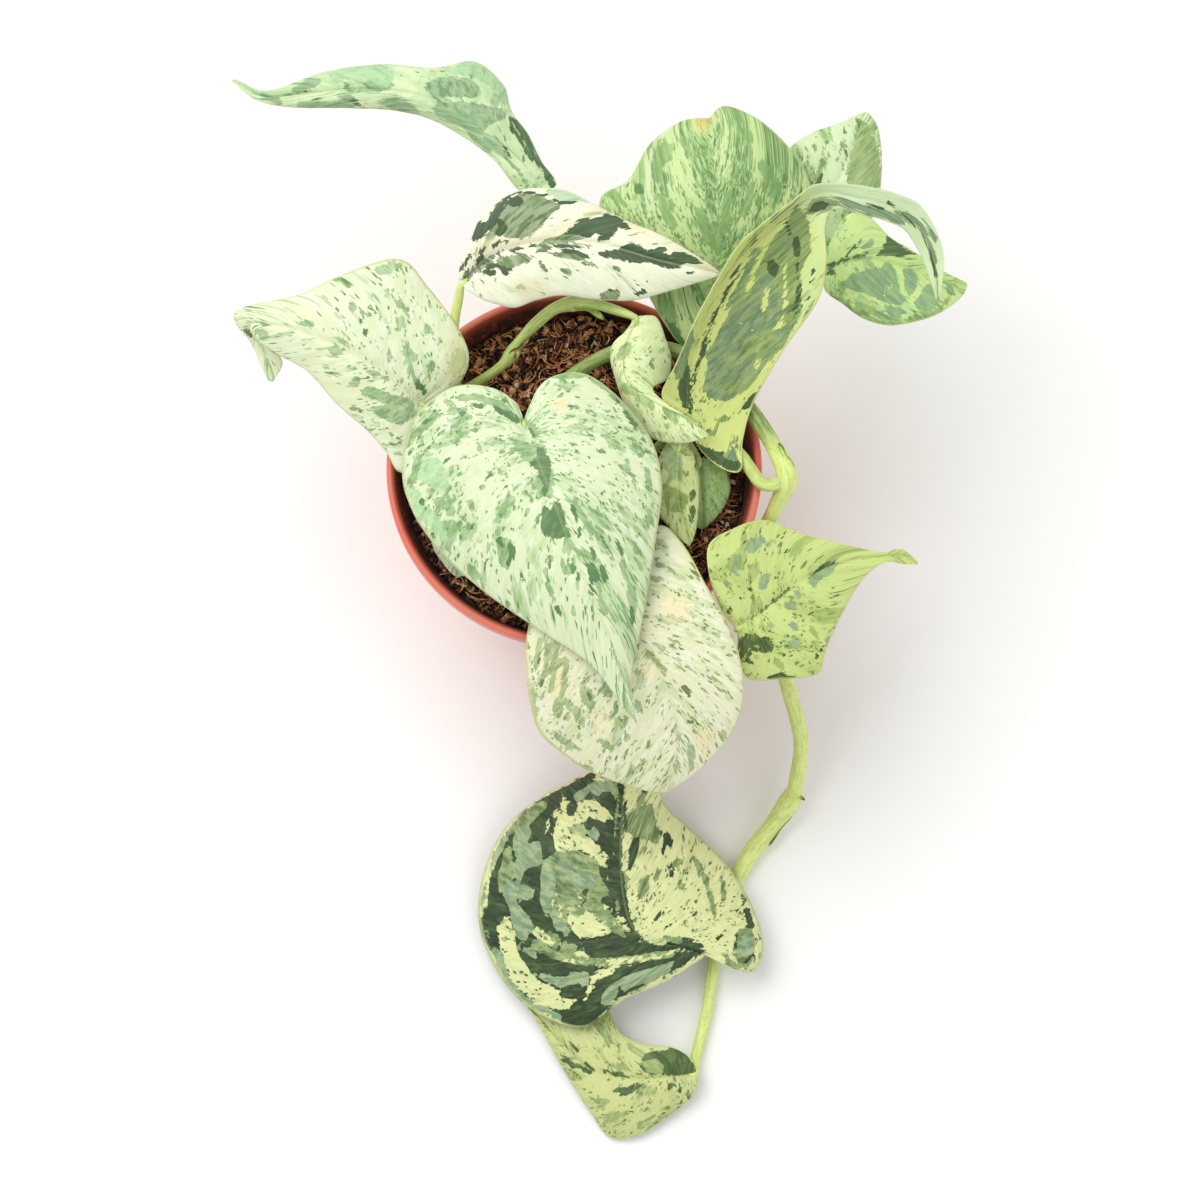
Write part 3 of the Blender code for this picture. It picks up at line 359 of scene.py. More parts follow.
# Each stem is a list of tubes. A tube holds its points as x, y, z, radius in millimetres and the
# leaf that it carries: its end follows from that leaf's notch. A tube that starts at ROOT_END
# stands in a hole in the soil.
STEMS = {
    "vine_trailing": [
        ([(-12, 18, ROOT_END, 2.3), (-12, 18, 77, 2.3), (-12, 18, ROOT_TOP, 2.3),
          (-7.5, 25, 92, 2.3), (3.5, 32.7, 98, 2.4), (15, 37, 101.5, 2.4),
          (30, 37.5, 102.5, 2.5), (46, 30.5, 103, 2.6), (57, 17, 102.8, 2.7),
          (64.8, 5, 101.8, 2.8), (69, -4.8, 99, 3.3), (65.8, -12, 90, 2.5),
          (62.2, -20, 81, 2.5), (62.5, -31, 70, 2.5), (66, -47, 55, 2.5),
          (72, -65, 40, 2.6), (76.6, -80, 27.5, 2.6), (75.6, -93, 16.5, 2.7),
          (74, -98.5, 11.5, 3.1), (68.5, -106, 7, 2.6), (60, -117, 4.2, 2.5),
          (53, -130, 3.4, 2.4), (49.5, -142, 3.2, 2.6), (47.2, -155, 3, 2.2),
          (45, -170, 2.8, 2), (41.8, -183, 2.8, 1.9), (40.6, -189, 3.3, 1.7)],
         "leaf_trailing_end"),
        ([(69, -4.8, 99, 2.5), (64.5, -6.8, 98.6, 2.3), (60.3, -6, 98.6, 2.3),
          (57, -1.5, 98.7, 2.3), (53, 4, 99.6, 2), (45, 10.5, 102.2, 1.7)],
         "leaf_arched"),
        ([(62.2, -25, 76, 1.6), (61.5, -32, 79, 1.6), (58, -44, 83.5, 1.5)],
         "leaf_right"),
        ([(51, -136, 3.4, 1.6), (49.3, -142.5, 6.5, 1.6), (47, -148.5, 11.5, 1.4)],
         "leaf_trailing"),
    ],
    "vine_back": [
        ([(-38.5, 25, ROOT_END, 1.8), (-38.5, 25, 77, 1.8), (-38.5, 25, ROOT_TOP, 1.8),
          (-34.5, 28, 89, 1.7), (-28.8, 31, 91.5, 1.6), (-23.5, 34.5, 93.5, 1.7),
          (-20.3, 38, 95.5, 2.3), (-17.2, 42, 98.5, 1.7), (-12.4, 46.3, 102, 2),
          (-6.3, 50.3, 105.5, 2.1), (0.5, 51.6, 108, 2.5), (6, 51.2, 108.8, 1.8),
          (13, 48.5, 111.3, 1.7)],
         "leaf_folded"),
        ([(-38, 25.6, 86, 1.6), (-39, 31, 93, 1.6), (-39.5, 38, 101, 1.6),
          (-38.6, 45.5, 109.5, 1.6), (-37.2, 51, 116, 1.6)],
         "leaf_back"),
        ([(0.5, 51.6, 108, 1.7), (1, 60, 109.5, 1.6), (-0.5, 70, 111, 1.5),
          (-4, 80, 112, 1.4)],
         "leaf_far_left"),
    ],
    "vine_right": [
        ([(40, 26, ROOT_END, 2), (40, 26, 77, 2), (40, 26, ROOT_TOP, 2),
          (40.8, 29.5, 92.5, 2), (42.5, 34.5, 97, 2), (47, 41, 98.4, 2.2),
          (57, 49, 98.8, 1.9), (67, 54, 99.5, 2.2), (74, 57.5, 101.5, 1.5),
          (78.5, 60, 104.5, 1.4)],
         "leaf_right_tip"),
        ([(47, 41, 98.4, 1.6), (46.8, 44.5, 101.5, 1.5), (46.2, 49, 105, 1.4)],
         "leaf_back_round"),
        ([(67, 54, 99.5, 1.5), (73, 60, 98.5, 1.4), (77.5, 66.5, 99, 1.3)],
         "leaf_upright"),
    ],
    "petiole_front": [
        ([(-12, -3, ROOT_END, 2.1), (-12, -3, 77, 2.1), (-12, -3, ROOT_TOP, 2.1),
          (-12.3, -1, 96, 2), (-13.2, 3, 105, 1.9), (-14.8, 7, 112.5, 1.8)],
         "leaf_front_heart"),
    ],
    "petiole_left": [
        ([(-37, 7, ROOT_END, 1.7), (-37, 7, 77, 1.7), (-37, 7, ROOT_TOP, 1.7),
          (-39, 9.5, 93, 1.6), (-43.5, 13.5, 99, 1.5)],
         "leaf_left"),
    ],
    "petiole_inner": [
        ([(24, 4, ROOT_END, 1.5), (24, 4, 77, 1.5), (24, 4, ROOT_TOP, 1.5),
          (27, 7, 93, 1.5), (31, 8.5, 98.5, 1.4)],
         "leaf_inner"),
    ],
    "petiole_over_rim": [
        ([(4, -20, ROOT_END, 1.8), (4, -20, 77, 1.8), (4, -20, ROOT_TOP, 1.8),
          (4.5, -25, 91, 1.7), (6.3, -32, 95, 1.6)],
         "leaf_over_rim"),
    ],
    "petiole_young": [
        ([(35, 13, ROOT_END, 1.3), (35, 13, 77, 1.3), (35, 13, ROOT_TOP, 1.3),
          (37.5, 9.5, 88.3, 1.2)],
         "leaf_young"),
    ],
    "petiole_under": [
        ([(-22, 3, ROOT_END, 1.3), (-22, 3, 77, 1.3), (-22, 3, ROOT_TOP, 1.3),
          (-25, -0.5, 90.5, 1.2)],
         "leaf_under"),
    ],
}

# How each blade is coloured: its slot, its tones and the tone of its underside as they look
# on the screen, and the share of it with a mint wash, patches, flecks and specks. The dark
# underside tones of the arched and upright leaves are painted shade, and the back leaf's warm
# tone is partly a tan tint and partly painted shade. Some give how high the edge waves and the
# veins stand, in millimetres, how many stations the veins slant to the tip, and how far the tip
# takes on a tone of its own.
LOOKS = {
    "leaf_front_heart": {
        "slot": "cream leaf", "under": (190, 208, 170), "share": (0.4, 0.12, 0.18, 0.17),
        "wave": 0.4,
        "tones": {"Cream": (223, 235, 201), "Mint": (188, 213, 158),
                  "Green": (130, 168, 108), "Dark": (82, 118, 72), "Silver": (176, 214, 158),
                  "Margin": (212, 220, 158)},
    },
    "leaf_left": {
        "slot": "cream leaf", "under": (196, 206, 160), "share": (0.16, 0.05, 0.09, 0.1),
        "wave": 0.5,
        "tones": {"Cream": (227, 237, 204), "Mint": (208, 226, 178),
                  "Green": (132, 170, 110), "Dark": (74, 112, 62), "Tint and shade": (206, 202, 138),
                  "Margin": (214, 216, 150)},
    },
    "leaf_back": {
        "slot": "cream leaf", "under": (206, 210, 176), "share": (0.12, 0.02, 0.02, 0.02),
        "wave": 0.4,
        "tones": {"Cream": (238, 242, 216), "Mint": (160, 184, 120),
                  "Green": (84, 114, 58), "Dark": (50, 76, 48), "Silver": (164, 200, 150),
                  # The warm tone on the next line is both a tan tint and painted shade
                  "Tint and shade": (222, 212, 170), "Margin": (240, 240, 206)},
    },
    "leaf_far_left": {
        "slot": "cream leaf", "under": (188, 204, 152), "share": (0.5, 0.08, 0.05, 0.04),
        "wave": 0.4,
        "tones": {"Cream": (212, 228, 186), "Mint": (176, 208, 154),
                  "Green": (126, 160, 118), "Dark": (60, 90, 44), "Silver": (164, 202, 152),
                  "Margin": (206, 222, 160)},
    },
    "leaf_back_round": {
        "slot": "mint leaf", "under": (180, 200, 140), "share": (0.46, 0.06, 0.32, 0.56),
        "wave": 0.5, "slant": 4.5,
        "tones": {"Cream": (196, 220, 150), "Mint": (172, 204, 132),
                  "Green": (128, 166, 100), "Dark": (84, 122, 70), "Silver": (208, 224, 182),
                  "Tint and shade": (232, 194, 100), "Margin": (206, 222, 160)},
    },
    "leaf_arched": {
        # Its dark underside tone on the next line is painted shade
        "slot": "lime leaf", "under": (112, 132, 52), "share": (0.25, 0.04, 0.06, 0.05),
        "wave": 0.3, "slant": 3, "tip": 0.85,
        "tones": {"Cream": (208, 220, 126), "Mint": (186, 208, 128),
                  "Green": (92, 122, 72), "Dark": (50, 74, 40), "Silver": (88, 120, 94),
                  "Margin": (216, 224, 148), "Tip": (204, 226, 186), "Tint and shade": (198, 222, 160)},
    },
    "leaf_right_tip": {
        "slot": "lime leaf", "under": (184, 198, 110), "share": (0.3, 0.1, 0.08, 0.05), "wave": 0.4,
        "tones": {"Cream": (208, 232, 148), "Mint": (178, 212, 150),
                  "Green": (140, 172, 96), "Dark": (66, 96, 60), "Silver": (124, 158, 120),
                  "Margin": (190, 218, 140)},
    },
    "leaf_upright": {
        # Its dark underside tone on the next line is painted shade
        "slot": "mint leaf", "under": (150, 170, 96), "share": (0.4, 0.14, 0.14, 0.12), "wave": 0.3,
        "tones": {"Cream": (208, 228, 180), "Mint": (180, 210, 150),
                  "Green": (130, 156, 84), "Dark": (66, 102, 48)},
    },
    "leaf_folded": {
        "slot": "cream leaf", "under": (170, 184, 124), "share": (0.4, 0.1, 0.1, 0.14), "wave": 0.2,
        "tones": {"Cream": (228, 240, 188), "Mint": (210, 228, 166),
                  "Green": (146, 178, 106), "Dark": (88, 122, 62), "Margin": (214, 222, 150)},
    },
    "leaf_inner": {
        "slot": "cream leaf", "under": (170, 184, 110), "share": (0.4, 0.1, 0.08, 0.1), "wave": 0.2,
        "tones": {"Cream": (196, 208, 140), "Mint": (176, 194, 122),
                  "Green": (120, 140, 66), "Dark": (70, 92, 40), "Silver": (140, 164, 118),
                  "Margin": (204, 216, 148)},
    },
    "leaf_young": {
        "slot": "mint leaf", "under": (130, 156, 90), "share": (0.75, 0.4, 0.3, 0.2), "wave": 0.2,
        "tones": {"Cream": (172, 198, 128), "Mint": (158, 188, 116),
                  "Green": (130, 164, 94), "Dark": (86, 120, 64), "Margin": (164, 190, 128)},
    },
    "leaf_under": {
        "slot": "mint leaf", "under": (176, 192, 148), "share": (0.4, 0.1, 0.05, 0.02), "wave": 0.2,
        "tones": {"Cream": (188, 204, 162), "Mint": (176, 196, 152),
                  "Green": (152, 180, 130), "Dark": (110, 140, 96)},
    },
    "leaf_over_rim": {
        "slot": "cream leaf", "under": (200, 208, 160), "share": (0.34, 0.09, 0.11, 0.13),
        "wave": 0.5,
        "tones": {"Cream": (236, 238, 210), "Mint": (208, 219, 170),
                  "Green": (138, 168, 106), "Dark": (90, 114, 66), "Tint and shade": (242, 226, 176),
                  "Margin": (214, 214, 140)},
    },
    "leaf_trailing": {
        "slot": "dark leaf", "under": (140, 166, 110), "share": (0.3, 0.03, 0.04, 0.1), "wave": 0.5,
        "veins": 0.35,
        "tones": {"Cream": (226, 229, 166), "Mint": (196, 208, 142),
                  "Green": (88, 126, 74), "Dark": (14, 38, 16), "Silver": (114, 148, 118),
                  "Margin": (200, 216, 150)},
    },
    "leaf_trailing_end": {
        "slot": "cream leaf", "under": (180, 188, 120), "share": (0.35, 0.12, 0.12, 0.14),
        "wave": 0.4,
        "tones": {"Cream": (198, 204, 140), "Mint": (176, 190, 118),
                  "Green": (136, 160, 98), "Dark": (52, 78, 36), "Margin": (212, 220, 140)},
    },
    "leaf_right": {
        "slot": "lime leaf", "under": (172, 192, 104), "share": (0.38, 0.12, 0.06, 0.12),
        "wave": 0.5,
        "tones": {"Cream": (200, 216, 132), "Mint": (172, 191, 106),
                  "Green": (134, 162, 86), "Dark": (48, 70, 24), "Silver": (132, 160, 128),
                  "Margin": (208, 224, 140)},
    },
}

# What is painted on each blade, seen from above, in millimetres. Each run of one kind holds
# marks of a half width and then x, y, x, y... along the stroke. With a half width of 0 the
# points go round an area. A mark covers the earlier ones, and a clear one bares the blade.
# A few marks are painted shade, each noted where it stands.
MARKS = {
    "leaf_front_heart": [
        ("dark", (0, -26.1, 15.2, -23.8, 16.3, -22.2, 17.1, -20.9, 14.7, -19.6, 12.8, -18.3, 11.5, -16.8,
        9.8, -18.5, 8.9, -20.2, 9.7, -22.2, 10.6, -23.9, 11.6, -25.5, 12.8)), ("green", (0.9, -16.7, 10.5,
        -12.7, 7.4, -10.8, 5.4)), ("dark", (0.5, -21.9, 17.5, -20.6, 14.8)), ("green", (0, -16.6, 9.1,
        -11.9, 6.2, -10.3, 2.8, -8.6, -0.6, -6.8, -5.3, -6.3, -9.8, -6.2, -15.1, -8, -16, -8.8, -14.6,
        -10.9, -15.7, -11.4, -14.4, -11, -12.8, -13.1, -13.1, -13.8, -10.4, -11, -9.2, -11.4, -6.4, -13.5,
        -5.8, -13.6, -3.7, -11.5, -1.8, -11.3, 1.3, -12.8, 4.8)), ("dark", (0, -12.1, 2, -8.9, -0.6, -7.1,
        -5.3, -7.5, -8.8, -7.7, -13, -9.5, -14.3, -10.4, -9.8, -11.8, -6.3, -13.5, -5.2, -14.2, -3.9,
        -11.5, -1.8), (0.6, -13.8, 6.8, -10.5, 1.4)), ("green", (0, -19.1, 2.8, -13.7, 2.5, -12.1, 0.1,
        -11.5, -1.8, -13.6, -3.7, -17.4, -4.1, -16.5, -1.4, -19.3, 0.3)), ("dark", (0, -10.3, -18.7, -7,
        -19.1, -6.4, -15.6, -4.7, -15.8, -3.5, -19.6, -2.5, -23.5, -1, -27.9, -4.8, -28.6, -9.8, -27.9)),
        ("green", (0, -1.8, -13.1, 1, -16.4, 4.8, -22, 7.7, -26.5, 5.6, -28.3, 2.4, -23.3, 0, -19)),
        ("dark", (0.7, 0, -19, 1.2, -22.2), (0.7, 1.6, -25.9, 2.2, -28.3)), ("green", (0, -24.6, -27.8,
        -20.7, -27.6, -18.6, -30.1, -19, -33.7, -20.9, -37.3, -23.2, -36.2, -24.3, -32.1)), ("dark", (0.9,
        -20.2, -30.1, -19.1, -32.7, -20.6, -35.2), (0.6, -23.6, -28.5, -22.2, -30.5)), ("silver", (0,
        -48.6, -2.4, -44, -0.9, -40.3, -5.6, -40.1, -11.1, -42.9, -12.7, -46.3, -10.1, -49.9, -7.3), (0,
        -54.3, -9.2, -50.2, -10.5, -46.7, -15.8, -42.6, -21.5, -38.5, -29.4, -44.3, -25, -51.5, -16.2)),
        ("green", (1.2, -49.9, -3.3, -52, -8.9), (0.9, -42.5, -14.9, -43.8, -18.4), (1.2, -40.9, -15.7,
        -39, -18.9)), ("dark", (0, 3.4, -36.9, 5.9, -36.4, 7.9, -38.8, 8.3, -41.6, 5.2, -41.9, 4.6,
        -39.1), (0.9, 9.1, -36.8, 10, -41.2), (0.7, 5.2, -42.6, 6.6, -44.9)), ("green", (1, 2.6, -32.6,
        8.4, -35.6)), ("dark", (0.8, 5.5, -31.3, 6.5, -33.9), (0.8, 9.2, -29.2, 10.2, -31), (0.5, 11.6,
        -33.7, 12.6, -36.6), (0.5, 14, -28.7, 15.2, -32.1)), ("green", (0, 16.7, -41.4, 19.7, -42.2, 20.2,
        -48.4, 18.5, -55.4, 17.1, -48.7)), ("dark", (0.7, 18.3, -49.1, 18.7, -53.9)), ("green", (0.7,
        15.4, -34.7, 16.9, -40.7), (1.2, -5.6, 24.4, -1.3, 24.6, 3.3, 25.3)), ("dark", (0.6, 5.1, 24.7, 8,
        23, 10.8, 21.1)), ("green", (1.3, 6.8, 23.8, 11.1, 20.8, 15.5, 16.1, 18.6, 11.5, 22.4, 6.9)),
        ("dark", (0.5, 13.5, 17.6, 16.5, 13.3, 20.6, 8.8)), ("green", (1.2, -35.7, 17.7, -29.9, 17.2,
        -24.7, 15.5, -21, 14), (0.8, -42.7, 17.7, -39, 15.4), (1.2, -39.5, 13.5, -35.1, 12.7)), ("dark",
        (0.6, -37.6, 13.6, -35, 12.2), (0.5, -33.1, 15.3, -28.6, 13.9)), ("green", (1.3, -50, 7.4, -44.1,
        11.8), (1.2, -53.9, 3.2, -51.9, 7.7), (0.9, -50.5, -0.9, -46.6, 1.7)), ("dark", (0.5, -48, 9.8,
        -45.4, 11.4), (0.5, -45.4, 5.6, -43.5, 6.6), (0.7, -27.4, -9.6, -25.9, -6.5)), ("green", (0.8,
        -39.4, -6.9, -38.3, -5.1)), ("dark", (0.8, -48.8, -14.3, -46.9, -16.8), (0.5, -40.8, -3.1, -39.5,
        -1.7)), ("green", (0.9, -23.6, -6.5, -21.4, -8.6), (0.8, -43.9, -15.2, -42.7, -16.9), (0.8, -40.3,
        -12.9, -39.7, -18.7), (0.9, 16.4, -3.4, 17.3, -6), (0.9, -33.8, -15.4, -31.8, -18.7)), ("dark",
        (0.5, -17, -37.8, -15.7, -40.8)), ("green", (1, 19, -9.8, 20.5, -12.2), (1, 8.4, -47.5, 10.3,
        -51)), ("dark", (0.7, -5.6, -48.9, -4.5, -50.9)), ("green", (0.8, 7.9, -42.4, 8.4, -45)), ("dark",
        (0.5, 0.1, -37, 1.6, -41.1)), ("green", (0.9, -8.3, -42.1, -6.9, -45.7), (0.8, 18.7, 4, 21.2,
        -1.3), (0.8, 23.3, -5.4, 24.3, -12.5), (0.7, 23.7, -18.1, 23, -24.4)), ("dark", (0.4, 21.2, -15.3,
        22.2, -18.9)), ("green", (1.2, -33.4, -35.6, -30.6, -38.7), (0.9, -4.3, -35.1, -1.7, -38.7)),
        ("tint_and_shade", (2, -4.3, 15)),
    ],
    "leaf_left": [
        ("green", (0, -61, 60.8, -58.6, 62, -56, 62.2, -54.8, 59.6, -57.2, 59.4), (1, -62.6, 59.3, -59.5,
        58.4), (0, -58.9, 49.5, -56.4, 50.4, -54.7, 48.6, -52.6, 47.7, -53.2, 44.1, -54.6, 45.4, -56.5,
        47.2), (0, -59.4, 46, -58, 43.8, -57.3, 42.3, -59, 43.4), (0, -55.4, 35.9, -52.3, 37, -51.5, 33.7,
        -49.9, 31.9, -52.1, 30.1, -51.1, 27.3, -48.4, 24.3, -47.1, 22, -48.5, 20.9, -50.9, 23.1, -53.5,
        27.9, -54.7, 31.8)), ("dark", (0.9, -50.3, 24.3, -48.2, 22.1)), ("green", (0, -46.5, 31.5, -44.5,
        31.6, -44.9, 28.7, -46.1, 28.6), (0, -49.2, 40.1, -47.9, 42.6, -45.5, 41.9, -46.4, 39.7), (0,
        -72.2, 48.4, -70.6, 48.9, -69.9, 46.1, -71.2, 44.2, -72.4, 45.4)), ("dark", (0.6, -67.9, 42.4,
        -68.4, 43.7), (0.6, -66.8, 40, -66.6, 38.8)), ("green", (0, -78, 37.6, -75.1, 37.9, -73.1, 36.7,
        -72, 34.7, -73.9, 35.5, -76, 36.7), (0, -79.4, 34.7, -76.2, 35.6, -74.4, 33.3, -76.8, 32, -78.5,
        32.7), (0, -72.7, 24.9, -69.4, 25.2, -69, 23.4, -71.1, 22.5, -72.9, 23.4), (0, -73.3, 29.2, -70,
        29.5, -69.9, 27.7, -72.2, 27.8), (0, -67.1, 23.5, -63.8, 23, -60.1, 21.6, -54.8, 20.1, -52.4, 19,
        -51.8, 17.1, -50.4, 15.3, -53, 13.2, -55.6, 11.9, -59.6, 12.6, -62.7, 14.4, -65.8, 16.8, -60.8,
        18, -64.6, 19.1, -68.3, 20.7), (0, -66.7, 27.6, -63.8, 27.8, -60.1, 26.3, -59.3, 24.7, -63.7,
        25.6), (0, -102.7, 41.6, -99.4, 41.1, -98.1, 39.9, -98.6, 39.1, -101.4, 39.4)), ("dark", (0.6,
        -106.2, 42.6, -105.5, 41.4)), ("green", (1, -87.1, 42.3, -84.6, 41.6)), ("tint_and_shade", (3, -37.9, 35.3,
        -38.8, 27.5)),
    ],
    "leaf_back": [
        # The long band first below is painted shade across its left and middle, and a tan tint towards
        # its right end
        ("tint_and_shade", (0, -30.8, 61.3, -33.5, 58.8, -30.7, 66.3, -23.6, 68.8, -9.1, 68.9, 2, 75, 8.4, 79.3, 18,
        75.8, 24.4, 68.5, 37.1, 63.1, 44.2, 58.1, 40.9, 60, 27.7, 65.8, 18.2, 69.6, 8.6, 75.7, -1, 69.8,
        -14, 65.9, -23.7, 64.4)), ("green", (0, -22, 78.2, -20.9, 80.6, -18.8, 82.3, -16, 82.6, -12.8,
        82.2, -9.4, 81.3, -6.3, 79.7, -3.2, 78.3, -4.4, 76.9, -7.1, 75.1, -9.1, 73, -11.5, 70.9, -14.1,
        68.7, -16.9, 67.6, -19.9, 68, -22.3, 68.6, -24.2, 69.4, -26.9, 70.5, -25, 73, -23.4, 75.9)),
        ("dark", (0, -33.6, 70.1, -32.3, 71.9, -30.1, 72.9, -27.9, 73.7, -26.8, 76, -25.8, 78.2, -24.3,
        79.7, -22.1, 80.6, -20.9, 79.8, -22.1, 77.8, -23, 75.9, -24.2, 73.7, -26, 71.2, -27.9, 69.1,
        -30.2, 67.5, -32.4, 66.7), (0, -20.4, 81, -17.3, 81.9, -15.8, 79.5, -17.9, 77.5, -20.4, 78.1,
        -21.7, 77.5), (1, -23.6, 73, -22.2, 71.2, -23.7, 70)), ("silver", (0, -9.5, 83.8, -5.5, 84.1,
        # The thin dark stroke that starts on the next line runs along the curled upper edge: it is
        # painted shade under that edge
        -0.6, 84.1, 2, 83.4, 4.5, 81.4, 5, 79.3, 0.2, 80, -3.8, 79.7, -7, 81.1)), ("dark", (0.35, -21.7,
        80.5, -17.1, 83, -9.3, 81.7, -4.2, 79.3, 0.4, 79.4), (0, -2.5, 69.4, -1.9, 71.1, -0.2, 71.8, 1.1,
        73.4, 3, 74.4, 5.8, 74.3, 8.3, 74.9, 10.2, 76.1, 11.6, 75.9, 14.4, 74.3, 16.5, 73.1, 18.6, 70.6,
        16.4, 70.4, 14.1, 71, 13.5, 69.4, 11.9, 68.2, 9.4, 68.2, 7.7, 68.5, 6.9, 70.1, 5.8, 68.3, 3.7,
        68.1, 1.7, 68.4, 0.2, 69.3), (0, 7.4, 68, 9.8, 68.4, 12.2, 68.4, 11.9, 67, 9.7, 66.7, 7.9, 67.1),
        (0, 7.8, 62.9, 10, 64.2, 12.3, 64.4, 14.1, 64.3, 14.9, 65.5, 16.8, 66.2, 18.9, 66.8, 20.5, 65.8,
        22.4, 64.7, 22, 63.6, 23.5, 63.3, 25.3, 64.1, 27.1, 65.1, 29.1, 65.4, 30.3, 63.9, 28.7, 63.1,
        30.3, 61.7, 32.1, 61.6, 31.4, 63, 34, 63.3, 36.3, 62.6, 39, 61.4, 41, 60.1, 40.9, 59.9, 38.5,
        59.5, 36.4, 59.9, 35.4, 59.4, 34, 58.3, 31.7, 58.1, 28.8, 58.3, 26.8, 59.2, 25.4, 60.1, 23.3,
        60.2, 21.5, 59.9, 19.3, 60.1, 16.4, 60.3, 13.8, 61.1, 11, 62)), ("green", (1.2, -34.5, 56.5,
        -30.7, 59.4, -26.8, 61.5)), ("dark", (0.6, -35.3, 55.8, -32.1, 59.1, -28.8, 61.4, -25.7, 63.2,
        -22.5, 64.2), (0.45, -23.1, 64.3, -17.2, 65.2, -11.5, 66.2)), ("green", (0, -24.9, 60.9, -23.8,
        62.5, -21, 63.4, -17.9, 63.6, -15.1, 63, -12.4, 61.7, -15.1, 60.7, -17.9, 59.6, -20.5, 58.4,
        -22.7, 58.5, -24.4, 59.7), (0.8, -11.5, 66.1, -7.1, 67.4, -2.4, 68.4, 1.9, 68.4), (0.5, -9.6,
        65.2, -4.3, 65.5, 0.9, 66.3, 5.3, 65.1), (0.6, -4.4, 66.7, -0.6, 67.2)), ("dark", (0.45, -5.7,
        65.6, -0.6, 65.5, 3.3, 64.7)), ("green", (0, -7.7, 63.3, -4.5, 64, -1.1, 63.9, 1.9, 62.9, 4.5,
        60.6, 1.2, 61.1, -3, 61.6)), ("dark", (0.4, -4.5, 64, 0.7, 63.8, 4.5, 62.4), (0.8, -28.2, 58,
        -26.9, 59.5, -25.1, 59.9, -22.8, 59, -22, 57.5), (0.8, -27.6, 57.3, -25.5, 57.9), (0.5, -21.2,
        58.4, -19.9, 58.6), (0.5, -36.4, 58.5, -33.3, 62.7), (0.4, -31.6, 60.7, -29.6, 62.9), (0.4, -30.1,
        64, -28.7, 65.2), (0.35, -25.6, 65.9, -24.7, 66.2), (0.35, -23.1, 67.3, -21.6, 67.4)), ("green",
        (0.8, -10.5, 60.2, -9.3, 58.5), (0.7, 4.6, 60, 6.2, 59.4), (0.7, -3.8, 58.8, -1.2, 57.7), (0.6,
        12.9, 58.5, 14.6, 57.9)), ("dark", (0.4, 36.3, 56.7, 38.4, 57), (0.6, 8.3, 51.2, 10.3, 51.9, 13,
        51.8)), ("green", (1.2, 9.6, 51.1, 12.3, 50.6, 13.6, 51.5)), ("dark", (0.4, 19.9, 51.1, 23,
        51.7)), ("green", (0.6, -12, 63.8, -9.2, 64.6)), ("tint_and_shade", (0, -19.9, 54.2, -17.2, 56, -10.8, 55.5,
        -8.4, 53, -11, 51.1, -16.2, 50.4), (2, 40.9, 60, 44.9, 56.6)),
    ],
    "leaf_far_left": [
        ("green", (0, -46.1, 113.8, -42.9, 115.5, -37.6, 115.3, -30.5, 114.7, -24, 114.1, -21.6, 112.6,
        -24.1, 109.6, -27.9, 108, -29.9, 105.5, -34.4, 107, -39.6, 109.6, -43.5, 110.7), (0, -49.4, 120,
        -46.1, 122.4, -40.2, 123.6, -33.8, 122.3, -30.5, 119.4, -31.8, 116.6, -38.9, 116.9, -45.3,
        116.8)), ("silver", (0, -43.6, 125.8, -33.7, 128.5, -26.7, 127.7, -22.2, 122.8, -21.1, 114.8,
        -22.8, 115.7, -26.6, 120.3, -32.9, 123.7, -40.2, 124.3), (0, -81, 126.7, -73.7, 129.6, -65.8,
        128.2, -61.2, 127.8, -57.9, 124.2, -60.4, 120.7, -65.1, 118.4, -69.8, 120.6, -72.4, 124.6, -77.6,
        123)), ("green", (0, -63.8, 116.8, -57.8, 118, -53.3, 116.1, -50, 113.3, -54.1, 112.4, -60.4,
        115.1), (1, -67.7, 122.3, -63, 120.2), (0.8, -74.3, 122.8, -72.3, 120.2), (1, -89.6, 117.7, -79.8,
        116.9, -72.5, 116.5), (1.2, -90.9, 122.2, -84.2, 124.2), (0.8, -76.3, 119.2, -72.4, 118.3)),
        ("dark", (0.35, -89.5, 120.6, -87.4, 121.4), (0.35, -85.6, 118.8, -82.3, 119), (0.35, -72.3,
        117.8, -69.8, 116.7)), ("green", (0.8, -102.3, 121.3, -96.3, 119)), ("dark", (0, -21.6, 112, -19,
        111.4, -15.4, 109.2, -14.4, 104.7, -12.4, 100, -13.5, 97, -15.6, 98.9, -18.2, 103.5, -20.6,
        107.4), (1.3, -12.1, 98.7, -8.8, 94.1, -6.7, 89)), ("clear", (0.3, -20.2, 110.2, -17.6, 105.7,
        -15.1, 101.1)), ("green", (0.6, -24.1, 100.5, -18.9, 94.9, -15, 89.1), (0.9, -28.6, 103.7, -24.1,
        100.5)), ("dark", (0.3, -22.8, 101.6, -20.2, 97.4)), ("green", (0.6, -33.6, 105.5, -27.2, 100.8)),
    ],
    "leaf_back_round": [
        ("green", (0, 26.2, 100.5, 29.3, 103.4, 32.4, 100.9, 31.7, 96.2, 29, 94, 29.2, 89.6, 27.3, 86.5,
        25.3, 91.5, 25.2, 97.2), (1.5, 27.7, 84.3, 30.4, 78.5, 32.2, 74.2), (1.6, 55.3, 105, 56.8, 102.4),
        (2, 60.8, 93.7, 63.3, 89.2, 65.2, 85.7), (1.6, 44.7, 74, 46.5, 67.4), (1.6, 40.7, 78.9, 42.6, 70),
        (1.4, 49.6, 83.5, 48.4, 73.4), (1.3, 57.5, 87.4, 54.8, 78.1)), ("dark", (0, 19.5, 91.2, 22, 89.2,
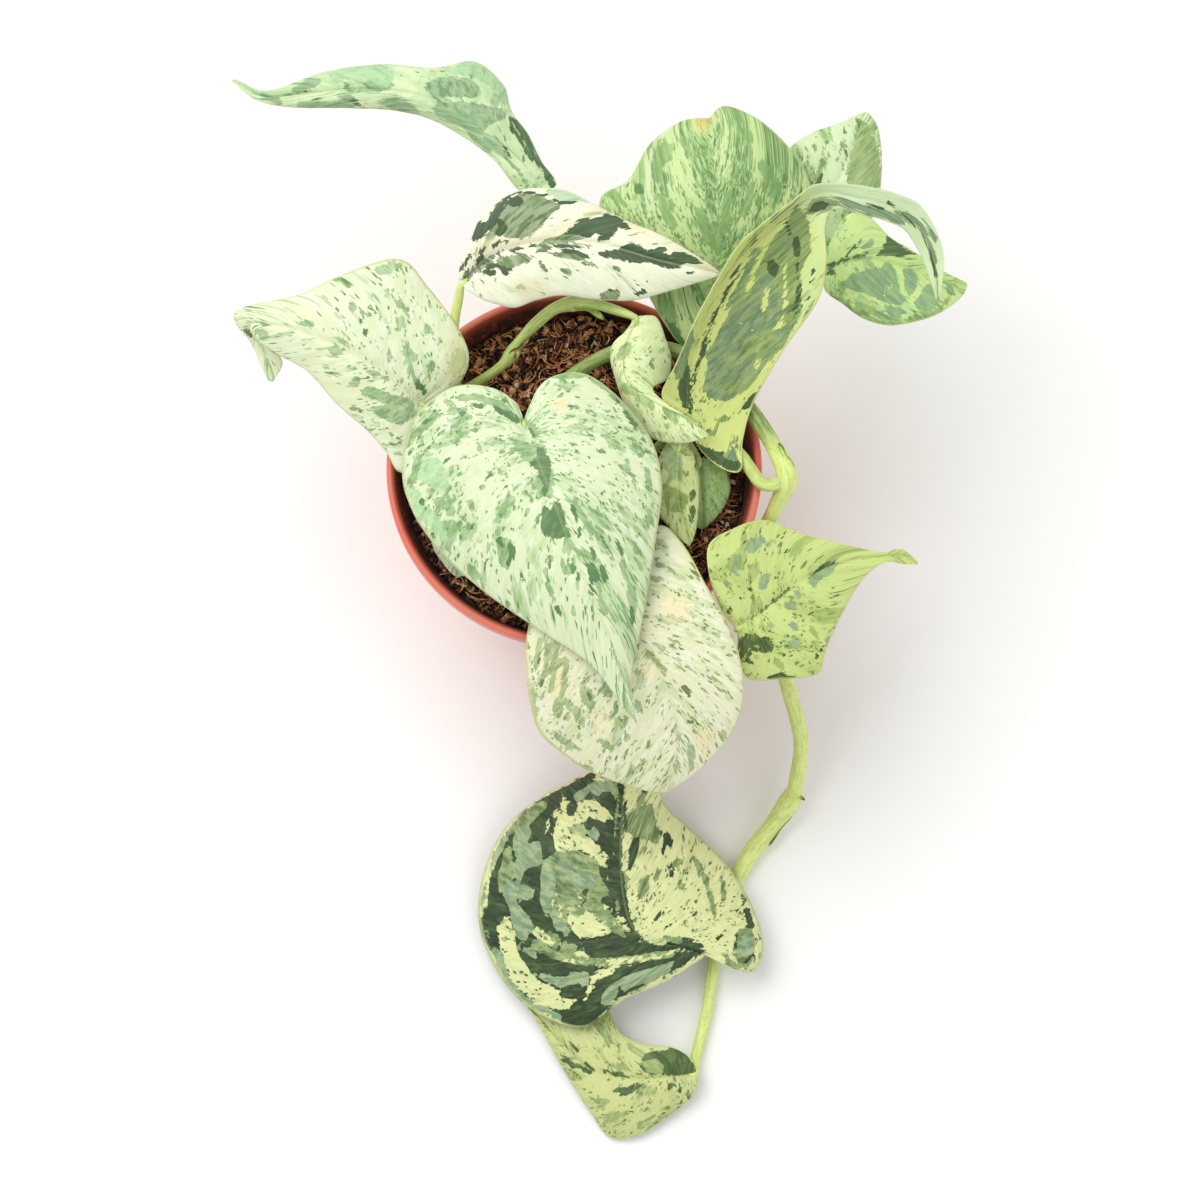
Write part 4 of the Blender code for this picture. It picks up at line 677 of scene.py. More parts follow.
        23.2, 85.5, 21.4, 84.5, 19.4, 86.6)), ("green", (0, 9.7, 90.3, 12.9, 88.7, 18.2, 82, 21.9, 74.9,
        20.2, 75.7, 15, 82.8, 10.8, 86.5)), ("silver", (0.8, 31.1, 107.1, 26.5, 103.8, 24.5, 97.3, 23.6,
        86.9, 24.4, 78.4)), ("dark", (1.3, 30.6, 46.7, 33.1, 42, 34.6, 39.1)), ("green", (1.6, 29.1, 52.4,
        31.8, 46.7)), ("tint_and_shade", (1.8, 40.8, 107.8, 42.8, 110.1)),
    ],
    "leaf_arched": [
        ("silver", (0, 57.1, 65, 60.6, 67.7, 64.2, 70.4, 68.7, 73.4, 71, 75.2, 69.6, 73.9, 65.3, 70.9,
        61.8, 68.2, 58.8, 65.7)), ("green", (0, 41.9, 22.5, 43.3, 27, 43.9, 32.9, 46.2, 37.3, 48.9, 43.6,
        52.5, 49.1, 55.4, 55, 58.3, 60.6, 60.6, 62.9, 66.6, 68.4, 70.5, 74.7, 73.5, 71.8, 75.4, 66.2,
        75.2, 60.9, 72.8, 55.7, 72.4, 49, 72.4, 43.5, 70, 38.3, 66, 32.7, 61.4, 28.2, 56.6, 22.7, 52.2,
        19.5, 47.7, 18.5, 43.2, 19.7)), ("silver", (0, 41.2, 22.4, 42.5, 27, 42.6, 32, 44.9, 36.3, 47.5,
        40.2, 48.8, 43.6, 52.4, 45.9, 56.3, 48.8, 59.9, 54.4, 63.2, 58.2, 64.4, 50, 68.9, 48, 71.1, 43.1,
        69.1, 38.4, 65.4, 33.7, 61.1, 27.9, 55.9, 23, 51.9, 19.5, 47.9, 18.7, 43.2, 20)), ("clear", (0.7,
        61.6, 68.3, 56.8, 61.9, 53.6, 55.1, 50.6, 47.8, 47.4, 41.5), (0.6, 60.6, 62.5, 57.6, 56.1, 55.7,
        50.4), (0.45, 56.6, 62.5, 53.5, 56.9, 51.3, 51.8), (0.8, 60.6, 44, 61.1, 47.5, 61.9, 50.2), (0.7,
        64.7, 39.3, 67.1, 40.5), (0.5, 53.2, 41, 57.7, 38.9), (0.4, 54, 36.5, 56.5, 34.3), (0.4, 58.7,
        28.3, 60.7, 33.1)), ("green", (1.6, 54.5, 33.1, 58.3, 35.9)), ("clear", (0.4, 68.1, 47.1, 66.7,
        41.6)), ("green", (0, 58.2, 36.7, 62.8, 38.9, 64.7, 35.7, 61, 31.1, 58.6, 30), (0, 47.2, 23.6,
        53.7, 26.2, 55.4, 23.3, 50.3, 20.3)), ("silver", (1.1, 52.5, 49.9, 55.6, 56.7, 58.3, 61.8), (0.9,
        49.2, 45.9, 52.6, 51.8)), ("dark", (0, 61.2, 58.3, 63.7, 59.5, 65.7, 56.7, 64.1, 53.7, 61.9,
        55.6), (0, 69.4, 64.9, 71.2, 65.9, 72.3, 62.4, 71.9, 58.9, 69.8, 59.6), (0.8, 67.3, 69.6, 68.5,
        66.7)), ("silver", (1, 66.7, 65.7, 68.8, 61.4)), ("green", (0, 68.1, 58.2, 72, 57.9, 72.1, 46.9,
        71.1, 41.5, 68.5, 37.9, 67.2, 42.2, 68.1, 47.1)), ("dark", (0.6, 71, 57.3, 71.5, 49.9, 70.3,
        # The dark stroke of half width 0.62 on the next line runs along the sunk midrib and is painted
        # crease shade
        42.5)), ("clear", (0.3, 67.3, 57.6, 67.3, 47.1)), ("dark", (0.62, 37.4, 15.3, 38.6, 23.6, 40.1,
        30.3, 42.4, 37.2, 46.3, 45.3, 50.3, 52.8, 53.5, 59.7, 57.6, 64.5)), ("tint_and_shade", (0, 72.5, 56, 75.6,
        61, 76.8, 64.9, 75.4, 71.6, 78, 71.6, 80.5, 66.5, 79.7, 58.7, 78.4, 49.6, 74.8, 41.7, 69.8, 35,
        65.6, 31.8, 69.8, 38.3, 72.7, 43.3, 73.2, 49.6)), ("dark", (0.45, 75.8, 51.8, 76.3, 55.1), (0.35,
        74.6, 46.8, 75.3, 48)), ("green", (0.4, 72.3, 38.4, 76.1, 45.2)), ("dark", (0, 33.9, 27.4, 36.3,
        29.8, 38.4, 25.8, 37.5, 20, 36.4, 14.5, 34.9, 17.1, 33.5, 22.1)), ("silver", (1.6, 33.5, 25.8,
        34.8, 31.1, 37.1, 35.1)), ("clear", (0.4, 38.6, 26.9, 37.8, 18.8)), ("dark", (0, 53.8, 15.9, 55.1,
        17.9, 57.7, 20, 60.3, 22.9, 59.3, 18.6, 56.8, 16.5)), ("green", (0, 42.3, 10.1, 44.3, 10.6, 45.9,
        9.2, 44, 7.9), (0.7, 45.9, 13.1, 49.9, 13.9), (0.6, 49.8, 3.4, 51.2, 6.5), (0.6, 52.4, 4.5, 51.7,
        # The dark area that starts on the next line, along the lobe's edge by the notch, is painted shade
        # of the lobe's underside
        8.3)), ("dark", (0, 37.5, 7.3, 40.7, 5.6, 45.9, 3.9, 50.5, 2.7, 53.1, 0.8, 56.3, -4.3, 52.5, -3.1,
        46.5, -0.9, 41.4, 1.1)), ("silver", (0, 48, 2.5, 51.8, 4.7, 53.1, 0.1, 49.8, 0.8)), ("green", (0,
        # The green area on the next line and the dark area after it, where the blade arches over, are
        # painted shade of its underside
        73, 71.7, 73.6, 74, 75.4, 75.9, 78.6, 76.7, 82.4, 76.3, 84.9, 74.7, 83, 73.7, 78.7, 71.9, 75.4,
        71)), ("dark", (0, 74.2, 72.3, 75.4, 74.5, 78.6, 75.7, 81.1, 74.6, 79.9, 72.8, 76.7, 72)),
        ("silver", (0, 82.9, 76.5, 86.9, 76.3, 90.6, 74.9, 97.1, 74.2, 103, 73.1, 106.3, 70.9, 103.8,
        69.8, 96.7, 71.2, 90.3, 72.5, 85, 74.2)), ("dark", (0.5, 93.2, 74.5, 98.3, 74.1)), ("tint_and_shade", (0,
        97, 77.2, 103.6, 74.6, 110.1, 71.2, 115, 65.4, 117.1, 57.7, 117.3, 51.7, 115.2, 57.6, 111.8, 64.5,
        105.1, 69.8, 97.1, 72.8)), ("silver", (0.9, 105.5, 73.2, 110.5, 69.9, 113.6, 65.3, 115.7, 60.2)),
        ("dark", (0.35, 99.6, 75.8, 105.6, 72, 110.1, 69.2, 113.6, 63.7, 116, 55.8)), ("silver", (0.5,
        111.4, 71.9, 115.5, 66.3)),
    ],
    "leaf_right_tip": [
        ("silver", (0, 86.8, 57.3, 89.9, 59.7, 94, 61.4, 99, 61.9, 100.5, 64.1, 102.9, 62.8, 104.8, 59.3,
        105.5, 54.9, 107.4, 51.6, 105.6, 49.9, 100.4, 51.2, 95.2, 53.3, 90, 55.3), (0, 106.2, 61.2, 109.4,
        62.1, 111.4, 58.8, 110.6, 54.7, 108.7, 52.3, 106.7, 55.4), (0, 99.7, 50.7, 105.6, 49.9, 108.2,
        48.1, 104.4, 46, 101.7, 46.6)), ("clear", (0.4, 100.2, 53.1, 103, 56.6)), ("silver", (0, 111.2,
        52.8, 115.2, 57.5, 117.9, 53.7, 118.4, 50, 115.2, 48.1, 110, 49.3)), ("dark", (0, 97.7, 65.9, 101,
        70.5, 101.2, 72.7, 104, 70.7, 108.1, 68.2, 110.8, 66.3, 105.5, 65.2, 101.7, 65.8)), ("green",
        (0.6, 81.6, 63.7, 88.2, 64.6, 93.3, 65.9)), ("dark", (0.3, 81.2, 63.7, 86.2, 64.8, 91.3, 65.7,
        95.2, 67.2), (0.7, 81.1, 61.2, 83.6, 61.6)), ("silver", (0.9, 93.9, 68.5, 96.4, 70.5)), ("dark",
        (0.3, 81.7, 61.9, 88.2, 66.3, 93.2, 71.1)), ("green", (0, 80.6, 56.2, 85, 54, 90.1, 51.7, 96.5,
        50.4, 101.2, 47.6, 105.8, 45.3, 110.8, 47.5, 115.3, 47.6, 119.8, 51.9, 122.5, 53.2, 119.5, 48.9,
        112.1, 43.9, 104.5, 41.6, 96.7, 43, 89.6, 46.8, 83.1, 52.2)), ("silver", (0, 119.8, 57.1, 122.5,
        57.2, 123.1, 53.3, 121.1, 52.5)), ("clear", (0.4, 89.5, 51.1, 99.2, 46, 108.9, 45.5), (0.3, 100.5,
        48.3, 104.3, 45)),
    ],
    "leaf_upright": [
        # The first green area on the next line, over the right half, is painted shade
        ("green", (0, 92.5, 115.1, 95.7, 113.7, 98.3, 107.5, 100.1, 101.3, 100.1, 92, 89.5, 91.6, 88.9,
        97, 91, 103.8, 92.3, 110), (1, 79.7, 94.7, 81.7, 100.1)), ("dark", (0.8, 78.4, 90.3, 80.9, 94.8)),
        ("green", (0.8, 86.2, 100.1, 87.7, 106.3)),
    ],
    "leaf_folded": [
        ("green", (1.6, 15.4, 32.6, 17.3, 35.2), (1.4, 16.4, 22.9, 19.4, 21.1), (1.2, 21.2, 19, 25, 16.3),
        (1, 29.1, 15.2, 32.8, 11.8)),
    ],
    "leaf_inner": [
        ("silver", (0, 28.5, 6, 33, 3.4, 35.6, 0.2, 34.9, -5.7, 31.7, -5.7, 29.1, -0.6)), ("green", (0,
        28.4, -7.1, 32.9, -8.2, 37.5, -10.8, 35.6, -16, 30.4, -15.4, 28.5, -11.7)), ("dark", (0.7, 38.2,
        -9.4, 37.8, -11.5), (0.7, 38.2, -14.6, 37.8, -18.4)),
    ],
    "leaf_over_rim": [
        ("green", (0, 21.3, -59.6, 24.5, -61, 28.3, -65, 30.3, -67.6, 29.4, -68.5, 25.9, -64.7, 22.3,
        -62.2), (0, 19.3, -64.6, 21.5, -65.6, 21.7, -69.5, 19.7, -69.5), (0, 19.7, -75.7, 21.3, -76.9,
        22.5, -80.1, 20.4, -79.5), (0, 2.1, -68.8, 3.3, -71.2, 5.9, -73.6, 6, -76, 2.5, -76.6, 2.9, -74.2,
        1.3, -72.2), (0, 8.5, -69.5, 10.4, -71.1, 13.4, -74.8, 11, -75.3, 8.9, -73.1), (1.2, -5.8, -77.1,
        -3, -75.4, -1.2, -77.8), (0, -9.6, -58.9, -5.7, -57.8, -2.5, -57.9, -5.7, -60.8, -8.4, -63.9,
        -9.7, -62.8), (1, -4.5, -65.3, -3.4, -64)), ("dark", (0.6, -10.8, -71.2, -10.1, -68.6)), ("green",
        (0, -10.3, -84, -6.6, -85.1, -1.4, -87.2, 2.6, -90.3, -0.9, -90.3, -5.9, -87.2), (0.9, 8.4, -87.9,
        11.8, -89.7), (1.2, 17, -87), (0, 21.3, -92.8, 23.5, -93.1, 24.2, -94.8, 22.2, -94.7), (0, 31.2,
        -92.9, 34, -93.9, 35.3, -96.9, 33.3, -97.4), (0, 36.8, -88.6, 39.1, -88.6, 39.8, -95.2, 37.9,
        -96.1)), ("dark", (0.6, 35.7, -71.6, 37.3, -74), (0.7, 37, -81.7, 38.3, -82.2), (0.5, 30.9, -42,
        33.6, -43.2)), ("green", (0.7, 26, -59.2, 28.4, -60.8)), ("dark", (0.4, 45, -45.5, 49.1, -51.4,
        51, -55.7)), ("tint_and_shade", (3, 42.5, -87.4), (4.5, 32.9, -47.8), (3, 8.7, -82.7), (3, 24.3, -66.5),
        (3.5, -8.1, -60.8, -4.4, -72.9)), ("green", (1, -10.9, -57.8, -12.2, -66.3), (0.9, -8.6, -56,
        -9.5, -68.8), (1.2, -5.7, -57.8, -7.1, -72.9), (1.8, 3, -72.5, 5, -76.6), (1.2, 0.1, -78.9, 2.4,
        -82.3), (1.4, -4.2, -75.9, -5.6, -80.2), (1, -2.4, -64, -3.3, -73), (1.3, -13.7, -72.9, -12.9,
        -81.6)), ("dark", (0.5, -10.6, -61.5, -11.7, -65), (0.5, 3.7, -73.6, 5.4, -76)), ("green", (1.6,
        -9.5, -88.7, -4.7, -93.5), (1.2, -0.8, -94.6, 5.3, -96.4)),
    ],
    "leaf_trailing": [
        ("dark", (0, 5.3, -91.1, -1.6, -94.4, -6.5, -96.7, -11.7, -99.5, -17.3, -104.2, -21.9, -109.9,
        -25.7, -116.9, -29.3, -125.6, -30.4, -134.5, -33.1, -139.8, -32, -145.2, -28.2, -150.9, -24.9,
        -157.3, -22.1, -163.6, -18.6, -166.7, -13.4, -169.2, -7.6, -172.1, -4.4, -175.2, -0.1, -177.5, 5,
        -176.9, 9.2, -172.3, 15.2, -167.6, 25.2, -162, 35.5, -156.8, 44.3, -151, 38.9, -148.8, 28.7,
        -149.5, 21.8, -148, 19.2, -140.9, 16.9, -131.2, 15.9, -120.9, 16, -107.6, 16.9, -95.8, 12.4,
        -92.3)), ("silver", (0, -14.1, -100.6, -18.6, -103.5, -23, -109.4, -28.3, -116.8, -30.6, -125.6,
        -33.2, -133.7, -33.1, -139.8, -31.7, -138.9, -31.8, -134.6, -30.4, -135.6, -30, -129.2, -28.8,
        -123.6, -25.2, -117, -22.2, -111, -18.3, -105.9, -13.9, -103.1)), ("green", (0, -18.6, -103.5,
        -13.2, -100.6, -9.9, -99.6, -9.1, -101.7, -11.7, -104.4, -14, -107.4, -17.7, -108.7, -21.1,
        -110.5, -23, -113.6, -21.7, -108.8), (0, -24.1, -116.3, -22, -114, -21.2, -120.4, -20.8, -125.9,
        -24.1, -127.8, -25.7, -131.3, -26.5, -126.5, -25.4, -121.6)), ("silver", (0, -21.3, -115.4, -20.9,
        -111.8, -19.6, -109, -16.8, -108, -14.7, -110.2, -15.5, -112.9, -16.4, -114.9, -13.7, -113.8,
        -11.7, -114.3, -10.8, -121.5, -13.2, -122.6, -15.8, -123.1, -17.8, -125, -18.3, -127.6, -20.7,
        -126, -21.5, -122, -19.9, -119), (0, -24.9, -128.9, -21.6, -126.3, -19.1, -128.5, -15.6, -129.3,
        -14, -131.3, -15, -134.7, -17.8, -133.4, -19.9, -132.4, -19.4, -135.2, -17.1, -137.7, -15.5,
        -139.6, -13.6, -142.7, -15.5, -145.4, -17.4, -147.9, -19.9, -145.6, -21.1, -141.2, -22.5, -136.3,
        -24.2, -132.3), (0, -10.7, -121.1, -8.2, -119.3, -6.2, -124.1, -6.7, -131.1, -7.9, -136.8, -9.6,
        -139.5, -11.6, -135.8, -11.7, -127.2)), ("green", (0, -8.7, -122.1, -6.3, -117.5, -3, -116.9, 1.7,
        -118.7, 6.9, -121.1, 9.7, -124.5, 11.1, -129.2, 9.8, -133.2, 8.4, -134.3, 11.7, -138.5, 15.1,
        -143.2, 17.7, -147.2, 13.5, -145.7, 9.4, -141.7, 5.9, -138.6, 2.4, -135.9, -0.8, -136.2, -3.2,
        -139, -1.6, -143.9, -3.2, -147.3, -6.5, -143.6, -8.9, -139.7, -8.3, -134.4, -6, -129.6)),
        ("silver", (0, -10.4, -138.8, -6.5, -138.1, -4.3, -141.7, -0.9, -145.6, -4.5, -146.9, -8.1,
        -144.2), (0, -6.4, -121.5, -3.1, -120.2, -0.5, -123.4, -1.7, -127.5, -5.1, -126.3), (0, -0.6,
        -125, 4.9, -123.8, 6.9, -129.1, 3.4, -133.2, -0.6, -130.4)), ("clear", (0, -4.6, -98.6, -1.5,
        -100.9, 0.2, -100.3, 3, -101.1, 5.7, -100, 7.5, -101.5, 11.1, -105.6, 13.6, -108, 10.1, -108.6,
        7.3, -107.2, 4.6, -106.5, 3, -109.1, 5, -113.5, 7.9, -116, 10.9, -118.8, 11.7, -121.1, 8.8,
        -121.3, 5.2, -118.8, 1.9, -117.1, -0.6, -118, -3.3, -118.6, -6.9, -117.6, -7.5, -113.4, -6.4,
        -108.5, -5.2, -103.5), (0.6, -3, -136.5, -5.1, -132.4), (0.7, -5.1, -116.2, -0.1, -115.7, 4.3,
        -118.4, 8.8, -121.7, 10.8, -123.9), (0.5, -8, -134.2, -4.9, -139.4), (0.4, -0.6, -131, 3.5,
        -134.2), (0, -1.8, -137.2, 1, -135.8, 4.2, -137.8, 6.5, -139.1, 9.6, -142.4, 13.1, -145.1, 10.8,
        -146.7, 7.4, -146.4, 5, -147.5, 1.8, -147.2, -0.7, -144.6, -2.6, -141.1)), ("dark", (0, -3.3,
        -105.2, -2.8, -102.5, -1.1, -100.6, 1, -101.1, 0.2, -104.3, -0.8, -106.4), (0.5, 5.2, -103.5, 6.3,
        -104.9, 7.6, -105)), ("silver", (0, -0.8, -99.4, 1.7, -97.3, 4.5, -95.4, 8.3, -94, 12.7, -94.4,
        14.2, -97.5, 12, -100, 9, -98.5, 7.5, -100.4, 5, -97.6, 3.1, -100.2, 1, -101.6)), ("dark", (0,
        7.6, -99.4, 9.9, -97.7, 12.4, -98.5, 13.8, -100.8, 12.3, -102.9, 9.8, -101.5), (0, 2.5, -108.5,
        5.1, -107.2, 7.9, -108.3, 12.4, -108.2, 15.6, -111.6, 15.5, -116.5, 13, -117.6, 11, -116.1, 8.9,
        -118, 7.4, -114.9, 8.7, -111.8, 6.3, -111.2, 4.9, -108.9)), ("silver", (0, 4.7, -111.2, 6.6,
        -109.9, 8.5, -111.8, 7.4, -114.9, 5.4, -113.7)), ("green", (0, -5.1, -168.5, -9.2, -166.9, -13.3,
        -164.1)), ("dark", (0.45, 15.4, -97.6, 15.6, -110.8, 15, -124.3, 16.5, -134.3, 18.6, -141.7, 23.5,
        -148.5)), ("green", (0.5, 13.7, -94.1, 14.2, -104.3, 13.5, -117.6, 14.1, -127.8), (1.5, -9.4,
        -145.7, -4.4, -148.2, 1.7, -151.4)), ("clear", (1.3, -13.2, -144, -9.5, -147, -3.1, -150.9, 4.9,
        -153.9)), ("green", (0.8, -7.7, -149, -1.7, -151.8), (1.4, -13.3, -148.8, -6.4, -152.7, 1.5,
        -154.9, 11.5, -155.3, 21.9, -154, 32, -152.4)), ("clear", (0.35, -5.1, -153.7, 5, -156.1, 15.1,
        -154.5, 25.4, -153.2, 39, -150.8), (0.35, 8.3, -158.7, 18.5, -155.5, 28.8, -153.9), (0.5, 7.2,
        -147.3, 10.2, -143.8)), ("dark", (0.7, -10.2, -137.7, -8.9, -140.1, -6.4, -144.5, -3.2, -147.3, 1,
        -149.1, 3.7, -150.9), (0.9, 9.6, -134.6, 13.8, -139.8, 18.2, -145.4, 22.1, -147.8)), ("clear",
        (0.25, 8.5, -135.4, 13.2, -140.4, 17.5, -144.5), (0.25, 12.3, -137.2, 16.3, -142.5, 20.4,
        -146.5)), ("green", (0.5, 10.6, -129.3, 14.3, -136.4, 17.6, -142.1)), ("silver", (0, -15.3, -158,
        -10.5, -158.7, -6.6, -160.1, -2.5, -158.4, 4.3, -158.4, 4.8, -162.4, 1, -164.5, -3.1, -164.3,
        -7.9, -162.2)), ("dark", (0, -5.3, -165.1, -3.2, -162.8, 1.4, -162.3, 3.8, -164.5, 1.3, -167.1,
        -2.7, -167)), ("silver", (0.9, -18.8, -149.9, -16.1, -150.5, -13.2, -152.6)), ("dark", (1.4, -6.7,
        -158.2, -3.2, -158.8)), ("clear", (0, -26.6, -142, -24.6, -139.5, -22.2, -139.6, -20.5, -144.4,
        -19.8, -149.4, -18.5, -153, -16.2, -157.3, -12.6, -160.7, -8.4, -163, -5, -164.5, -4.7, -167, 0.5,
        -167.7, -1.9, -170.2, -5.3, -170.8, -11.6, -169, -16.5, -166.3, -20.1, -161.7, -23.4, -157, -25.3,
        -150.5)), ("silver", (0, -31, -143.2, -29.9, -147, -27.1, -154.1, -24.5, -160.5, -20.8, -165,
        -14.8, -169.2, -9.2, -172.2, -5.1, -174.7, -4.5, -172.8, -9.3, -170, -15.1, -167.4, -19.1, -163.8,
        -22.8, -158.1, -24.4, -152.4, -28.5, -148, -29.5, -143.1)), ("clear", (0, 4.8, -162.4, 5.6,
        -159.3, 9.1, -157.9, 13.6, -156.2, 16.7, -155.3, 11.8, -159.3, 7.5, -161.2, 4.9, -166.3, 3.1,
        -167.5)), ("silver", (0, 8.4, -169.1, 9.2, -165.8, 12.4, -162.5, 17.3, -159.9, 23.4, -158, 29.3,
        -156.2, 33.4, -154.4, 32, -158.4, 28.6, -160.4, 25.2, -162, 20.5, -162.7, 16.6, -165.2, 15.3,
        -162.8, 13.7, -166.7, 11.2, -169.8)), ("clear", (0.4, 12.5, -169, 21.8, -164.4, 32, -159.5),
        (0.35, -13.3, -99.5, -5.9, -96.2, 1.8, -92.3), (0.5, 6.6, -93.3, 11.9, -94), (0.4, -6.5, -104.3,
        -9.3, -108.4, -10.1, -113.1)), ("dark", (0, 2.4, -131.2, 4, -130.1, 5.4, -133.5, 3.6, -135.1), (0,
        -9.9, -138.7, -8.9, -137.6, -8.5, -141.7, -9.7, -141.9), (0, 7.6, -122.6, 10.8, -122.9, 13.1,
        -126.4, 14.2, -131.2, 12.4, -131.8, 9.5, -129.1)), ("clear", (0.3, 9.8, -125.4, 12.5, -129.1),
        (0.4, -5.2, -109.1, -3.2, -108.4)), ("green", (0, 16.1, -105, 17.9, -105, 21.9, -102.6, 25.8,
        -101.7, 27.3, -105.6, 28.8, -113.1, 27.1, -115, 22.7, -114.2, 18.6, -112.4, 16, -111.6)), ("dark",
        (0, 17.6, -124.6, 18.1, -118.5, 19.6, -114.3, 21.8, -113.5, 21.2, -119.5, 19.3, -124.8)),
        ("green", (0, 20.6, -130.4, 21.9, -126.9, 25.3, -126, 25.2, -128.9, 23.7, -131.9, 22.8, -134.8,
        21.2, -133.7), (0, 25.9, -126.8, 27.5, -122.9, 29.1, -123.5, 29, -127.6, 27, -128.4)), ("dark",
        (0, 28.6, -111.1, 31.7, -111, 33.1, -114.7, 32.6, -117, 30.2, -115.2), (0.4, 29.5, -116.6, 31.1,
        -121.6, 32.9, -125.9)), ("green", (1.2, 34.2, -122, 35.5, -121.2), (0, 34.2, -129.7, 35.6, -127.4,
        38, -129, 36.9, -131.1), (0, 39, -118.3, 41.7, -119.6, 43.8, -122.7, 44.3, -125.1, 47.4, -127,
        43.6, -128.5, 41.4, -124.9), (0.8, 44.4, -128.4, 46.5, -135.4, 47.7, -140.8)), ("dark", (0, 56.9,
        -135.1, 59.4, -137, 61, -142.2, 59.2, -144.5, 58.2, -140.2), (0.6, 56.7, -132.5, 57.6, -134.2)),
        ("green", (0, 55.2, -143.4, 59.7, -143.1, 61.5, -147.7, 60.7, -153.2, 58.6, -156.3, 55.4, -156.7,
        53.2, -150.8)), ("silver", (0, 56.7, -145.2, 59.8, -145.8, 60.1, -151.3, 58.1, -154.1, 55.2,
        -151.4)), ("green", (0, 54.5, -154.9, 49.7, -151.7, 50.8, -155.2, 55.1, -157.1, 57.8, -156.7)),
        ("dark", (0.5, 54.7, -145.8, 54.2, -150.8), (0.6, 57.7, -154.7, 60.1, -152), (0.35, 58.6, -147.5,
        58.9, -148.5), (0, 30.3, -149.7, 31.5, -147.1, 38.9, -147, 44.3, -150.1, 38.9, -151.3)), ("green",
        (0.9, 30.8, -147.1, 35.4, -147.8)), ("dark", (0, 21.9, -96.3, 24.7, -95.2, 24.3, -98.6, 22.4,
        -99.7)), ("green", (0, 21, -98.7, 23.9, -97.9, 23.8, -102, 21.3, -103.4)), ("dark", (0.4, 16.9,
        -100.8, 17.2, -110.9)), ("green", (0.4, 17, -117.9, 17.3, -131.3)), ("dark", (0.5, 27, -141.1,
        29.5, -138.3), (0.4, 30.1, -144.5, 32.1, -142.5), (0.5, 24.1, -135.2, 24.5, -133.8), (0.5, 48.4,
        -147, 49.4, -145.9)), ("green", (0.6, 50.1, -126.8, 50.5, -133.8)),
    ],
    "leaf_trailing_end": [
        ("dark", (0, 22.3, -186.9, 24.1, -185.5, 28.8, -184.9, 32.5, -183.5, 36.2, -183.5, 39, -187.4,
        41.6, -190.1, 40.8, -192, 36.8, -192.4, 32.9, -192.2, 31.4, -192.5, 26.1, -192.7, 23.3, -191.5,
        22.1, -189.6)), ("green", (0, 22.6, -188.2, 27.4, -186.8, 30.1, -189.6, 29.3, -192.3, 24.7,
        -191.5)), ("dark", (0, 11.1, -197.9, 15.2, -196.8, 20, -195.6, 25.4, -194.9, 21.9, -196.9, 19.3,
        -198.9, 16.5, -199.7, 13.8, -198.1), (0.6, 9.8, -190.8, 13.3, -192.2, 18.8, -193), (0.7, -3.8,
        -186.7, -0.4, -189.4), (0.5, 0.9, -189.7, 5.1, -191.5), (0.5, 3.7, -188.7, 6.4, -190.4), (0.5,
        -1.5, -182, 0.8, -184.1)), ("green", (0, 9.8, -179.3, 13.9, -181.5, 17.1, -182.8, 13.9, -183, 9.9,
        -181.1), (0, 12.6, -188.8, 16.5, -188.2, 18.6, -190.8, 15.2, -191.4), (0, 5.2, -200, 10.5, -200.3,
        13.7, -201, 9.7, -202.9, 6.3, -202.1), (0, 9.8, -205.5, 14.5, -204.9, 19.2, -204.3, 15.8, -206.8,
        11.8, -208.2), (0, 20.6, -208.8, 24, -206.9, 27.3, -204.8, 25.5, -207.5, 22.7, -208.9)), ("dark",
        (0.6, 31.6, -196.9, 32.9, -195.5), (0.6, 37.7, -198.2, 38.3, -199.9), (0.5, 36.3, -194.8, 35.5,
        -197.5)), ("green", (0.9, 30.1, -203.4, 31.5, -202.9)),
    ],
    "leaf_right": [
        ("silver", (0, 55.3, -26, 57.6, -23.8, 60.4, -23, 62.1, -24.2, 60.3, -27, 58.4, -29, 55.7, -28.8),
        (0, 62, -25.5, 64.4, -23.7, 65.5, -24.4, 62.9, -26.6), (0, 50.9, -30.7, 53.2, -29, 54, -30, 53.1,
        -32.5, 51.8, -32.2), (0, 65.9, -28.4, 67.2, -26.2, 68.3, -26.6, 66.9, -28.6), (1, 51.5, -34.7,
        52.6, -35.8), (0.9, 49.2, -39.1), (0, 61, -35.2, 62.9, -33.8, 64.1, -35.6, 62.7, -38.2, 61, -40.8,
        60, -39.8, 59.6, -37.2), (0, 76.3, -35.9, 78.1, -32.8, 80.7, -31.3, 86.1, -29.6, 84.2, -33.1,
        80.2, -35.8, 77.5, -39.3)), ("dark", (0.35, 76.3, -35.9, 78.7, -33.2, 81.5, -31.2, 84.7, -30.1)),
        ("silver", (1.1, 72.3, -40.7, 72.6, -41.3), (0, 68.3, -44.8, 70.2, -43.3, 72.9, -43.5, 71.6,
        -45.2, 68.8, -46.1), (0, 61.6, -48.9, 63.5, -49.2, 64.9, -51.2, 64.2, -52.7, 62.6, -51.7), (1,
        70.7, -51.1, 72.2, -51.3), (1.5, 71, -56.5, 72.3, -56.9), (0, 81.5, -54.8, 82.9, -51.4, 84.4,
        -50.7, 84.1, -52.4, 82.8, -55.8)), ("dark", (0.45, 57, -49.6, 60.9, -46.5, 64.8, -43.4, 68.1,
        -40.8, 70, -38.8), (0, 53.5, -55.9, 55.4, -54.1, 59.4, -54, 63, -54.8, 64.6, -57.2, 64.1, -59.5,
        61.7, -59.4, 59.7, -57.7, 57, -58.3, 55.2, -60.8, 54.2, -62.5, 53.6, -59.3), (0.7, 55.1, -57.2,
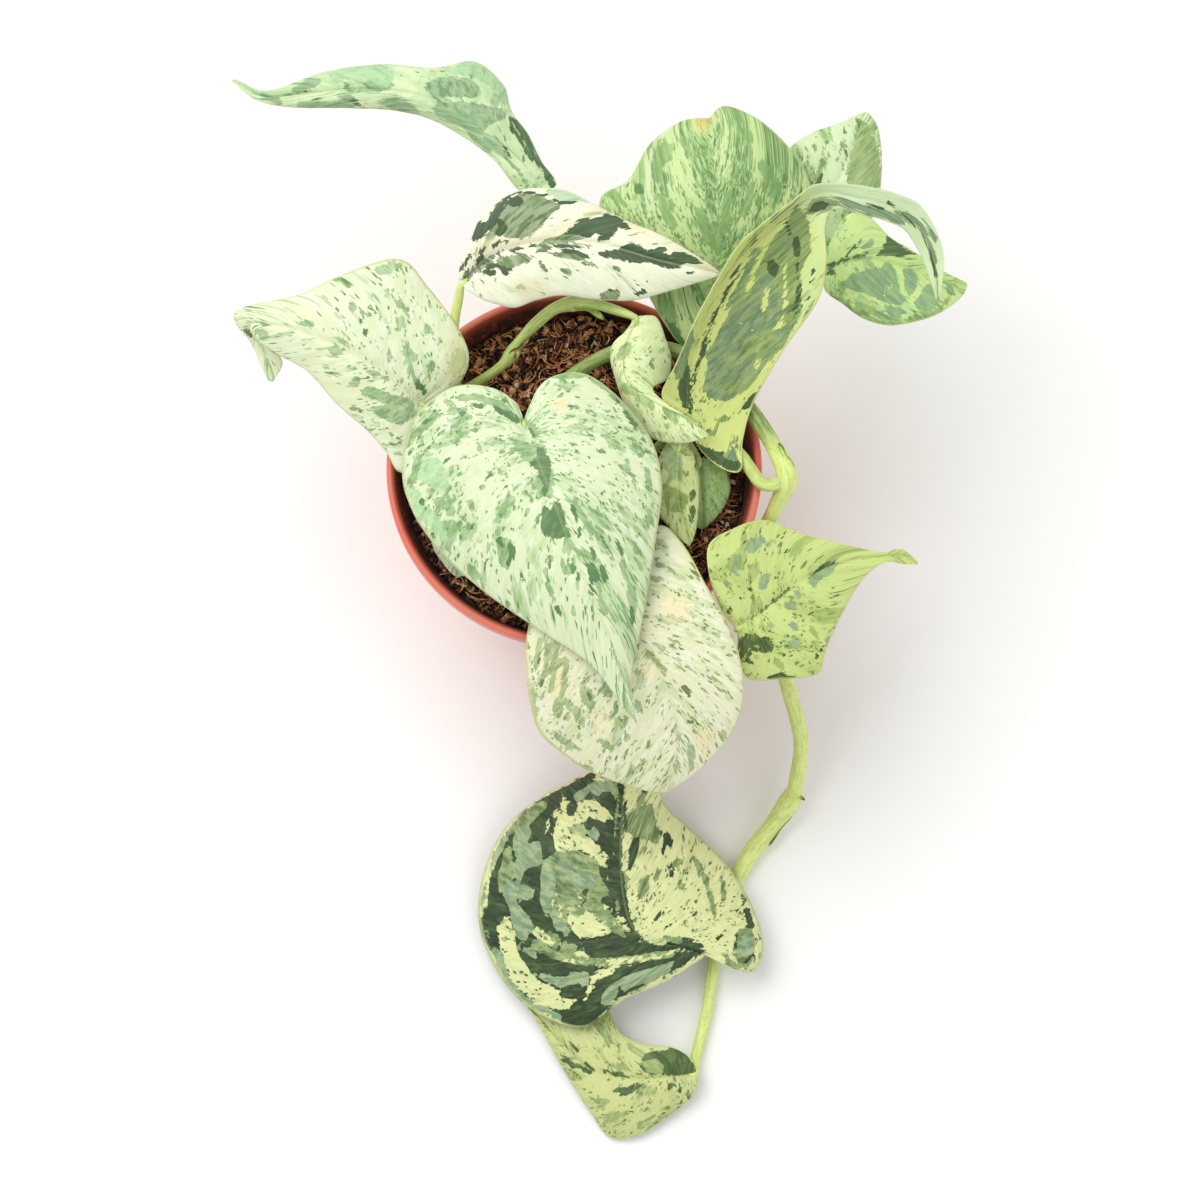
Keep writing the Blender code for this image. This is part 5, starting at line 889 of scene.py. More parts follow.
        59.1, -58.4), (0.6, 55.1, -59.1, 57.1, -60.2), (0.6, 55.5, -62, 57.8, -62.6), (0.7, 63.8, -67.1,
        68.2, -66.6, 73, -66.7), (0.5, 78.9, -60.1, 80.2, -58.1), (0.5, 76.2, -47.1, 77.6, -46.2), (0.6,
        49.8, -47.7, 50.4, -46.5)), ("green", (0.7, 57.6, -42.3, 58.4, -44.6, 57.6, -47.3)), ("dark",
        (0.5, 53.8, -43, 54.4, -43.1)), ("green", (1.2, 65.7, -61.9, 67.7, -63.6)),
    ],
}

# Colours of the stems and of the marks on the pot, as they look on the screen, 0 to 255.
# The pot's inside colour is painted shade, and its dark smear is partly dirt, partly painted shade
STEM_PALE = (220, 234, 146)
STEM_MID = (204, 220, 126)
STEM_DARK = (164, 186, 96)
STEM_OLIVE = (150, 170, 96)
STEM_DEEP = (108, 132, 66)
NODE_BROWN = (150, 110, 66)
POT_SCUFF = (176, 78, 60)
POT_INSIDE_SHADE = (132, 46, 34)
POT_DIRT_AND_SHADE = (40, 22, 16)

# Nodes of the stems, where they swell and carry a brown ring, in millimetres
KNOBS = {
    "vine_trailing": [(15, 37, 101.5), (69, -4.8, 99), (74, -98.5, 11.5), (49.5, -142, 3.2)],
    "vine_back": [(-20.3, 38, 95.5), (0.5, 51.6, 108)],
    "vine_right": [(47, 41, 98.4), (67, 54, 99.5)],
}

# Sheaths at nodes, dry or green: from, to, half width, curl, bow
SHEATHS = [
    ("dry", (-20.0, 36.5, 97.2), (-14.5, 41.5, 101.5), 2.0, 1.2, 0.3),
    ("dry", (74.5, -97.0, 14.0), (78.5, -99.5, 14.5), 1.6, 1.0, 0.2),
    ("green", (74.2, -102.0, 9.0), (66.5, -114.0, 4.6), 1.5, 1.0, 0.2),
    ("green", (0.5, 51.8, 108.5), (9.5, 46.0, 107.5), 3.0, 1.6, 0.3),
    ("green", (69.5, -2.0, 101.5), (66.0, 6.0, 104.0), 2.2, 1.4, 0.2),
]

# How deep the green of a stem's tubes is: before, after, and at which length it changes
STEM_DEPTH = {
    "vine_trailing": {0: (0.95, 0.0, 118.0), 1: (0.25, 0.25, 1.0)},
    "vine_back": {0: (0.45, 0.45, 1.0)},
    "vine_right": {0: (0.9, 0.6, 40.0)},
}

# Patterns of a blade in millimetres: drifts by width, length and detail, cells by width and
# length, and the patterns of which each blade has a share
DRIFTS = {"Wash": (6.0, 15.0, 3.0), "Streaks": (1.3, 5.0, 3.0), "Threads": (0.38, 4.0, 2.0)}
CELLS = {"Speck": (0.55, 1.1), "Fleck": (1.15, 2.5), "Patch": (2.8, 6.5)}
SHARES = ("Wash", "Patches", "Flecks", "Specks")

# What can be painted on a blade, and how many millimetres from its edge a mark still tells
KINDS = ("dark", "green", "silver", "cover", "tint_and_shade")
FIELD_REACH = 4.0

# Tones of the blades that give none of their own
SILVER = (150, 176, 158)
PEACH = (240, 205, 150)
IVORY = (255, 255, 230)


def screen_colour(shade):
    """Linear RGBA of a colour given as it looks on the screen."""
    parts = [value / 255 for value in shade]
    linear = [p / 12.92 if p <= 0.04045 else ((p + 0.055) / 1.055) ** 2.4 for p in parts]
    return (*linear, 1.0)


def spline(points, t):
    """Smooth curve through points, at each of t, counted in points from the first."""
    last = len(points) - 1
    i = np.clip(t.astype(int), 0, last - 1)
    f = (t - i)[:, None]
    b, c = points[i], points[i + 1]
    a = np.where((i > 0)[:, None], points[np.maximum(i - 1, 0)], 2 * b - c)
    d = np.where((i + 2 <= last)[:, None], points[np.minimum(i + 2, last)], 2 * c - b)
    bend = 2 * a - 5 * b + 4 * c - d
    twist = 3 * (b - c) + d - a
    return b + 0.5 * f * (c - a + f * (bend + f * twist))


def unit(vectors):
    return vectors / np.maximum(np.linalg.norm(vectors, axis=-1, keepdims=True), 1e-9)


def soft_step(value, low, high):
    x = np.clip((value - low) / (high - low), 0, 1)
    return x * x * (3 - 2 * x)


class Blade:
    """Surface of one leaf blade, sampled as rows along the midrib and points across."""

    def __init__(self, name, vein_depth, edge_wave, slant):
        camber, rows = LEAVES[name]
        stations = np.array(rows, float)
        last = len(stations) - 1
        self.t = np.linspace(0, last, last * ROWS_PER_STATION + 1)
        self.slant = slant
        spread = np.linspace(-1, 1, BLADE_ACROSS + 1)
        crowding = 0.9
        self.u = np.sign(spread) * np.abs(spread) ** crowding
        left, middle, right = (spline(stations[:, 3 * k:3 * k + 3], self.t) for k in range(3))
        step = 0.3
        ahead = spline(stations[:, 3:6], np.minimum(self.t + step, last))
        behind = spline(stations[:, 3:6], np.maximum(self.t - step, 0))
        normal = unit(np.cross(right - left, ahead - behind))
        edge = np.where((self.u < 0)[None, :, None], left[:, None], right[:, None])
        reach = np.abs(self.u)[None, :, None]
        span = np.linalg.norm(edge - middle[:, None], axis=-1, keepdims=True)
        lift = camber * 4 * reach * (1 - reach) * span
        smooth = middle[:, None] + (edge - middle[:, None]) * reach + normal[:, None] * lift
        self.across = np.abs(self.u)[None] * span[..., 0]
        self.veins = self.t[:, None] - self.vein_slope(last)[:, None] * np.abs(self.u)[None]
        self.normals = self.surface_normals(smooth)
        self.top = smooth + self.normals * self.relief(vein_depth, edge_wave, last)[..., None]
        self.normals = self.surface_normals(self.top)
        half_width = self.across.max(axis=1).mean()
        self.stretch = math.hypot(1.0, 0.7 * slant * STATION_LENGTH / half_width)

    def vein_slope(self, last):
        """How many stations a side vein runs towards the tip before it meets the edge."""
        tip = soft_step(self.t, last - 3, last)
        return self.slant * soft_step(self.t, 1.5, 4.5) * (1 - 0.5 * tip)

    def surface_normals(self, points):
        along = np.gradient(points, axis=0)
        across = np.gradient(points, axis=1)
        found = unit(np.cross(across, along))
        found[0], found[-1] = found[1], found[-2]
        return found

    def relief(self, vein_depth, edge_wave, last):
        """Height over the smooth blade: sunken midrib and veins, and a waved edge."""
        ends = soft_step(self.t, 0.3, 2.2) * (1 - soft_step(self.t, last - 1.6, last - 0.2))
        away = np.abs(self.u)[None]
        phase = self.veins * VEINS_PER_STATION
        between = 0.5 - 0.5 * np.cos(2 * math.pi * phase)
        pillow = vein_depth * (between - 0.6) * soft_step(self.across, 0.8, 4) * (1 - 0.6 * away)
        groove = -MIDRIB_DEPTH * np.exp(-((self.across / MIDRIB_WIDTH) ** 2))
        seed = float(self.t[-1])
        wave = edge_wave * away ** 3 * np.sin(1.9 * self.t[:, None] + 2.1 * np.sign(self.u) + seed)
        curl = -EDGE_CURL * soft_step(away, 0.9, 1.0)
        return ends[:, None] * (pillow + wave + curl) + groove * soft_step(self.t, 0, 1)[:, None]

    def underside(self):
        """The lower face, thinner towards the edge, with the midrib standing out."""
        away = np.abs(self.u)[None]
        thick = BLADE_THICKNESS - EDGE_THINNING * away ** 2
        fade = 1 - soft_step(self.t, 0.25 * self.t[-1], self.t[-1])[:, None]
        rib = (0.25 + 0.75 * fade) * np.exp(-((self.across / MIDRIB_WIDTH) ** 2))
        phase = math.pi * self.veins * VEINS_PER_STATION
        vein = VEIN_RIDGE * np.exp(-((np.sin(phase) / 0.2) ** 2))
        return self.top - self.normals * (thick + rib + vein)[..., None]


def sheet_faces(rows, columns):
    """Quads of a thin sheet: its upper grid of points, the lower one after it, and the rim."""
    count = rows * columns
    index = np.arange(count).reshape(rows, columns)
    upper = np.stack([index[:-1, :-1], index[:-1, 1:], index[1:, 1:], index[1:, :-1]], -1)
    upper = upper.reshape(-1, 4)
    ring = np.concatenate([index[0, :-1], index[:-1, -1], index[-1, :0:-1], index[:0:-1, 0]])
    after = np.roll(ring, -1)
    rim = np.stack([after, ring, ring + count, after + count], -1)
    return np.concatenate([upper, upper[:, ::-1] + count, rim])


def tube_faces(rows, sides):
    """Quads of a tube of rings, and a face at each end."""
    index = np.arange(rows * sides).reshape(rows, sides)
    after = np.roll(index, -1, axis=1)
    quads = np.stack([index[:-1], after[:-1], after[1:], index[1:]], -1).reshape(-1, 4)
    return quads.tolist() + [index[0, ::-1].tolist(), index[-1].tolist()]


def new_mesh(name, points, faces):
    mesh = bpy.data.meshes.new(name)
    mesh.from_pydata((points * MM).tolist(), [], [list(map(int, face)) for face in faces])
    mesh.shade_smooth()
    return mesh


def add_uv(mesh, name, values):
    """UV map from one value pair for each vertex."""
    layer = mesh.uv_layers.new(name=name)
    corner = np.empty(len(mesh.loops), np.int32)
    mesh.loops.foreach_get("vertex_index", corner)
    layer.uv.foreach_set("vector", values[corner].astype(np.float32).ravel())


def add_marks(mesh, name, channels):
    """Four fields for each vertex, as a colour attribute."""
    layer = mesh.color_attributes.new(name=name, type="FLOAT_COLOR", domain="POINT")
    layer.data.foreach_set("color", channels.astype(np.float32).ravel())


def add_piece(name, mesh, nodes, finishes):
    """Link a piece, put it on the only body and let it stand for its solids."""
    piece = bpy.data.objects.new(name, mesh)
    bpy.context.scene.collection.objects.link(piece)
    for finish in finishes:
        mesh.materials.append(finish)
    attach(piece, ROOT)
    if nodes:
        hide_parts(*nodes)
    return piece


def stroke_distance(x, y, width, *route):
    """Distance in millimetres from each point to a mark's edge, positive inside.

    A mark is a stroke of a half width; with a half width of 0 its points go round an area.
    """
    places = np.array(route, float).reshape(-1, 2)
    if not width:
        inside = np.zeros(x.shape, bool)
        for a, b in zip(places, np.roll(places, -1, axis=0)):
            if a[1] != b[1]:
                cross = a[0] + (y - a[1]) * (b[0] - a[0]) / (b[1] - a[1])
                inside ^= ((a[1] > y) != (b[1] > y)) & (x < cross)
        ring = np.concatenate([places, places[:1]]).ravel()
        gap = -stroke_distance(x, y, 1e-6, *ring)
        return np.where(inside, gap, -gap)
    if len(places) == 1:
        return width - np.hypot(x - places[0, 0], y - places[0, 1])
    best = np.full(x.shape, -99.0)
    for a, b in zip(places[:-1], places[1:]):
        way = b - a
        share = ((x - a[0]) * way[0] + (y - a[1]) * way[1]) / (way @ way)
        share = np.clip(share, 0, 1)
        gap = np.hypot(x - a[0] - share * way[0], y - a[1] - share * way[1])
        best = np.maximum(best, width - gap)
    return best


def painted(points, marks):
    """Fields of a blade, one for each of KINDS: 0.5 on a patch's edge, more inside it.

    Each mark covers the earlier ones and "clear" bares the blade; a warm tint, partly painted
    shade on the back leaf, lies apart.
    The field "cover" holds all that is painted.
    """
    x, y = points[..., 0], points[..., 1]
    fields = np.full((*x.shape, len(KINDS)), -FIELD_REACH)
    paint, cover, tint_and_shade = fields[..., :4], fields[..., 3], fields[..., 4]
    for kind, *strokes in marks:
        for stroke in strokes:
            reach = stroke_distance(x, y, *stroke)
            if kind == "tint_and_shade":
                np.maximum(tint_and_shade, reach, out=tint_and_shade)
                continue
            covered = np.maximum(cover, reach)
            np.minimum(paint, -reach[..., None], out=paint)
            if kind != "clear":
                cover[...] = covered
                field = fields[..., KINDS.index(kind)]
                np.maximum(field, reach, out=field)
    return 0.5 + np.clip(fields, -FIELD_REACH, FIELD_REACH) / (2 * FIELD_REACH)


class Graph:
    """Adds nodes to a tree and links them, one call for each."""

    def __init__(self, tree):
        self.tree = tree

    def add(self, kind, inputs=None, **settings):
        node = self.tree.nodes.new(kind)
        for key, value in settings.items():
            setattr(node, key, value)
        for key, value in (inputs or {}).items():
            if isinstance(value, bpy.types.NodeSocket):
                self.tree.links.new(value, node.inputs[key])
            else:
                node.inputs[key].default_value = value
        return node

    def math(self, operation, a, b=0.0):
        return self.add("ShaderNodeMath", {0: a, 1: b}, operation=operation).outputs[0]

    def total(self, first, *others):
        for other in others:
            first = self.math("ADD", first, other)
        return first

    def less(self, a, b):
        return self.math("SUBTRACT", a, b)

    def scaled(self, value, factor):
        return self.math("MULTIPLY", value, factor)

    def blend(self, *shares):
        """Sum of values, each given with its factor."""
        return self.total(*(self.scaled(value, factor) for value, factor in shares))

    def mix(self, share, a, b):
        node = self.add("ShaderNodeMix", {0: share, 6: a, 7: b}, data_type="RGBA")
        return node.outputs[2]

    def tinted(self, colour, tone, mask, most):
        """A colour that goes to a tone where a mask is, by a share at most."""
        return self.mix(self.scaled(mask, most), colour, tone)

    def step(self, value, low, high):
        node = self.add(
            "ShaderNodeMapRange", {"Value": value, "From Min": low, "From Max": high},
            interpolation_type="SMOOTHSTEP",
        )
        return node.outputs[0]

    def noise(self, vector, scale, detail=2.0, roughness=0.5):
        node = self.add(
            "ShaderNodeTexNoise",
            {"Vector": vector, "Scale": scale, "Detail": detail, "Roughness": roughness},
        )
        return node.outputs[0]

    def vector(self, x, y, z):
        return self.add("ShaderNodeCombineXYZ", {0: x, 1: y, 2: z}).outputs[0]

    def parts(self, vector):
        return self.add("ShaderNodeSeparateXYZ", {0: vector}).outputs

    def channels(self, colour):
        return self.add("ShaderNodeSeparateColor", {0: colour}).outputs

    def field(self, name):
        return self.add("ShaderNodeAttribute", attribute_name=name).outputs

    def uv(self, name):
        return self.parts(self.add("ShaderNodeUVMap", uv_map=name).outputs[0])

    def place(self):
        return self.add("ShaderNodeTexCoord").outputs["Object"]

    def group(self, tree, inputs):
        return self.add("ShaderNodeGroup", inputs, node_tree=tree).outputs


def new_group(name, inputs, outputs, colours=()):
    """Empty node group with named sockets, its graph and inputs; colours names the colour ones."""
    tree = bpy.data.node_groups.new(name, "ShaderNodeTree")
    for labels, way in ((inputs, "INPUT"), (outputs, "OUTPUT")):
        for label in labels:
            kind = "NodeSocketColor" if label in colours else "NodeSocketFloat"
            tree.interface.new_socket(label, in_out=way, socket_type=kind)
    graph = Graph(tree)
    return graph, graph.add("NodeGroupInput").outputs


def close_group(graph, results):
    end = graph.add("NodeGroupOutput")
    for label, socket in results.items():
        graph.tree.links.new(socket, end.inputs[label])
    return graph.tree


def vein_flow_group():
    """Patterns drawn out along the side veins: smooth drifts, threads, and cells of three sizes.

    Each size of cell gives the distance from the cell's middle and a random pick.
    """
    outputs = [*DRIFTS, *CELLS, *(label + " pick" for label in CELLS)]
    g, given = new_group("vein flow", ("Seed", "Stretch"), outputs)
    seed, stretch = given["Seed"], given["Stretch"]
    veins = g.uv("veins")
    x = g.math("DIVIDE", g.scaled(veins[0], 10.0), stretch)
    y = g.scaled(g.scaled(veins[1], 10.0), stretch)

    def drawn(wide, long, depth):
        return g.vector(g.scaled(x, 1 / wide), g.scaled(y, 1 / long), depth)

    results = {}
    for k, (label, (wide, long, detail)) in enumerate(DRIFTS.items()):
        results[label] = g.noise(drawn(wide, long, g.total(seed, 7.3 * k)), 1.0, detail, 0.55)
    across, along = (
        g.noise(drawn(1.25, 2.0, g.total(seed, start)), 1.0, 3.0) for start in (31.0, 47.0)
    )
    x = g.total(x, g.scaled(across, 1.6), g.scaled(seed, 3.7))
    y = g.total(y, g.scaled(along, 3.2), g.scaled(seed, 5.3))
    for label, (wide, long) in CELLS.items():
        inputs = {"Vector": drawn(wide, long, 0.0), "Scale": 1.0}
        cell = g.add("ShaderNodeTexVoronoi", inputs, voronoi_dimensions="2D").outputs
        results[label] = cell["Distance"]
        results[label + " pick"] = g.channels(cell["Color"])[0]
    return close_group(g, results)


def marks_group(flow):
    """Patches painted on a blade, with edges that step along the cells of the veins."""
    g, given = new_group(
        "blade marks", ("Seed", "Stretch"), ("Cover", "Dark", "Silver", "Tint and shade")
    )
    marks = g.field("marks")
    dark, green, silver = g.channels(marks["Color"])
    tint_and_shade = g.field("tint_and_shade_field")["Alpha"]
    drift = g.group(flow, {"Seed": g.total(given["Seed"], 3.1), "Stretch": given["Stretch"]})
    ragged = g.total(g.blend(
        (drift["Speck pick"], 0.06), (drift["Fleck pick"], 0.09), (drift["Patch pick"], 0.05),
        (drift["Streaks"], 0.14),
    ), -0.17)

    def edged(field, low, high):
        return g.step(g.total(field, ragged), low, high)

    return close_group(g, {
        "Cover": edged(marks["Alpha"], 0.488, 0.512),
        "Dark": edged(g.less(dark, g.math("MAXIMUM", green, silver)), -0.015, 0.015),
        "Silver": edged(g.less(silver, green), -0.015, 0.015),
        "Tint and shade": edged(tint_and_shade, 0.2, 0.8),
    })


def blade_colour_group(flow, marks):
    """Marbled colour of a blade, with its roughness and low relief."""
    tones = ("Cream", "Mint", "Green", "Dark", "Silver", "Tint and shade", "Margin", "Tip")
    g, given = new_group(
        "marbled blade", (*tones, "Tip share", *SHARES, "Seed", "Stretch"),
        ("Colour", "Roughness", "Height"), (*tones, "Colour"),
    )
    cream, mint, leaf_green, dark, silver, tint_and_shade, margin, tip = (given[tone] for tone in tones)
    same = {key: given[key] for key in ("Seed", "Stretch")}
    drift = g.group(flow, same)
    mark = g.group(marks, same)
    wash, streaks, threads = (drift[label] for label in DRIFTS)
    veins, blade = g.uv("veins"), g.uv("blade")
    spread = g.total(g.scaled(g.step(g.blend((wash, 0.75), (streaks, 0.25)), 0.36, 0.64), 1.5), 0.25)

    # The marbling: a mint wash, streaks and threads along the veins, and patches in three sizes
    broad = g.blend((wash, 0.6), (streaks, 0.3), (drift["Patch pick"], 0.1))
    level = g.total(broad, g.scaled(given["Wash"], 0.42), -0.71)
    colour = g.mix(g.step(level, -0.10, 0.10), cream, mint)
    shade = g.scaled(g.step(streaks, 0.36, 0.66), 0.12)
    thread = g.scaled(g.step(threads, 0.50, 0.68), 0.20)
    colour = g.mix(g.math("MAXIMUM", shade, thread), colour, leaf_green)
    colour = g.tinted(colour, cream, g.less(1.0, g.step(threads, 0.34, 0.46)), 0.45)
    aged = g.step(g.blend((wash, -0.6), (streaks, 0.7)), -0.08, 0.12)
    colour = g.tinted(colour, margin, aged, 0.30)
    middle = g.mix(0.5, leaf_green, dark)
    dense = g.total(0.58, g.scaled(g.step(streaks, 0.42, 0.56), 0.38))
    patches = {
        "Patch": (given["Patches"], 0.78, leaf_green, mint),
        "Fleck": (given["Flecks"], 0.55, middle, mint),
        "Speck": (given["Specks"], 0.50, dark, leaf_green),
    }
    for label, (amount, size, first, last) in patches.items():
        pick, chance = drift[label + " pick"], g.scaled(spread, amount)
        edge = g.total(size, g.scaled(streaks, 0.5), -0.25)
        inside = g.step(g.less(edge, drift[label]), -0.07, 0.07)
        mask = g.scaled(g.math("GREATER_THAN", chance, pick), inside)
        early = g.math("DIVIDE", pick, g.total(chance, 0.001))
        colour = g.tinted(colour, g.mix(early, first, last), mask, dense)
    colour = g.tinted(colour, tip, g.step(blade[1], 0.55, 0.72), given["Tip share"])
    # Tints from the painted field, which on the back leaf is partly painted shade
    colour = g.tinted(colour, tint_and_shade, mark["Tint and shade"], 0.6)

    # The painted marks, each varied by the cells and threads under it
    vary = g.blend(
        (g.step(streaks, 0.40, 0.62), 0.10),
        (g.math("LESS_THAN", drift["Patch pick"], 0.25), 0.12),
        (g.math("LESS_THAN", drift["Fleck pick"], 0.15), 0.22), (g.step(threads, 0.46, 0.60), 0.16),
    )
    dim = g.scaled(g.step(streaks, 0.50, 0.60), g.step(wash, 0.46, 0.54))
    late = g.math("GREATER_THAN", drift["Speck pick"], 0.82)
    dim = g.math("MAXIMUM", g.scaled(dim, 0.45), g.scaled(late, 0.35))
    green_marks = g.mix(dim, g.mix(vary, leaf_green, mint), dark)
    silver_marks = g.tinted(g.tinted(silver, mint, vary, 0.7), middle, dim, 0.7)
    pale_marks = g.mix(mark["Silver"], green_marks, silver_marks)
    all_marks = g.mix(mark["Dark"], pale_marks, g.mix(vary, dark, leaf_green))
    solid = g.math("MAXIMUM", g.total(0.34, g.scaled(dense, 0.64)), g.scaled(mark["Dark"], 0.97))
    colour = g.tinted(colour, all_marks, mark["Cover"], solid)

    # The margin, the midrib and the side veins
    away = g.math("ABSOLUTE", g.less(g.scaled(blade[0], 2.0), 1.0))
    rib = g.less(1.0, g.step(g.math("ABSOLUTE", veins[1]), 0.02, 0.06))
    phase = g.scaled(veins[0], 10 * VEINS_PER_STATION / STATION_LENGTH)
    vein = g.math("ABSOLUTE", g.less(g.math("FRACT", g.total(phase, 0.5)), 0.5))
    vein = g.less(1.0, g.step(vein, 0.0, 0.08))
    for line, most in ((g.step(away, 0.965, 0.99), 0.75), (rib, 0.15), (vein, 0.05)):
        colour = g.tinted(colour, margin, line, most)

    grain = g.noise(g.place(), 1600.0, 2.0, 0.6)
    height = g.blend((grain, 0.3), (vein, -0.35), (streaks, 0.6), (threads, 0.35), (wash, 1.6))
    rough = g.total(0.34, g.blend((wash, 0.16), (grain, 0.06)))
    return close_group(g, {"Colour": colour, "Roughness": rough, "Height": height})


def toward(shade, other, share):
    return tuple(a + (b - a) * share for a, b in zip(shade, other))


def new_finish(name):
    """Material with an empty graph, its Principled shader already there."""
    finish = bpy.data.materials.new(name)
    finish.use_nodes = True
    return finish, Graph(finish.node_tree), finish.node_tree.nodes["Principled BSDF"]


def surface(graph, shader, colour, roughness, height, strength, distance):
    """Feed a Principled shader, with a bump of a strength and a distance from a height."""
    relief = {"Height": height, "Strength": strength, "Distance": distance}
    bump = graph.add("ShaderNodeBump", relief)
    graph.tree.links.new(bump.outputs[0], shader.inputs["Normal"])
    graph.tree.links.new(colour, shader.inputs["Base Color"])
    graph.tree.links.new(roughness, shader.inputs["Roughness"])


def leaf_finish(name, look, group, seed, stretch, lower):
    """Satin marbled skin of one leaf, or its underside: paler, but darkened as painted shade on
    the arched and upright leaves.
    """
    finish, g, shader = new_finish(name + (" lower skin" if lower else " upper skin"))
    tones = {"Silver": SILVER, "Tint and shade": PEACH, **look["tones"]}
    tones.setdefault("Margin", toward(tones["Cream"], IVORY, 0.35))
    tones.setdefault("Tip", tones["Mint"])
    if lower:
        tones = {key: toward(tone, look["under"], 0.55) for key, tone in tones.items()}
    inputs = {key: screen_colour(tone) for key, tone in tones.items()}
    inputs |= dict(zip(SHARES, look["share"]))
    inputs |= {"Seed": seed, "Stretch": stretch, "Tip share": look.get("tip", 0.0)}
    out = g.group(group, inputs)
    surface(g, shader, out["Colour"], out["Roughness"], out["Height"], 0.25, 0.0003)
    shader.inputs["Specular IOR Level"].default_value = 0.2 if lower else 0.32
    shader.inputs["Sheen Weight"].default_value = 0.12 if lower else 0.04
    shader.inputs["Sheen Roughness"].default_value = 0.4
    return finish


def build_leaf(name, look, group, seed):
    """One blade with both faces, its veins in relief and its marks painted on."""
    blade = Blade(name, look.get("veins", 0.22), look["wave"], look.get("slant", 1.5))
    rows, columns = blade.top.shape[:2]
    both = np.stack([blade.top, blade.underside()]) + blade.normals * BLADE_TOP
    faces = sheet_faces(rows, columns)
    mesh = new_mesh(name, both.reshape(-1, 3), faces)
    side = blade.across * np.sign(blade.u)[None]
    veins = np.stack([blade.veins * STATION_LENGTH, side], -1).reshape(-1, 2) / 10
    plain = np.stack(np.meshgrid((blade.u + 1) / 2, blade.t / blade.t[-1]), -1).reshape(-1, 2)
    apart = (0, 20)
    add_uv(mesh, "veins", np.concatenate([veins, veins + apart]))
    add_uv(mesh, "blade", np.tile(plain, (2, 1)))
    marks = painted(blade.top, MARKS.get(name, ())).reshape(-1, len(KINDS))
    add_marks(mesh, "marks", np.tile(marks[:, :4], (2, 1)))
    add_marks(mesh, "tint_and_shade_field", np.tile(marks[:, 4:], (2, 4)))
    lower = np.zeros(len(faces), np.int32)
    one_face = (rows - 1) * (columns - 1)
    lower[one_face:2 * one_face] = 1
    mesh.polygons.foreach_set("material_index", lower)
    finishes = [
        leaf_finish(name, look, group, seed, blade.stretch, below) for below in (False, True)
    ]
    add_piece(name + "_blade", mesh, [name], finishes)


def tube_rings(path, sides, shape):
    """Rings of points along a path of (x, y, z, radius), and for each its turn and length.

    shape(turn, way) gives the radius factor at an angle and a length.
    """
    centre, radius = path[:, :3], path[:, 3]
    way = unit(np.gradient(centre, axis=0))
    length = np.concatenate([[0], np.cumsum(np.linalg.norm(np.diff(centre, axis=0), axis=1))])
    side = np.cross(way[0], (0.3, 0.1, 1.0) if abs(way[0][2]) < 0.9 else (1.0, 0.2, 0.0))
    turn = np.arange(sides) * 2 * math.pi / sides
    cosine, sine = np.cos(turn), np.sin(turn)
    rings, marks = [], []
    for k, direction in enumerate(way):
        side = unit(side - direction * (side @ direction))
        around = np.outer(cosine, side) + np.outer(sine, np.cross(direction, side))
        rings.append(centre[k] + around * (radius[k] * shape(turn, length[k]))[:, None])
        at = np.full(sides, length[k] * MM)
        marks.append(np.stack([0.5 + 0.5 * cosine, 0.5 + 0.5 * sine, at, 0 * at], -1))
    return np.array(rings), np.array(marks), centre, way


def closed_tube(rings, centre, way):
    """Points and quads of a tube with a rounded cap at each end."""
    caps = []
    for end, sign in ((0, -1), (-1, 1)):
        around = rings[end] - centre[end]
        size = np.linalg.norm(around, axis=1).mean()
        caps.append(np.array([
            centre[end] + around * math.sqrt(1 - s * s) + way[end] * sign * size * s * 0.7
            for s in CAP_STEPS
        ]))
    rows = np.concatenate([caps[0][::-1], rings, caps[1]])
    return rows.reshape(-1, 3), tube_faces(*rows.shape[:2])


def tube_path(points, leaf):
    """Close points along a stem's curve; a petiole runs on into its leaf's notch."""
    knots = [np.array(point, float) for point in points]
    if leaf:
        stations = LEAVES[leaf][1]
        notch = np.array(stations[0][3:6], float) - (0, 0, BLADE_TOP)
        onward = np.array(stations[2][3:6], float) - notch
        knots.append(np.append(notch, 1.0))
        knots.append(np.append(notch + unit(onward) * 2.2 - (0, 0, 0.5), 0.7))
    knots = np.array(knots)
    stops = []
    for i, span in enumerate(np.linalg.norm(np.diff(knots[:, :3], axis=0), axis=1)):
        count = max(1, round(span / STEM_STEP))
        stops += [i + k / count for k in range(count)]
    return spline(knots, np.array(stops + [len(knots) - 1.0]))


def knob_gaps(points, knobs):
    """Distance of each point from each node of its stem."""
    return np.linalg.norm(points[:, None] - knobs[None], axis=-1)


def creeping(path):
    """How far each point of a path is part of the stretch that creeps over the floor."""
    return soft_step(path[:, 0], 50, 56) * (1 - soft_step(path[:, 2], 9, 13))


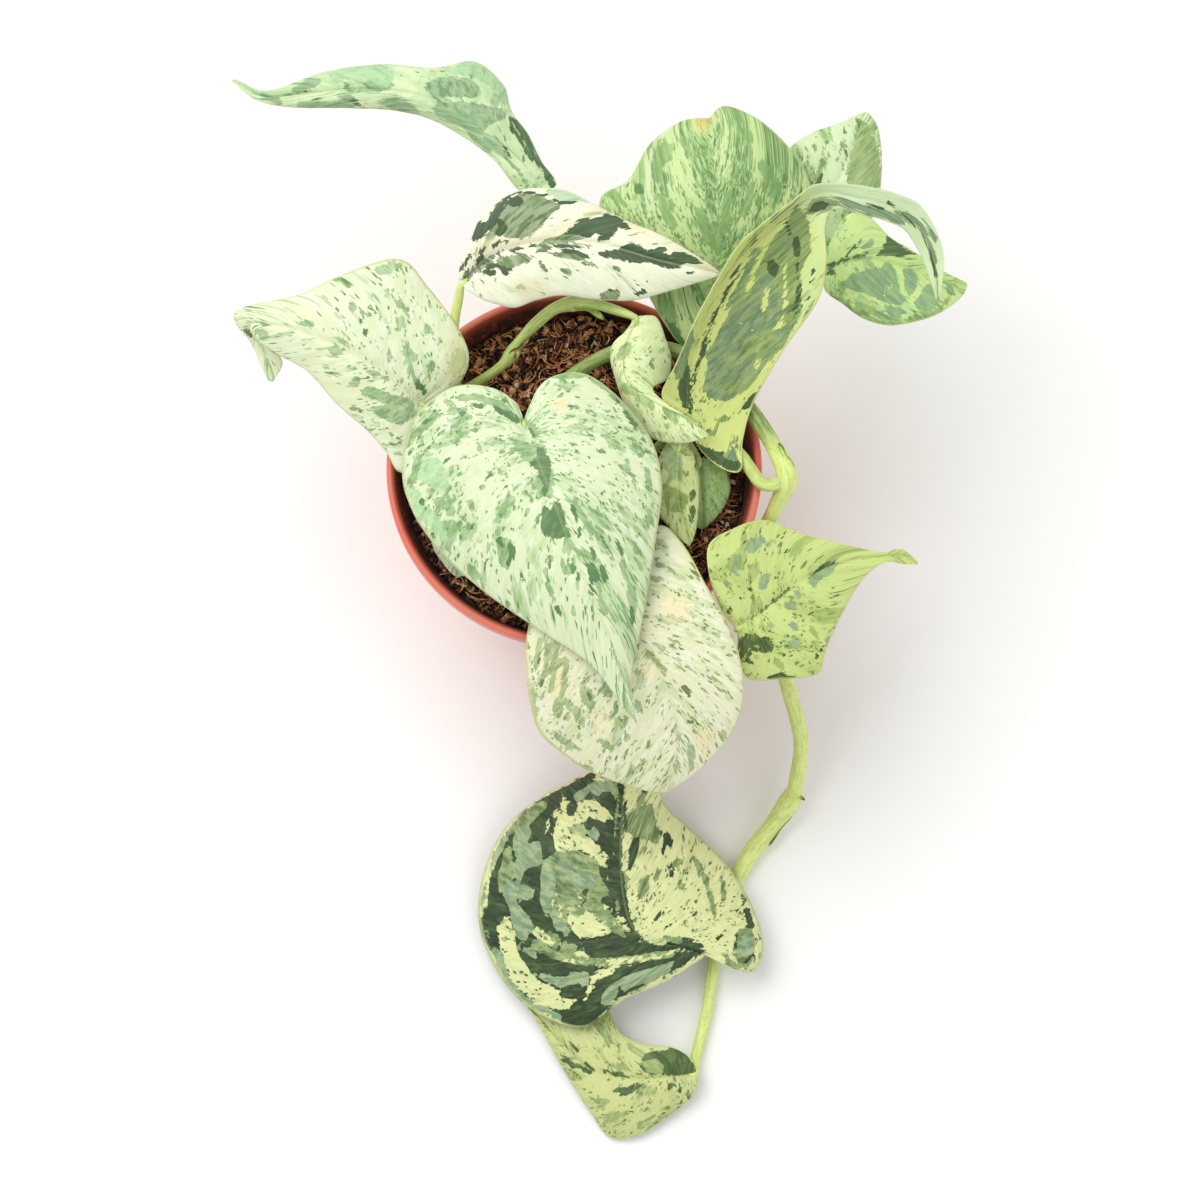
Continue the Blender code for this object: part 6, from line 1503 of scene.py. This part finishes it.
def build_stem(name, finish):
    """All tubes of one stem, with swollen, ringed nodes."""
    points, faces, marks, depths = [], [], [], []
    knobs = np.array(KNOBS.get(name, [FAR_AWAY]), float)
    for k, (knots, leaf) in enumerate(STEMS[name]):
        path = tube_path(knots, leaf)
        gaps = knob_gaps(path[:, :3], knobs)
        swell = NODE_SWELL * np.exp(-((gaps / NODE_SWELL_REACH) ** 2))
        neck = NODE_NECK * np.exp(-((gaps / NODE_NECK_REACH) ** 2))
        path[:, 3] *= (1 + swell - neck).prod(axis=1) * (1 + 0.2 * creeping(path))
        channel = 0.10 if k or name.startswith("petiole") else 0.03

        def shape(turn, way):
            ridges = 0.025 * np.cos(5 * turn + 0.02 * way) + 0.02 * np.sin(0.35 * way + 2 * turn)
            return 1 + ridges - channel * np.exp(-((turn - math.pi) / 0.7) ** 2)

        rings, turns, centre, way = tube_rings(path, STEM_SIDES, shape)
        tube, quads = closed_tube(rings, centre, way)
        base = sum(len(part) for part in points)
        points.append(tube)
        faces += [[corner + base for corner in quad] for quad in quads]
        caps = len(CAP_STEPS)
        turns = np.pad(turns, ((caps, caps), (0, 0), (0, 0)), "edge").reshape(-1, 4)
        turns[:, 3] = np.clip(1 - knob_gaps(tube, knobs).min(axis=1) / NODE_BROWN_REACH, 0, 1)
        marks.append(turns)
        before, after, change = STEM_DEPTH.get(name, {}).get(k, (0.0, 0.0, 1.0))
        share = soft_step(turns[:, 2] / MM, change - 5, change + 5)
        depths.append(np.repeat((before + (after - before) * share)[:, None], 4, 1))
    mesh = new_mesh(name, np.concatenate(points), faces)
    add_marks(mesh, "round", np.concatenate(marks))
    add_marks(mesh, "depth", np.concatenate(depths))
    add_piece(name + "_stem", mesh, [name], [finish])


def stem_finish():
    """Yellow-green skin with darker streaks along it and brown rings at the nodes."""
    finish, g, shader = new_finish("stem skin")
    pale, mid, dark, olive, deep, brown = map(screen_colour, (
        STEM_PALE, STEM_MID, STEM_DARK, STEM_OLIVE, STEM_DEEP, NODE_BROWN
    ))
    marks = g.field("round")
    turn = g.channels(marks["Color"])
    streaks = g.noise(g.vector(turn[0], turn[1], g.scaled(turn[2], 35.0)), 5.5, 3.0)
    fine = g.noise(g.vector(turn[0], turn[1], g.scaled(turn[2], 90.0)), 16.0, 2.0)
    spots = g.noise(g.place(), 420.0, 3.0)
    colour = g.mix(g.step(streaks, 0.40, 0.64), pale, mid)
    colour = g.tinted(colour, dark, g.step(fine, 0.56, 0.68), 0.55)
    colour = g.tinted(colour, dark, g.step(spots, 0.60, 0.68), 0.35)
    deeper = g.mix(g.step(streaks, 0.42, 0.60), olive, deep)
    deeper = g.tinted(deeper, dark, g.step(fine, 0.5, 0.62), 0.5)
    colour = g.mix(g.channels(g.field("depth")["Color"])[0], colour, deeper)
    ringed = g.total(marks["Alpha"], g.scaled(g.total(spots, -0.5), 1.6))
    colour = g.tinted(colour, brown, g.step(ringed, 0.62, 0.92), 0.8)
    rough = g.total(0.38, g.scaled(streaks, 0.15))
    surface(g, shader, colour, rough, g.total(g.scaled(fine, 0.6), spots), 0.3, 0.0003)
    shader.inputs["Specular IOR Level"].default_value = 0.4
    return finish


def sheath_mesh(name, base, tip, width, curl, bow):
    """Sheath of a node: a thin trough that narrows to a point, with uneven edges."""
    base, tip = np.array(base, float), np.array(tip, float)
    way = unit(tip - base)
    side = unit(np.cross(way, (0.2, 0.1, 1.0)))
    up = np.cross(side, way)
    points = []
    for s in np.linspace(0, 1, SHEATH_ROWS):
        middle = base + (tip - base) * s + up * 2.0 * math.sin(math.pi * s) * bow
        half = width * (1 - s) ** 0.6 * (0.75 + 0.25 * math.sin(9 * s))
        for angle in np.linspace(-SHEATH_WRAP, SHEATH_WRAP, SHEATH_COLUMNS):
            bend = curl * (1 - math.cos(angle))
            points.append(middle + side * half * math.sin(angle) + up * bend)
    points = np.array(points)
    both = np.concatenate([points, points - up * SHEATH_THICKNESS])
    return new_mesh(name, both, sheet_faces(SHEATH_ROWS, SHEATH_COLUMNS))


def turned(name, profile, sides):
    """Mesh of a profile of (radius, height) turned round, a little out of round."""
    mesh = bpy.data.meshes.new(name)
    points = [(radius * MM, 0.0, height * MM) for radius, height in profile]
    mesh.from_pydata(points, [(i, i + 1) for i in range(len(points) - 1)], [])
    source = bpy.data.objects.new(name, mesh)
    bpy.context.scene.collection.objects.link(source)
    screw = source.modifiers.new("turn", "SCREW")
    screw.steps = screw.render_steps = sides
    screw.use_merge_vertices = True
    screw.merge_threshold = 0.00001
    graph = bpy.context.evaluated_depsgraph_get()
    made = bpy.data.meshes.new_from_object(source.evaluated_get(graph))
    bpy.data.objects.remove(source, do_unlink=True)
    for vertex in made.vertices:
        vertex.co.x *= POT_OVAL[0]
        vertex.co.y *= POT_OVAL[1]
    return made


def wall_inside(height):
    """Radius of the pot's inner wall at a height."""
    rise = (height - FOOT_RECESS - WALL) / (POT_HEIGHT - FOOT_RECESS - WALL)
    low = FOOT_RADIUS - WALL
    return low + (LIP_RADIUS - LIP_WIDTH - low) * rise


def arc(centre, radius, start, end, count):
    """Points of a rounded corner, angles in degrees from +radius towards +height."""
    angles = [math.radians(start + (end - start) * k / count) for k in range(count + 1)]
    return [(centre[0] + radius * math.cos(a), centre[1] + radius * math.sin(a)) for a in angles]


def pot_profile():
    """Half of the pot cut through its middle, from the inside of its floor to the underside."""
    floor = FOOT_RECESS + WALL
    under_lip = POT_HEIGHT - LIP_HEIGHT
    top = LIP_WIDTH / 2
    outside = [(WALL_TOP_RADIUS, under_lip)]
    outside += [
        (FOOT_RADIUS + (WALL_TOP_RADIUS - FOOT_RADIUS) * h / under_lip, h)
        for h in (60.0, 40.0, 20.0, 6.0, 1.5)
    ]
    inside = [(wall_inside(h), h) for h in (floor + 1.0, 20.0, 40.0, 60.0, 80.0, 88.0)]
    return (
        [(0.0, floor), (wall_inside(floor) - 1.2, floor)] + inside
        + arc((LIP_RADIUS - top, POT_HEIGHT - top), top, 180, 0, 10)
        + arc((LIP_RADIUS - 0.6, under_lip + 0.6), 0.6, 0, -90, 4)
        + outside
        + [(FOOT_RADIUS - FOOT_CHAMFER, 0.0), (FOOT_RADIUS - FOOT_RING, 0.0),
           (FOOT_RADIUS - FOOT_RING - FOOT_CHAMFER, FOOT_RECESS),
           (FOOT_PAD + FOOT_CHAMFER, FOOT_RECESS), (FOOT_PAD, 0.0), (0.0, 0.0)]
    )


def pot_finish():
    """Terracotta-coloured moulded plastic, scuffed; its inner wall is darkened as painted shade,
    and a dark smear low inside it is partly soil and partly painted shade.
    """
    finish, g, shader = new_finish("terracotta plastic")
    scuff, shaded, soil = map(screen_colour, (POT_SCUFF, POT_INSIDE_SHADE, POT_DIRT_AND_SHADE))
    where = g.place()
    x, y, z = g.parts(where)
    broad = g.noise(where, 60.0, 3.0)
    grain = g.noise(where, 1400.0, 2.0, 0.6)
    smear = g.noise(where, 240.0, 4.0, 0.6)
    settings = bpy.context.scene.aroid_pot
    colour = g.mix(g.step(broad, 0.3, 0.7), settings.colour, settings.faded_colour)
    colour = g.tinted(colour, scuff, g.step(smear, 0.58, 0.72), 0.18)
    unbent = g.vector(g.scaled(x, 1 / POT_OVAL[0]), g.scaled(y, 1 / POT_OVAL[1]), 0.0)
    radius = g.add("ShaderNodeVectorMath", {0: unbent}, operation="LENGTH").outputs["Value"]
    # Painted shade: the inner wall, found by its radius, is darkened all over
    wall = g.total(g.scaled(z, WALL_SLOPE), WALL_BASE)
    inside = g.step(g.less(wall, radius), -0.0012, 0.0012)
    low = g.less(1.0, g.step(z, *DIRT_AND_SHADE_LINE))
    colour = g.tinted(colour, shaded, inside, 0.75)
    # A dark smear low on the inner wall, partly soil and partly painted shade
    dirt_and_shade = g.scaled(g.scaled(inside, low), g.step(smear, 0.30, 0.48))
    colour = g.tinted(colour, soil, dirt_and_shade, 0.9)
    rough = g.total(0.30, g.blend((broad, 0.22), (dirt_and_shade, 0.4)))
    height = g.blend((grain, 0.5), (smear, 0.5), (dirt_and_shade, 1.5))
    surface(g, shader, colour, rough, height, 0.22, 0.0004)
    shader.inputs["Specular IOR Level"].default_value = 0.5
    return finish


def crumb_height(x, y):
    """Height of the soil over its mean level, in millimetres."""
    swell = math.sin(0.11 * x + 0.7) * math.cos(0.13 * y - 0.4)
    lumps = noise.fractal((x * 0.16, y * 0.16, 3.0), 0.9, 2.1, 4)
    grit = noise.fractal((x * 0.55, y * 0.55, 9.0), 0.7, 2.0, 3)
    return SOIL_SWELL * swell + SOIL_LUMPS * lumps + SOIL_GRIT * grit


def build_soil_bed(finish):
    """Body of potting mix with a crumbled top."""
    top = wall_inside(SOIL_LEVEL) - 0.3
    floor = FOOT_RECESS + WALL + 0.35
    bottom = wall_inside(floor) - 1.15
    profile = [(0.0, SOIL_LEVEL)]
    profile += [(top * (k / SOIL_RINGS) ** 0.8, SOIL_LEVEL) for k in range(1, SOIL_RINGS + 1)]
    profile += [(bottom, floor), (0.0, floor)]
    mesh = turned("soil_bed", profile, SOIL_SPOKES)
    for vertex in mesh.vertices:
        x, y, z = (value / MM for value in vertex.co)
        if z > SOIL_LEVEL - 1:
            inner = 1 - soft_step(math.hypot(x / POT_OVAL[0], y / POT_OVAL[1]), top - 4, top)
            vertex.co.z += (crumb_height(x, y) * inner - 0.4 * (1 - inner)) * MM
    mesh.shade_smooth()
    add_piece("soil_bed", mesh, ["soil"], [finish])


def mottled_finish(name, dark, light, grain, roughness):
    """Dry matt finish that wanders between two colours: potting mix, bark, coir and sheaths."""
    finish, g, shader = new_finish(name)
    where = g.place()
    coarse = g.noise(where, grain, 4.0, 0.65)
    fine = g.noise(where, grain * 3.5, 3.0, 0.6)
    spread = g.step(g.blend((coarse, 0.6), (fine, 0.4)), 0.45, 0.61)
    colour = g.mix(spread, screen_colour(dark), screen_colour(light))
    rough = g.total(roughness, g.scaled(fine, 0.1))
    surface(g, shader, colour, rough, g.total(coarse, fine), 0.8, 0.0006)
    shader.inputs["Specular IOR Level"].default_value = 0.3
    return finish


def scatter_bits(name, rng, count, make, finish):
    """Loose bits strewn over the soil, all in one mesh."""
    points, faces, base = [], [], 0
    reach = wall_inside(SOIL_LEVEL) - 1.5
    for _ in range(count):
        angle = rng.uniform(0, 2 * math.pi)
        radius = reach * math.sqrt(rng.uniform(0, 1))
        x, y = radius * math.cos(angle) * POT_OVAL[0], radius * math.sin(angle) * POT_OVAL[1]
        ground = SOIL_LEVEL + crumb_height(x, y)
        bit, quads = make(rng)
        points.append(bit + (x, y, ground))
        faces += [[corner + base for corner in quad] for quad in quads]
        base += len(bit)
    mesh = new_mesh(name, np.concatenate(points), faces)
    add_piece(name, mesh, [], [finish])


def fibre(rng):
    """Bent coir fibre, four-sided."""
    length, radius = rng.uniform(*FIBRE_LENGTH), rng.uniform(*FIBRE_RADIUS)
    heading = rng.uniform(0, 2 * math.pi)
    bend = rng.uniform(*FIBRE_BEND)
    rise = rng.uniform(*FIBRE_RISE)
    path = []
    for k in range(FIBRE_POINTS):
        s = k / (FIBRE_POINTS - 1) - 0.5
        turn = heading + bend * s
        place = (length * s * math.cos(turn), length * s * math.sin(turn),
                 rise * (1 - 4 * s * s) + 0.25)
        path.append((*place, radius * (1 - 0.5 * abs(s))))
    rings, *_ = tube_rings(np.array(path), 4, lambda turn, way: np.ones(len(turn)))
    return rings.reshape(-1, 3), tube_faces(*rings.shape[:2])


def chip(rng):
    """Splinter of bark: a rough, flattened block."""
    size = np.array([rng.uniform(*limits) for limits in CHIP_SIZE])
    block = np.array([(x, y, z) for x in (-1, 1) for y in (-1, 1) for z in (-1, 1)], float)
    block = block * size / 2 * rng.uniform(*CHIP_STRAY, block.shape)
    turn, tilt = rng.uniform(0, 2 * math.pi), rng.uniform(*CHIP_TILT)
    c, s, ct, st = math.cos(turn), math.sin(turn), math.cos(tilt), math.sin(tilt)
    tip = np.array([[ct, 0, st], [0, 1, 0], [-st, 0, ct]])
    spin = np.array([[c, -s, 0], [s, c, 0], [0, 0, 1]])
    quads = [(0, 1, 3, 2), (4, 6, 7, 5), (0, 4, 5, 1), (2, 3, 7, 6), (0, 2, 6, 4), (1, 5, 7, 3)]
    return block @ tip.T @ spin.T + (0, 0, 0.35), quads


class AROID_PG_pot(bpy.types.PropertyGroup):
    colour: bpy.props.FloatVectorProperty(
        name="Colour", description="Colour of the pot's plastic", subtype="COLOR", size=4,
        min=0.0, max=1.0, default=screen_colour((228, 108, 86)),
    )
    faded_colour: bpy.props.FloatVectorProperty(
        name="Faded colour", description="Colour where the plastic has faded", subtype="COLOR",
        size=4, min=0.0, max=1.0, default=screen_colour((216, 120, 96)),
    )


class AROID_PG_soil(bpy.types.PropertyGroup):
    fibres: bpy.props.IntProperty(
        name="Fibres", description="Coir fibres strewn over the soil", default=1100, min=0
    )
    chips: bpy.props.IntProperty(
        name="Chips", description="Bark splinters strewn over the soil", default=2100, min=0
    )
    seed: bpy.props.IntProperty(name="Seed", description="Seed of the strewing", default=11)


class AROID_PG_stage(bpy.types.PropertyGroup):
    floor_size: bpy.props.FloatProperty(
        name="Floor", description="Side of the floor", default=6.0, unit="LENGTH"
    )
    floor_colour: bpy.props.FloatVectorProperty(
        name="Floor colour", description="Colour of the floor", subtype="COLOR", size=4,
        min=0.0, max=1.0, default=(0.93, 0.93, 0.92, 1.0),
    )
    key_power: bpy.props.FloatProperty(
        name="Key light", description="Power of the large soft lamp", default=16.5, unit="POWER"
    )
    sky: bpy.props.FloatProperty(
        name="Sky", description="Strength of the even light from all round", default=0.66
    )


class AROID_OT_pot(bpy.types.Operator):
    """Turn the pot and drill its drain holes"""
    bl_idname = "aroid.pot"
    bl_label = "Pot"

    def execute(self, context):
        mesh = turned("nursery_pot", pot_profile(), POT_SIDES)
        piece = add_piece("nursery_pot", mesh, ["pot"], [pot_finish()])
        shape = bmesh.new()
        for k in range(DRAIN_HOLES):
            turn = 2 * math.pi * (k + 0.5) / DRAIN_HOLES
            made = bmesh.ops.create_cone(
                shape, cap_ends=True, segments=32, radius1=DRAIN_RADIUS * MM,
                radius2=DRAIN_RADIUS * MM, depth=8 * MM,
            )
            place = (DRAIN_CIRCLE * math.cos(turn) * MM, DRAIN_CIRCLE * math.sin(turn) * MM, 0.002)
            bmesh.ops.translate(shape, verts=made["verts"], vec=place)
        drill = bpy.data.meshes.new("drain drill")
        shape.to_mesh(drill)
        shape.free()
        cutter = bpy.data.objects.new("drain_drill", drill)
        context.scene.collection.objects.link(cutter)
        boolean = piece.modifiers.new("drain holes", "BOOLEAN")
        boolean.operation = "DIFFERENCE"
        boolean.object = cutter
        graph = context.evaluated_depsgraph_get()
        cut = bpy.data.meshes.new_from_object(piece.evaluated_get(graph))
        piece.modifiers.clear()
        piece.data = cut
        bpy.data.objects.remove(cutter, do_unlink=True)
        cut.shade_smooth()
        cut.set_sharp_from_angle(angle=math.radians(42))
        return {"FINISHED"}


class AROID_OT_soil(bpy.types.Operator):
    """Fill the pot with potting mix, with bark splinters and coir fibres on top"""
    bl_idname = "aroid.soil"
    bl_label = "Soil"

    def execute(self, context):
        settings = context.scene.aroid_soil
        rng = np.random.default_rng(settings.seed)
        build_soil_bed(mottled_finish("potting mix", (16, 11, 9), (124, 82, 56), 420.0, 0.85))
        bark = mottled_finish("bark splinters", (170, 100, 62), (255, 222, 176), 300.0, 0.75)
        dark_bark = mottled_finish("dark splinters", (20, 14, 12), (222, 156, 114), 300.0, 0.8)
        coir = mottled_finish("coir fibre", (206, 122, 70), (255, 214, 150), 260.0, 0.7)
        pale = mottled_finish("pale grit", (196, 174, 146), (246, 226, 196), 300.0, 0.8)
        scatter_bits("soil_bark", rng, settings.chips // 4, chip, bark)
        scatter_bits("soil_grit", rng, settings.chips // 40, chip, pale)
        scatter_bits("soil_crumbs", rng, 3 * settings.chips // 4, chip, dark_bark)
        scatter_bits("soil_fibres", rng, settings.fibres, fibre, coir)
        return {"FINISHED"}


class AROID_OT_stems(bpy.types.Operator):
    """Grow the stems and petioles, with their nodes and sheaths"""
    bl_idname = "aroid.stems"
    bl_label = "Stems"

    def execute(self, context):
        skin = stem_finish()
        for name in STEMS:
            build_stem(name, skin)
        finishes = {
            "dry": mottled_finish("dry sheath", (122, 110, 62), (196, 184, 112), 300.0, 0.6),
            "green": mottled_finish("green sheath", (112, 146, 62), (176, 200, 108), 160.0, 0.5),
        }
        for k, (kind, *sheath) in enumerate(SHEATHS):
            name = f"node_sheath_{k}"
            add_piece(name, sheath_mesh(name, *sheath), [], [finishes[kind]])
        return {"FINISHED"}


class AROID_OT_leaves(bpy.types.Operator):
    """Spread all the leaf blades, each with its own marbling"""
    bl_idname = "aroid.leaves"
    bl_label = "Leaves"

    def execute(self, context):
        flow = vein_flow_group()
        group = blade_colour_group(flow, marks_group(flow))
        for seed, (name, look) in enumerate(LOOKS.items()):
            build_leaf(name, look, group, 11.7 * (seed + 1))
        return {"FINISHED"}


class AROID_OT_stage(bpy.types.Operator):
    """Set the pale floor, the soft light and the camera"""
    bl_idname = "aroid.stage"
    bl_label = "Stage"

    def execute(self, context):
        settings = context.scene.aroid_stage
        shape = bmesh.new()
        bmesh.ops.create_grid(shape, x_segments=1, y_segments=1, size=settings.floor_size / 2)
        mesh = bpy.data.meshes.new("floor")
        shape.to_mesh(mesh)
        shape.free()
        floor = bpy.data.objects.new("floor", mesh)
        floor.location.z = FLOOR_LEVEL
        context.scene.collection.objects.link(floor)
        finish, _, shader = new_finish("pale floor")
        shader.inputs["Base Color"].default_value = settings.floor_colour
        shader.inputs["Roughness"].default_value = 0.9
        shader.inputs["Specular IOR Level"].default_value = 0.1
        mesh.materials.append(finish)
        for name, (place, size, share) in LAMPS.items():
            self.light(name, place, size, settings.key_power * share)
        world = bpy.data.worlds.new("studio")
        world.use_nodes = True
        back = world.node_tree.nodes["Background"]
        back.inputs["Color"].default_value = (1.0, 1.0, 1.0, 1.0)
        back.inputs["Strength"].default_value = settings.sky
        context.scene.world = world
        self.camera(context)
        context.scene.view_settings.view_transform = "Standard"
        return {"FINISHED"}

    def light(self, name, place, size, power):
        lamp = bpy.data.lights.new(name, "AREA")
        lamp.size = size
        lamp.energy = power
        holder = bpy.data.objects.new(name, lamp)
        holder.location = place
        holder.rotation_euler = holder.location.to_track_quat("Z", "Y").to_euler()
        bpy.context.scene.collection.objects.link(holder)

    def camera(self, context):
        lens = bpy.data.cameras.new("camera")
        lens.lens = LENS
        lens.sensor_width = SENSOR
        lens.clip_start = 0.05
        eye = bpy.data.objects.new("camera", lens)
        rise = math.radians(CAMERA_RISE)
        eye.location = (
            AIM[0], AIM[1] - CAMERA_DISTANCE * math.cos(rise),
            AIM[2] + CAMERA_DISTANCE * math.sin(rise),
        )
        eye.rotation_euler = (math.radians(90 - CAMERA_RISE), 0.0, 0.0)
        context.scene.collection.objects.link(eye)
        context.scene.camera = eye


class AROID_PT_panel(bpy.types.Panel):
    """Lists the steps that dress the plant"""
    bl_label = "Trailing aroid"
    bl_idname = "AROID_PT_panel"
    bl_space_type = "VIEW_3D"
    bl_region_type = "UI"
    bl_category = "Aroid"

    def draw(self, context):
        layout = self.layout
        for group in (context.scene.aroid_pot, context.scene.aroid_soil, context.scene.aroid_stage):
            for key in group.__annotations__:
                layout.prop(group, key)
        for step in STEPS:
            layout.operator(step.bl_idname)


STEPS = (AROID_OT_stage, AROID_OT_pot, AROID_OT_soil, AROID_OT_stems, AROID_OT_leaves)
SETTINGS = {
    "aroid_pot": AROID_PG_pot, "aroid_soil": AROID_PG_soil, "aroid_stage": AROID_PG_stage,
}


def register():
    for name, settings in SETTINGS.items():
        bpy.utils.register_class(settings)
        setattr(bpy.types.Scene, name, bpy.props.PointerProperty(type=settings))
    for step in (*STEPS, AROID_PT_panel):
        bpy.utils.register_class(step)


def unregister():
    for step in reversed((*STEPS, AROID_PT_panel)):
        bpy.utils.unregister_class(step)
    for name, settings in SETTINGS.items():
        delattr(bpy.types.Scene, name)
        bpy.utils.unregister_class(settings)


def main():
    register()
    bpy.ops.aroid.stage()
    bpy.ops.aroid.pot()
    bpy.ops.aroid.soil()
    bpy.ops.aroid.stems()
    bpy.ops.aroid.leaves()


if __name__ == "__main__":
    main()
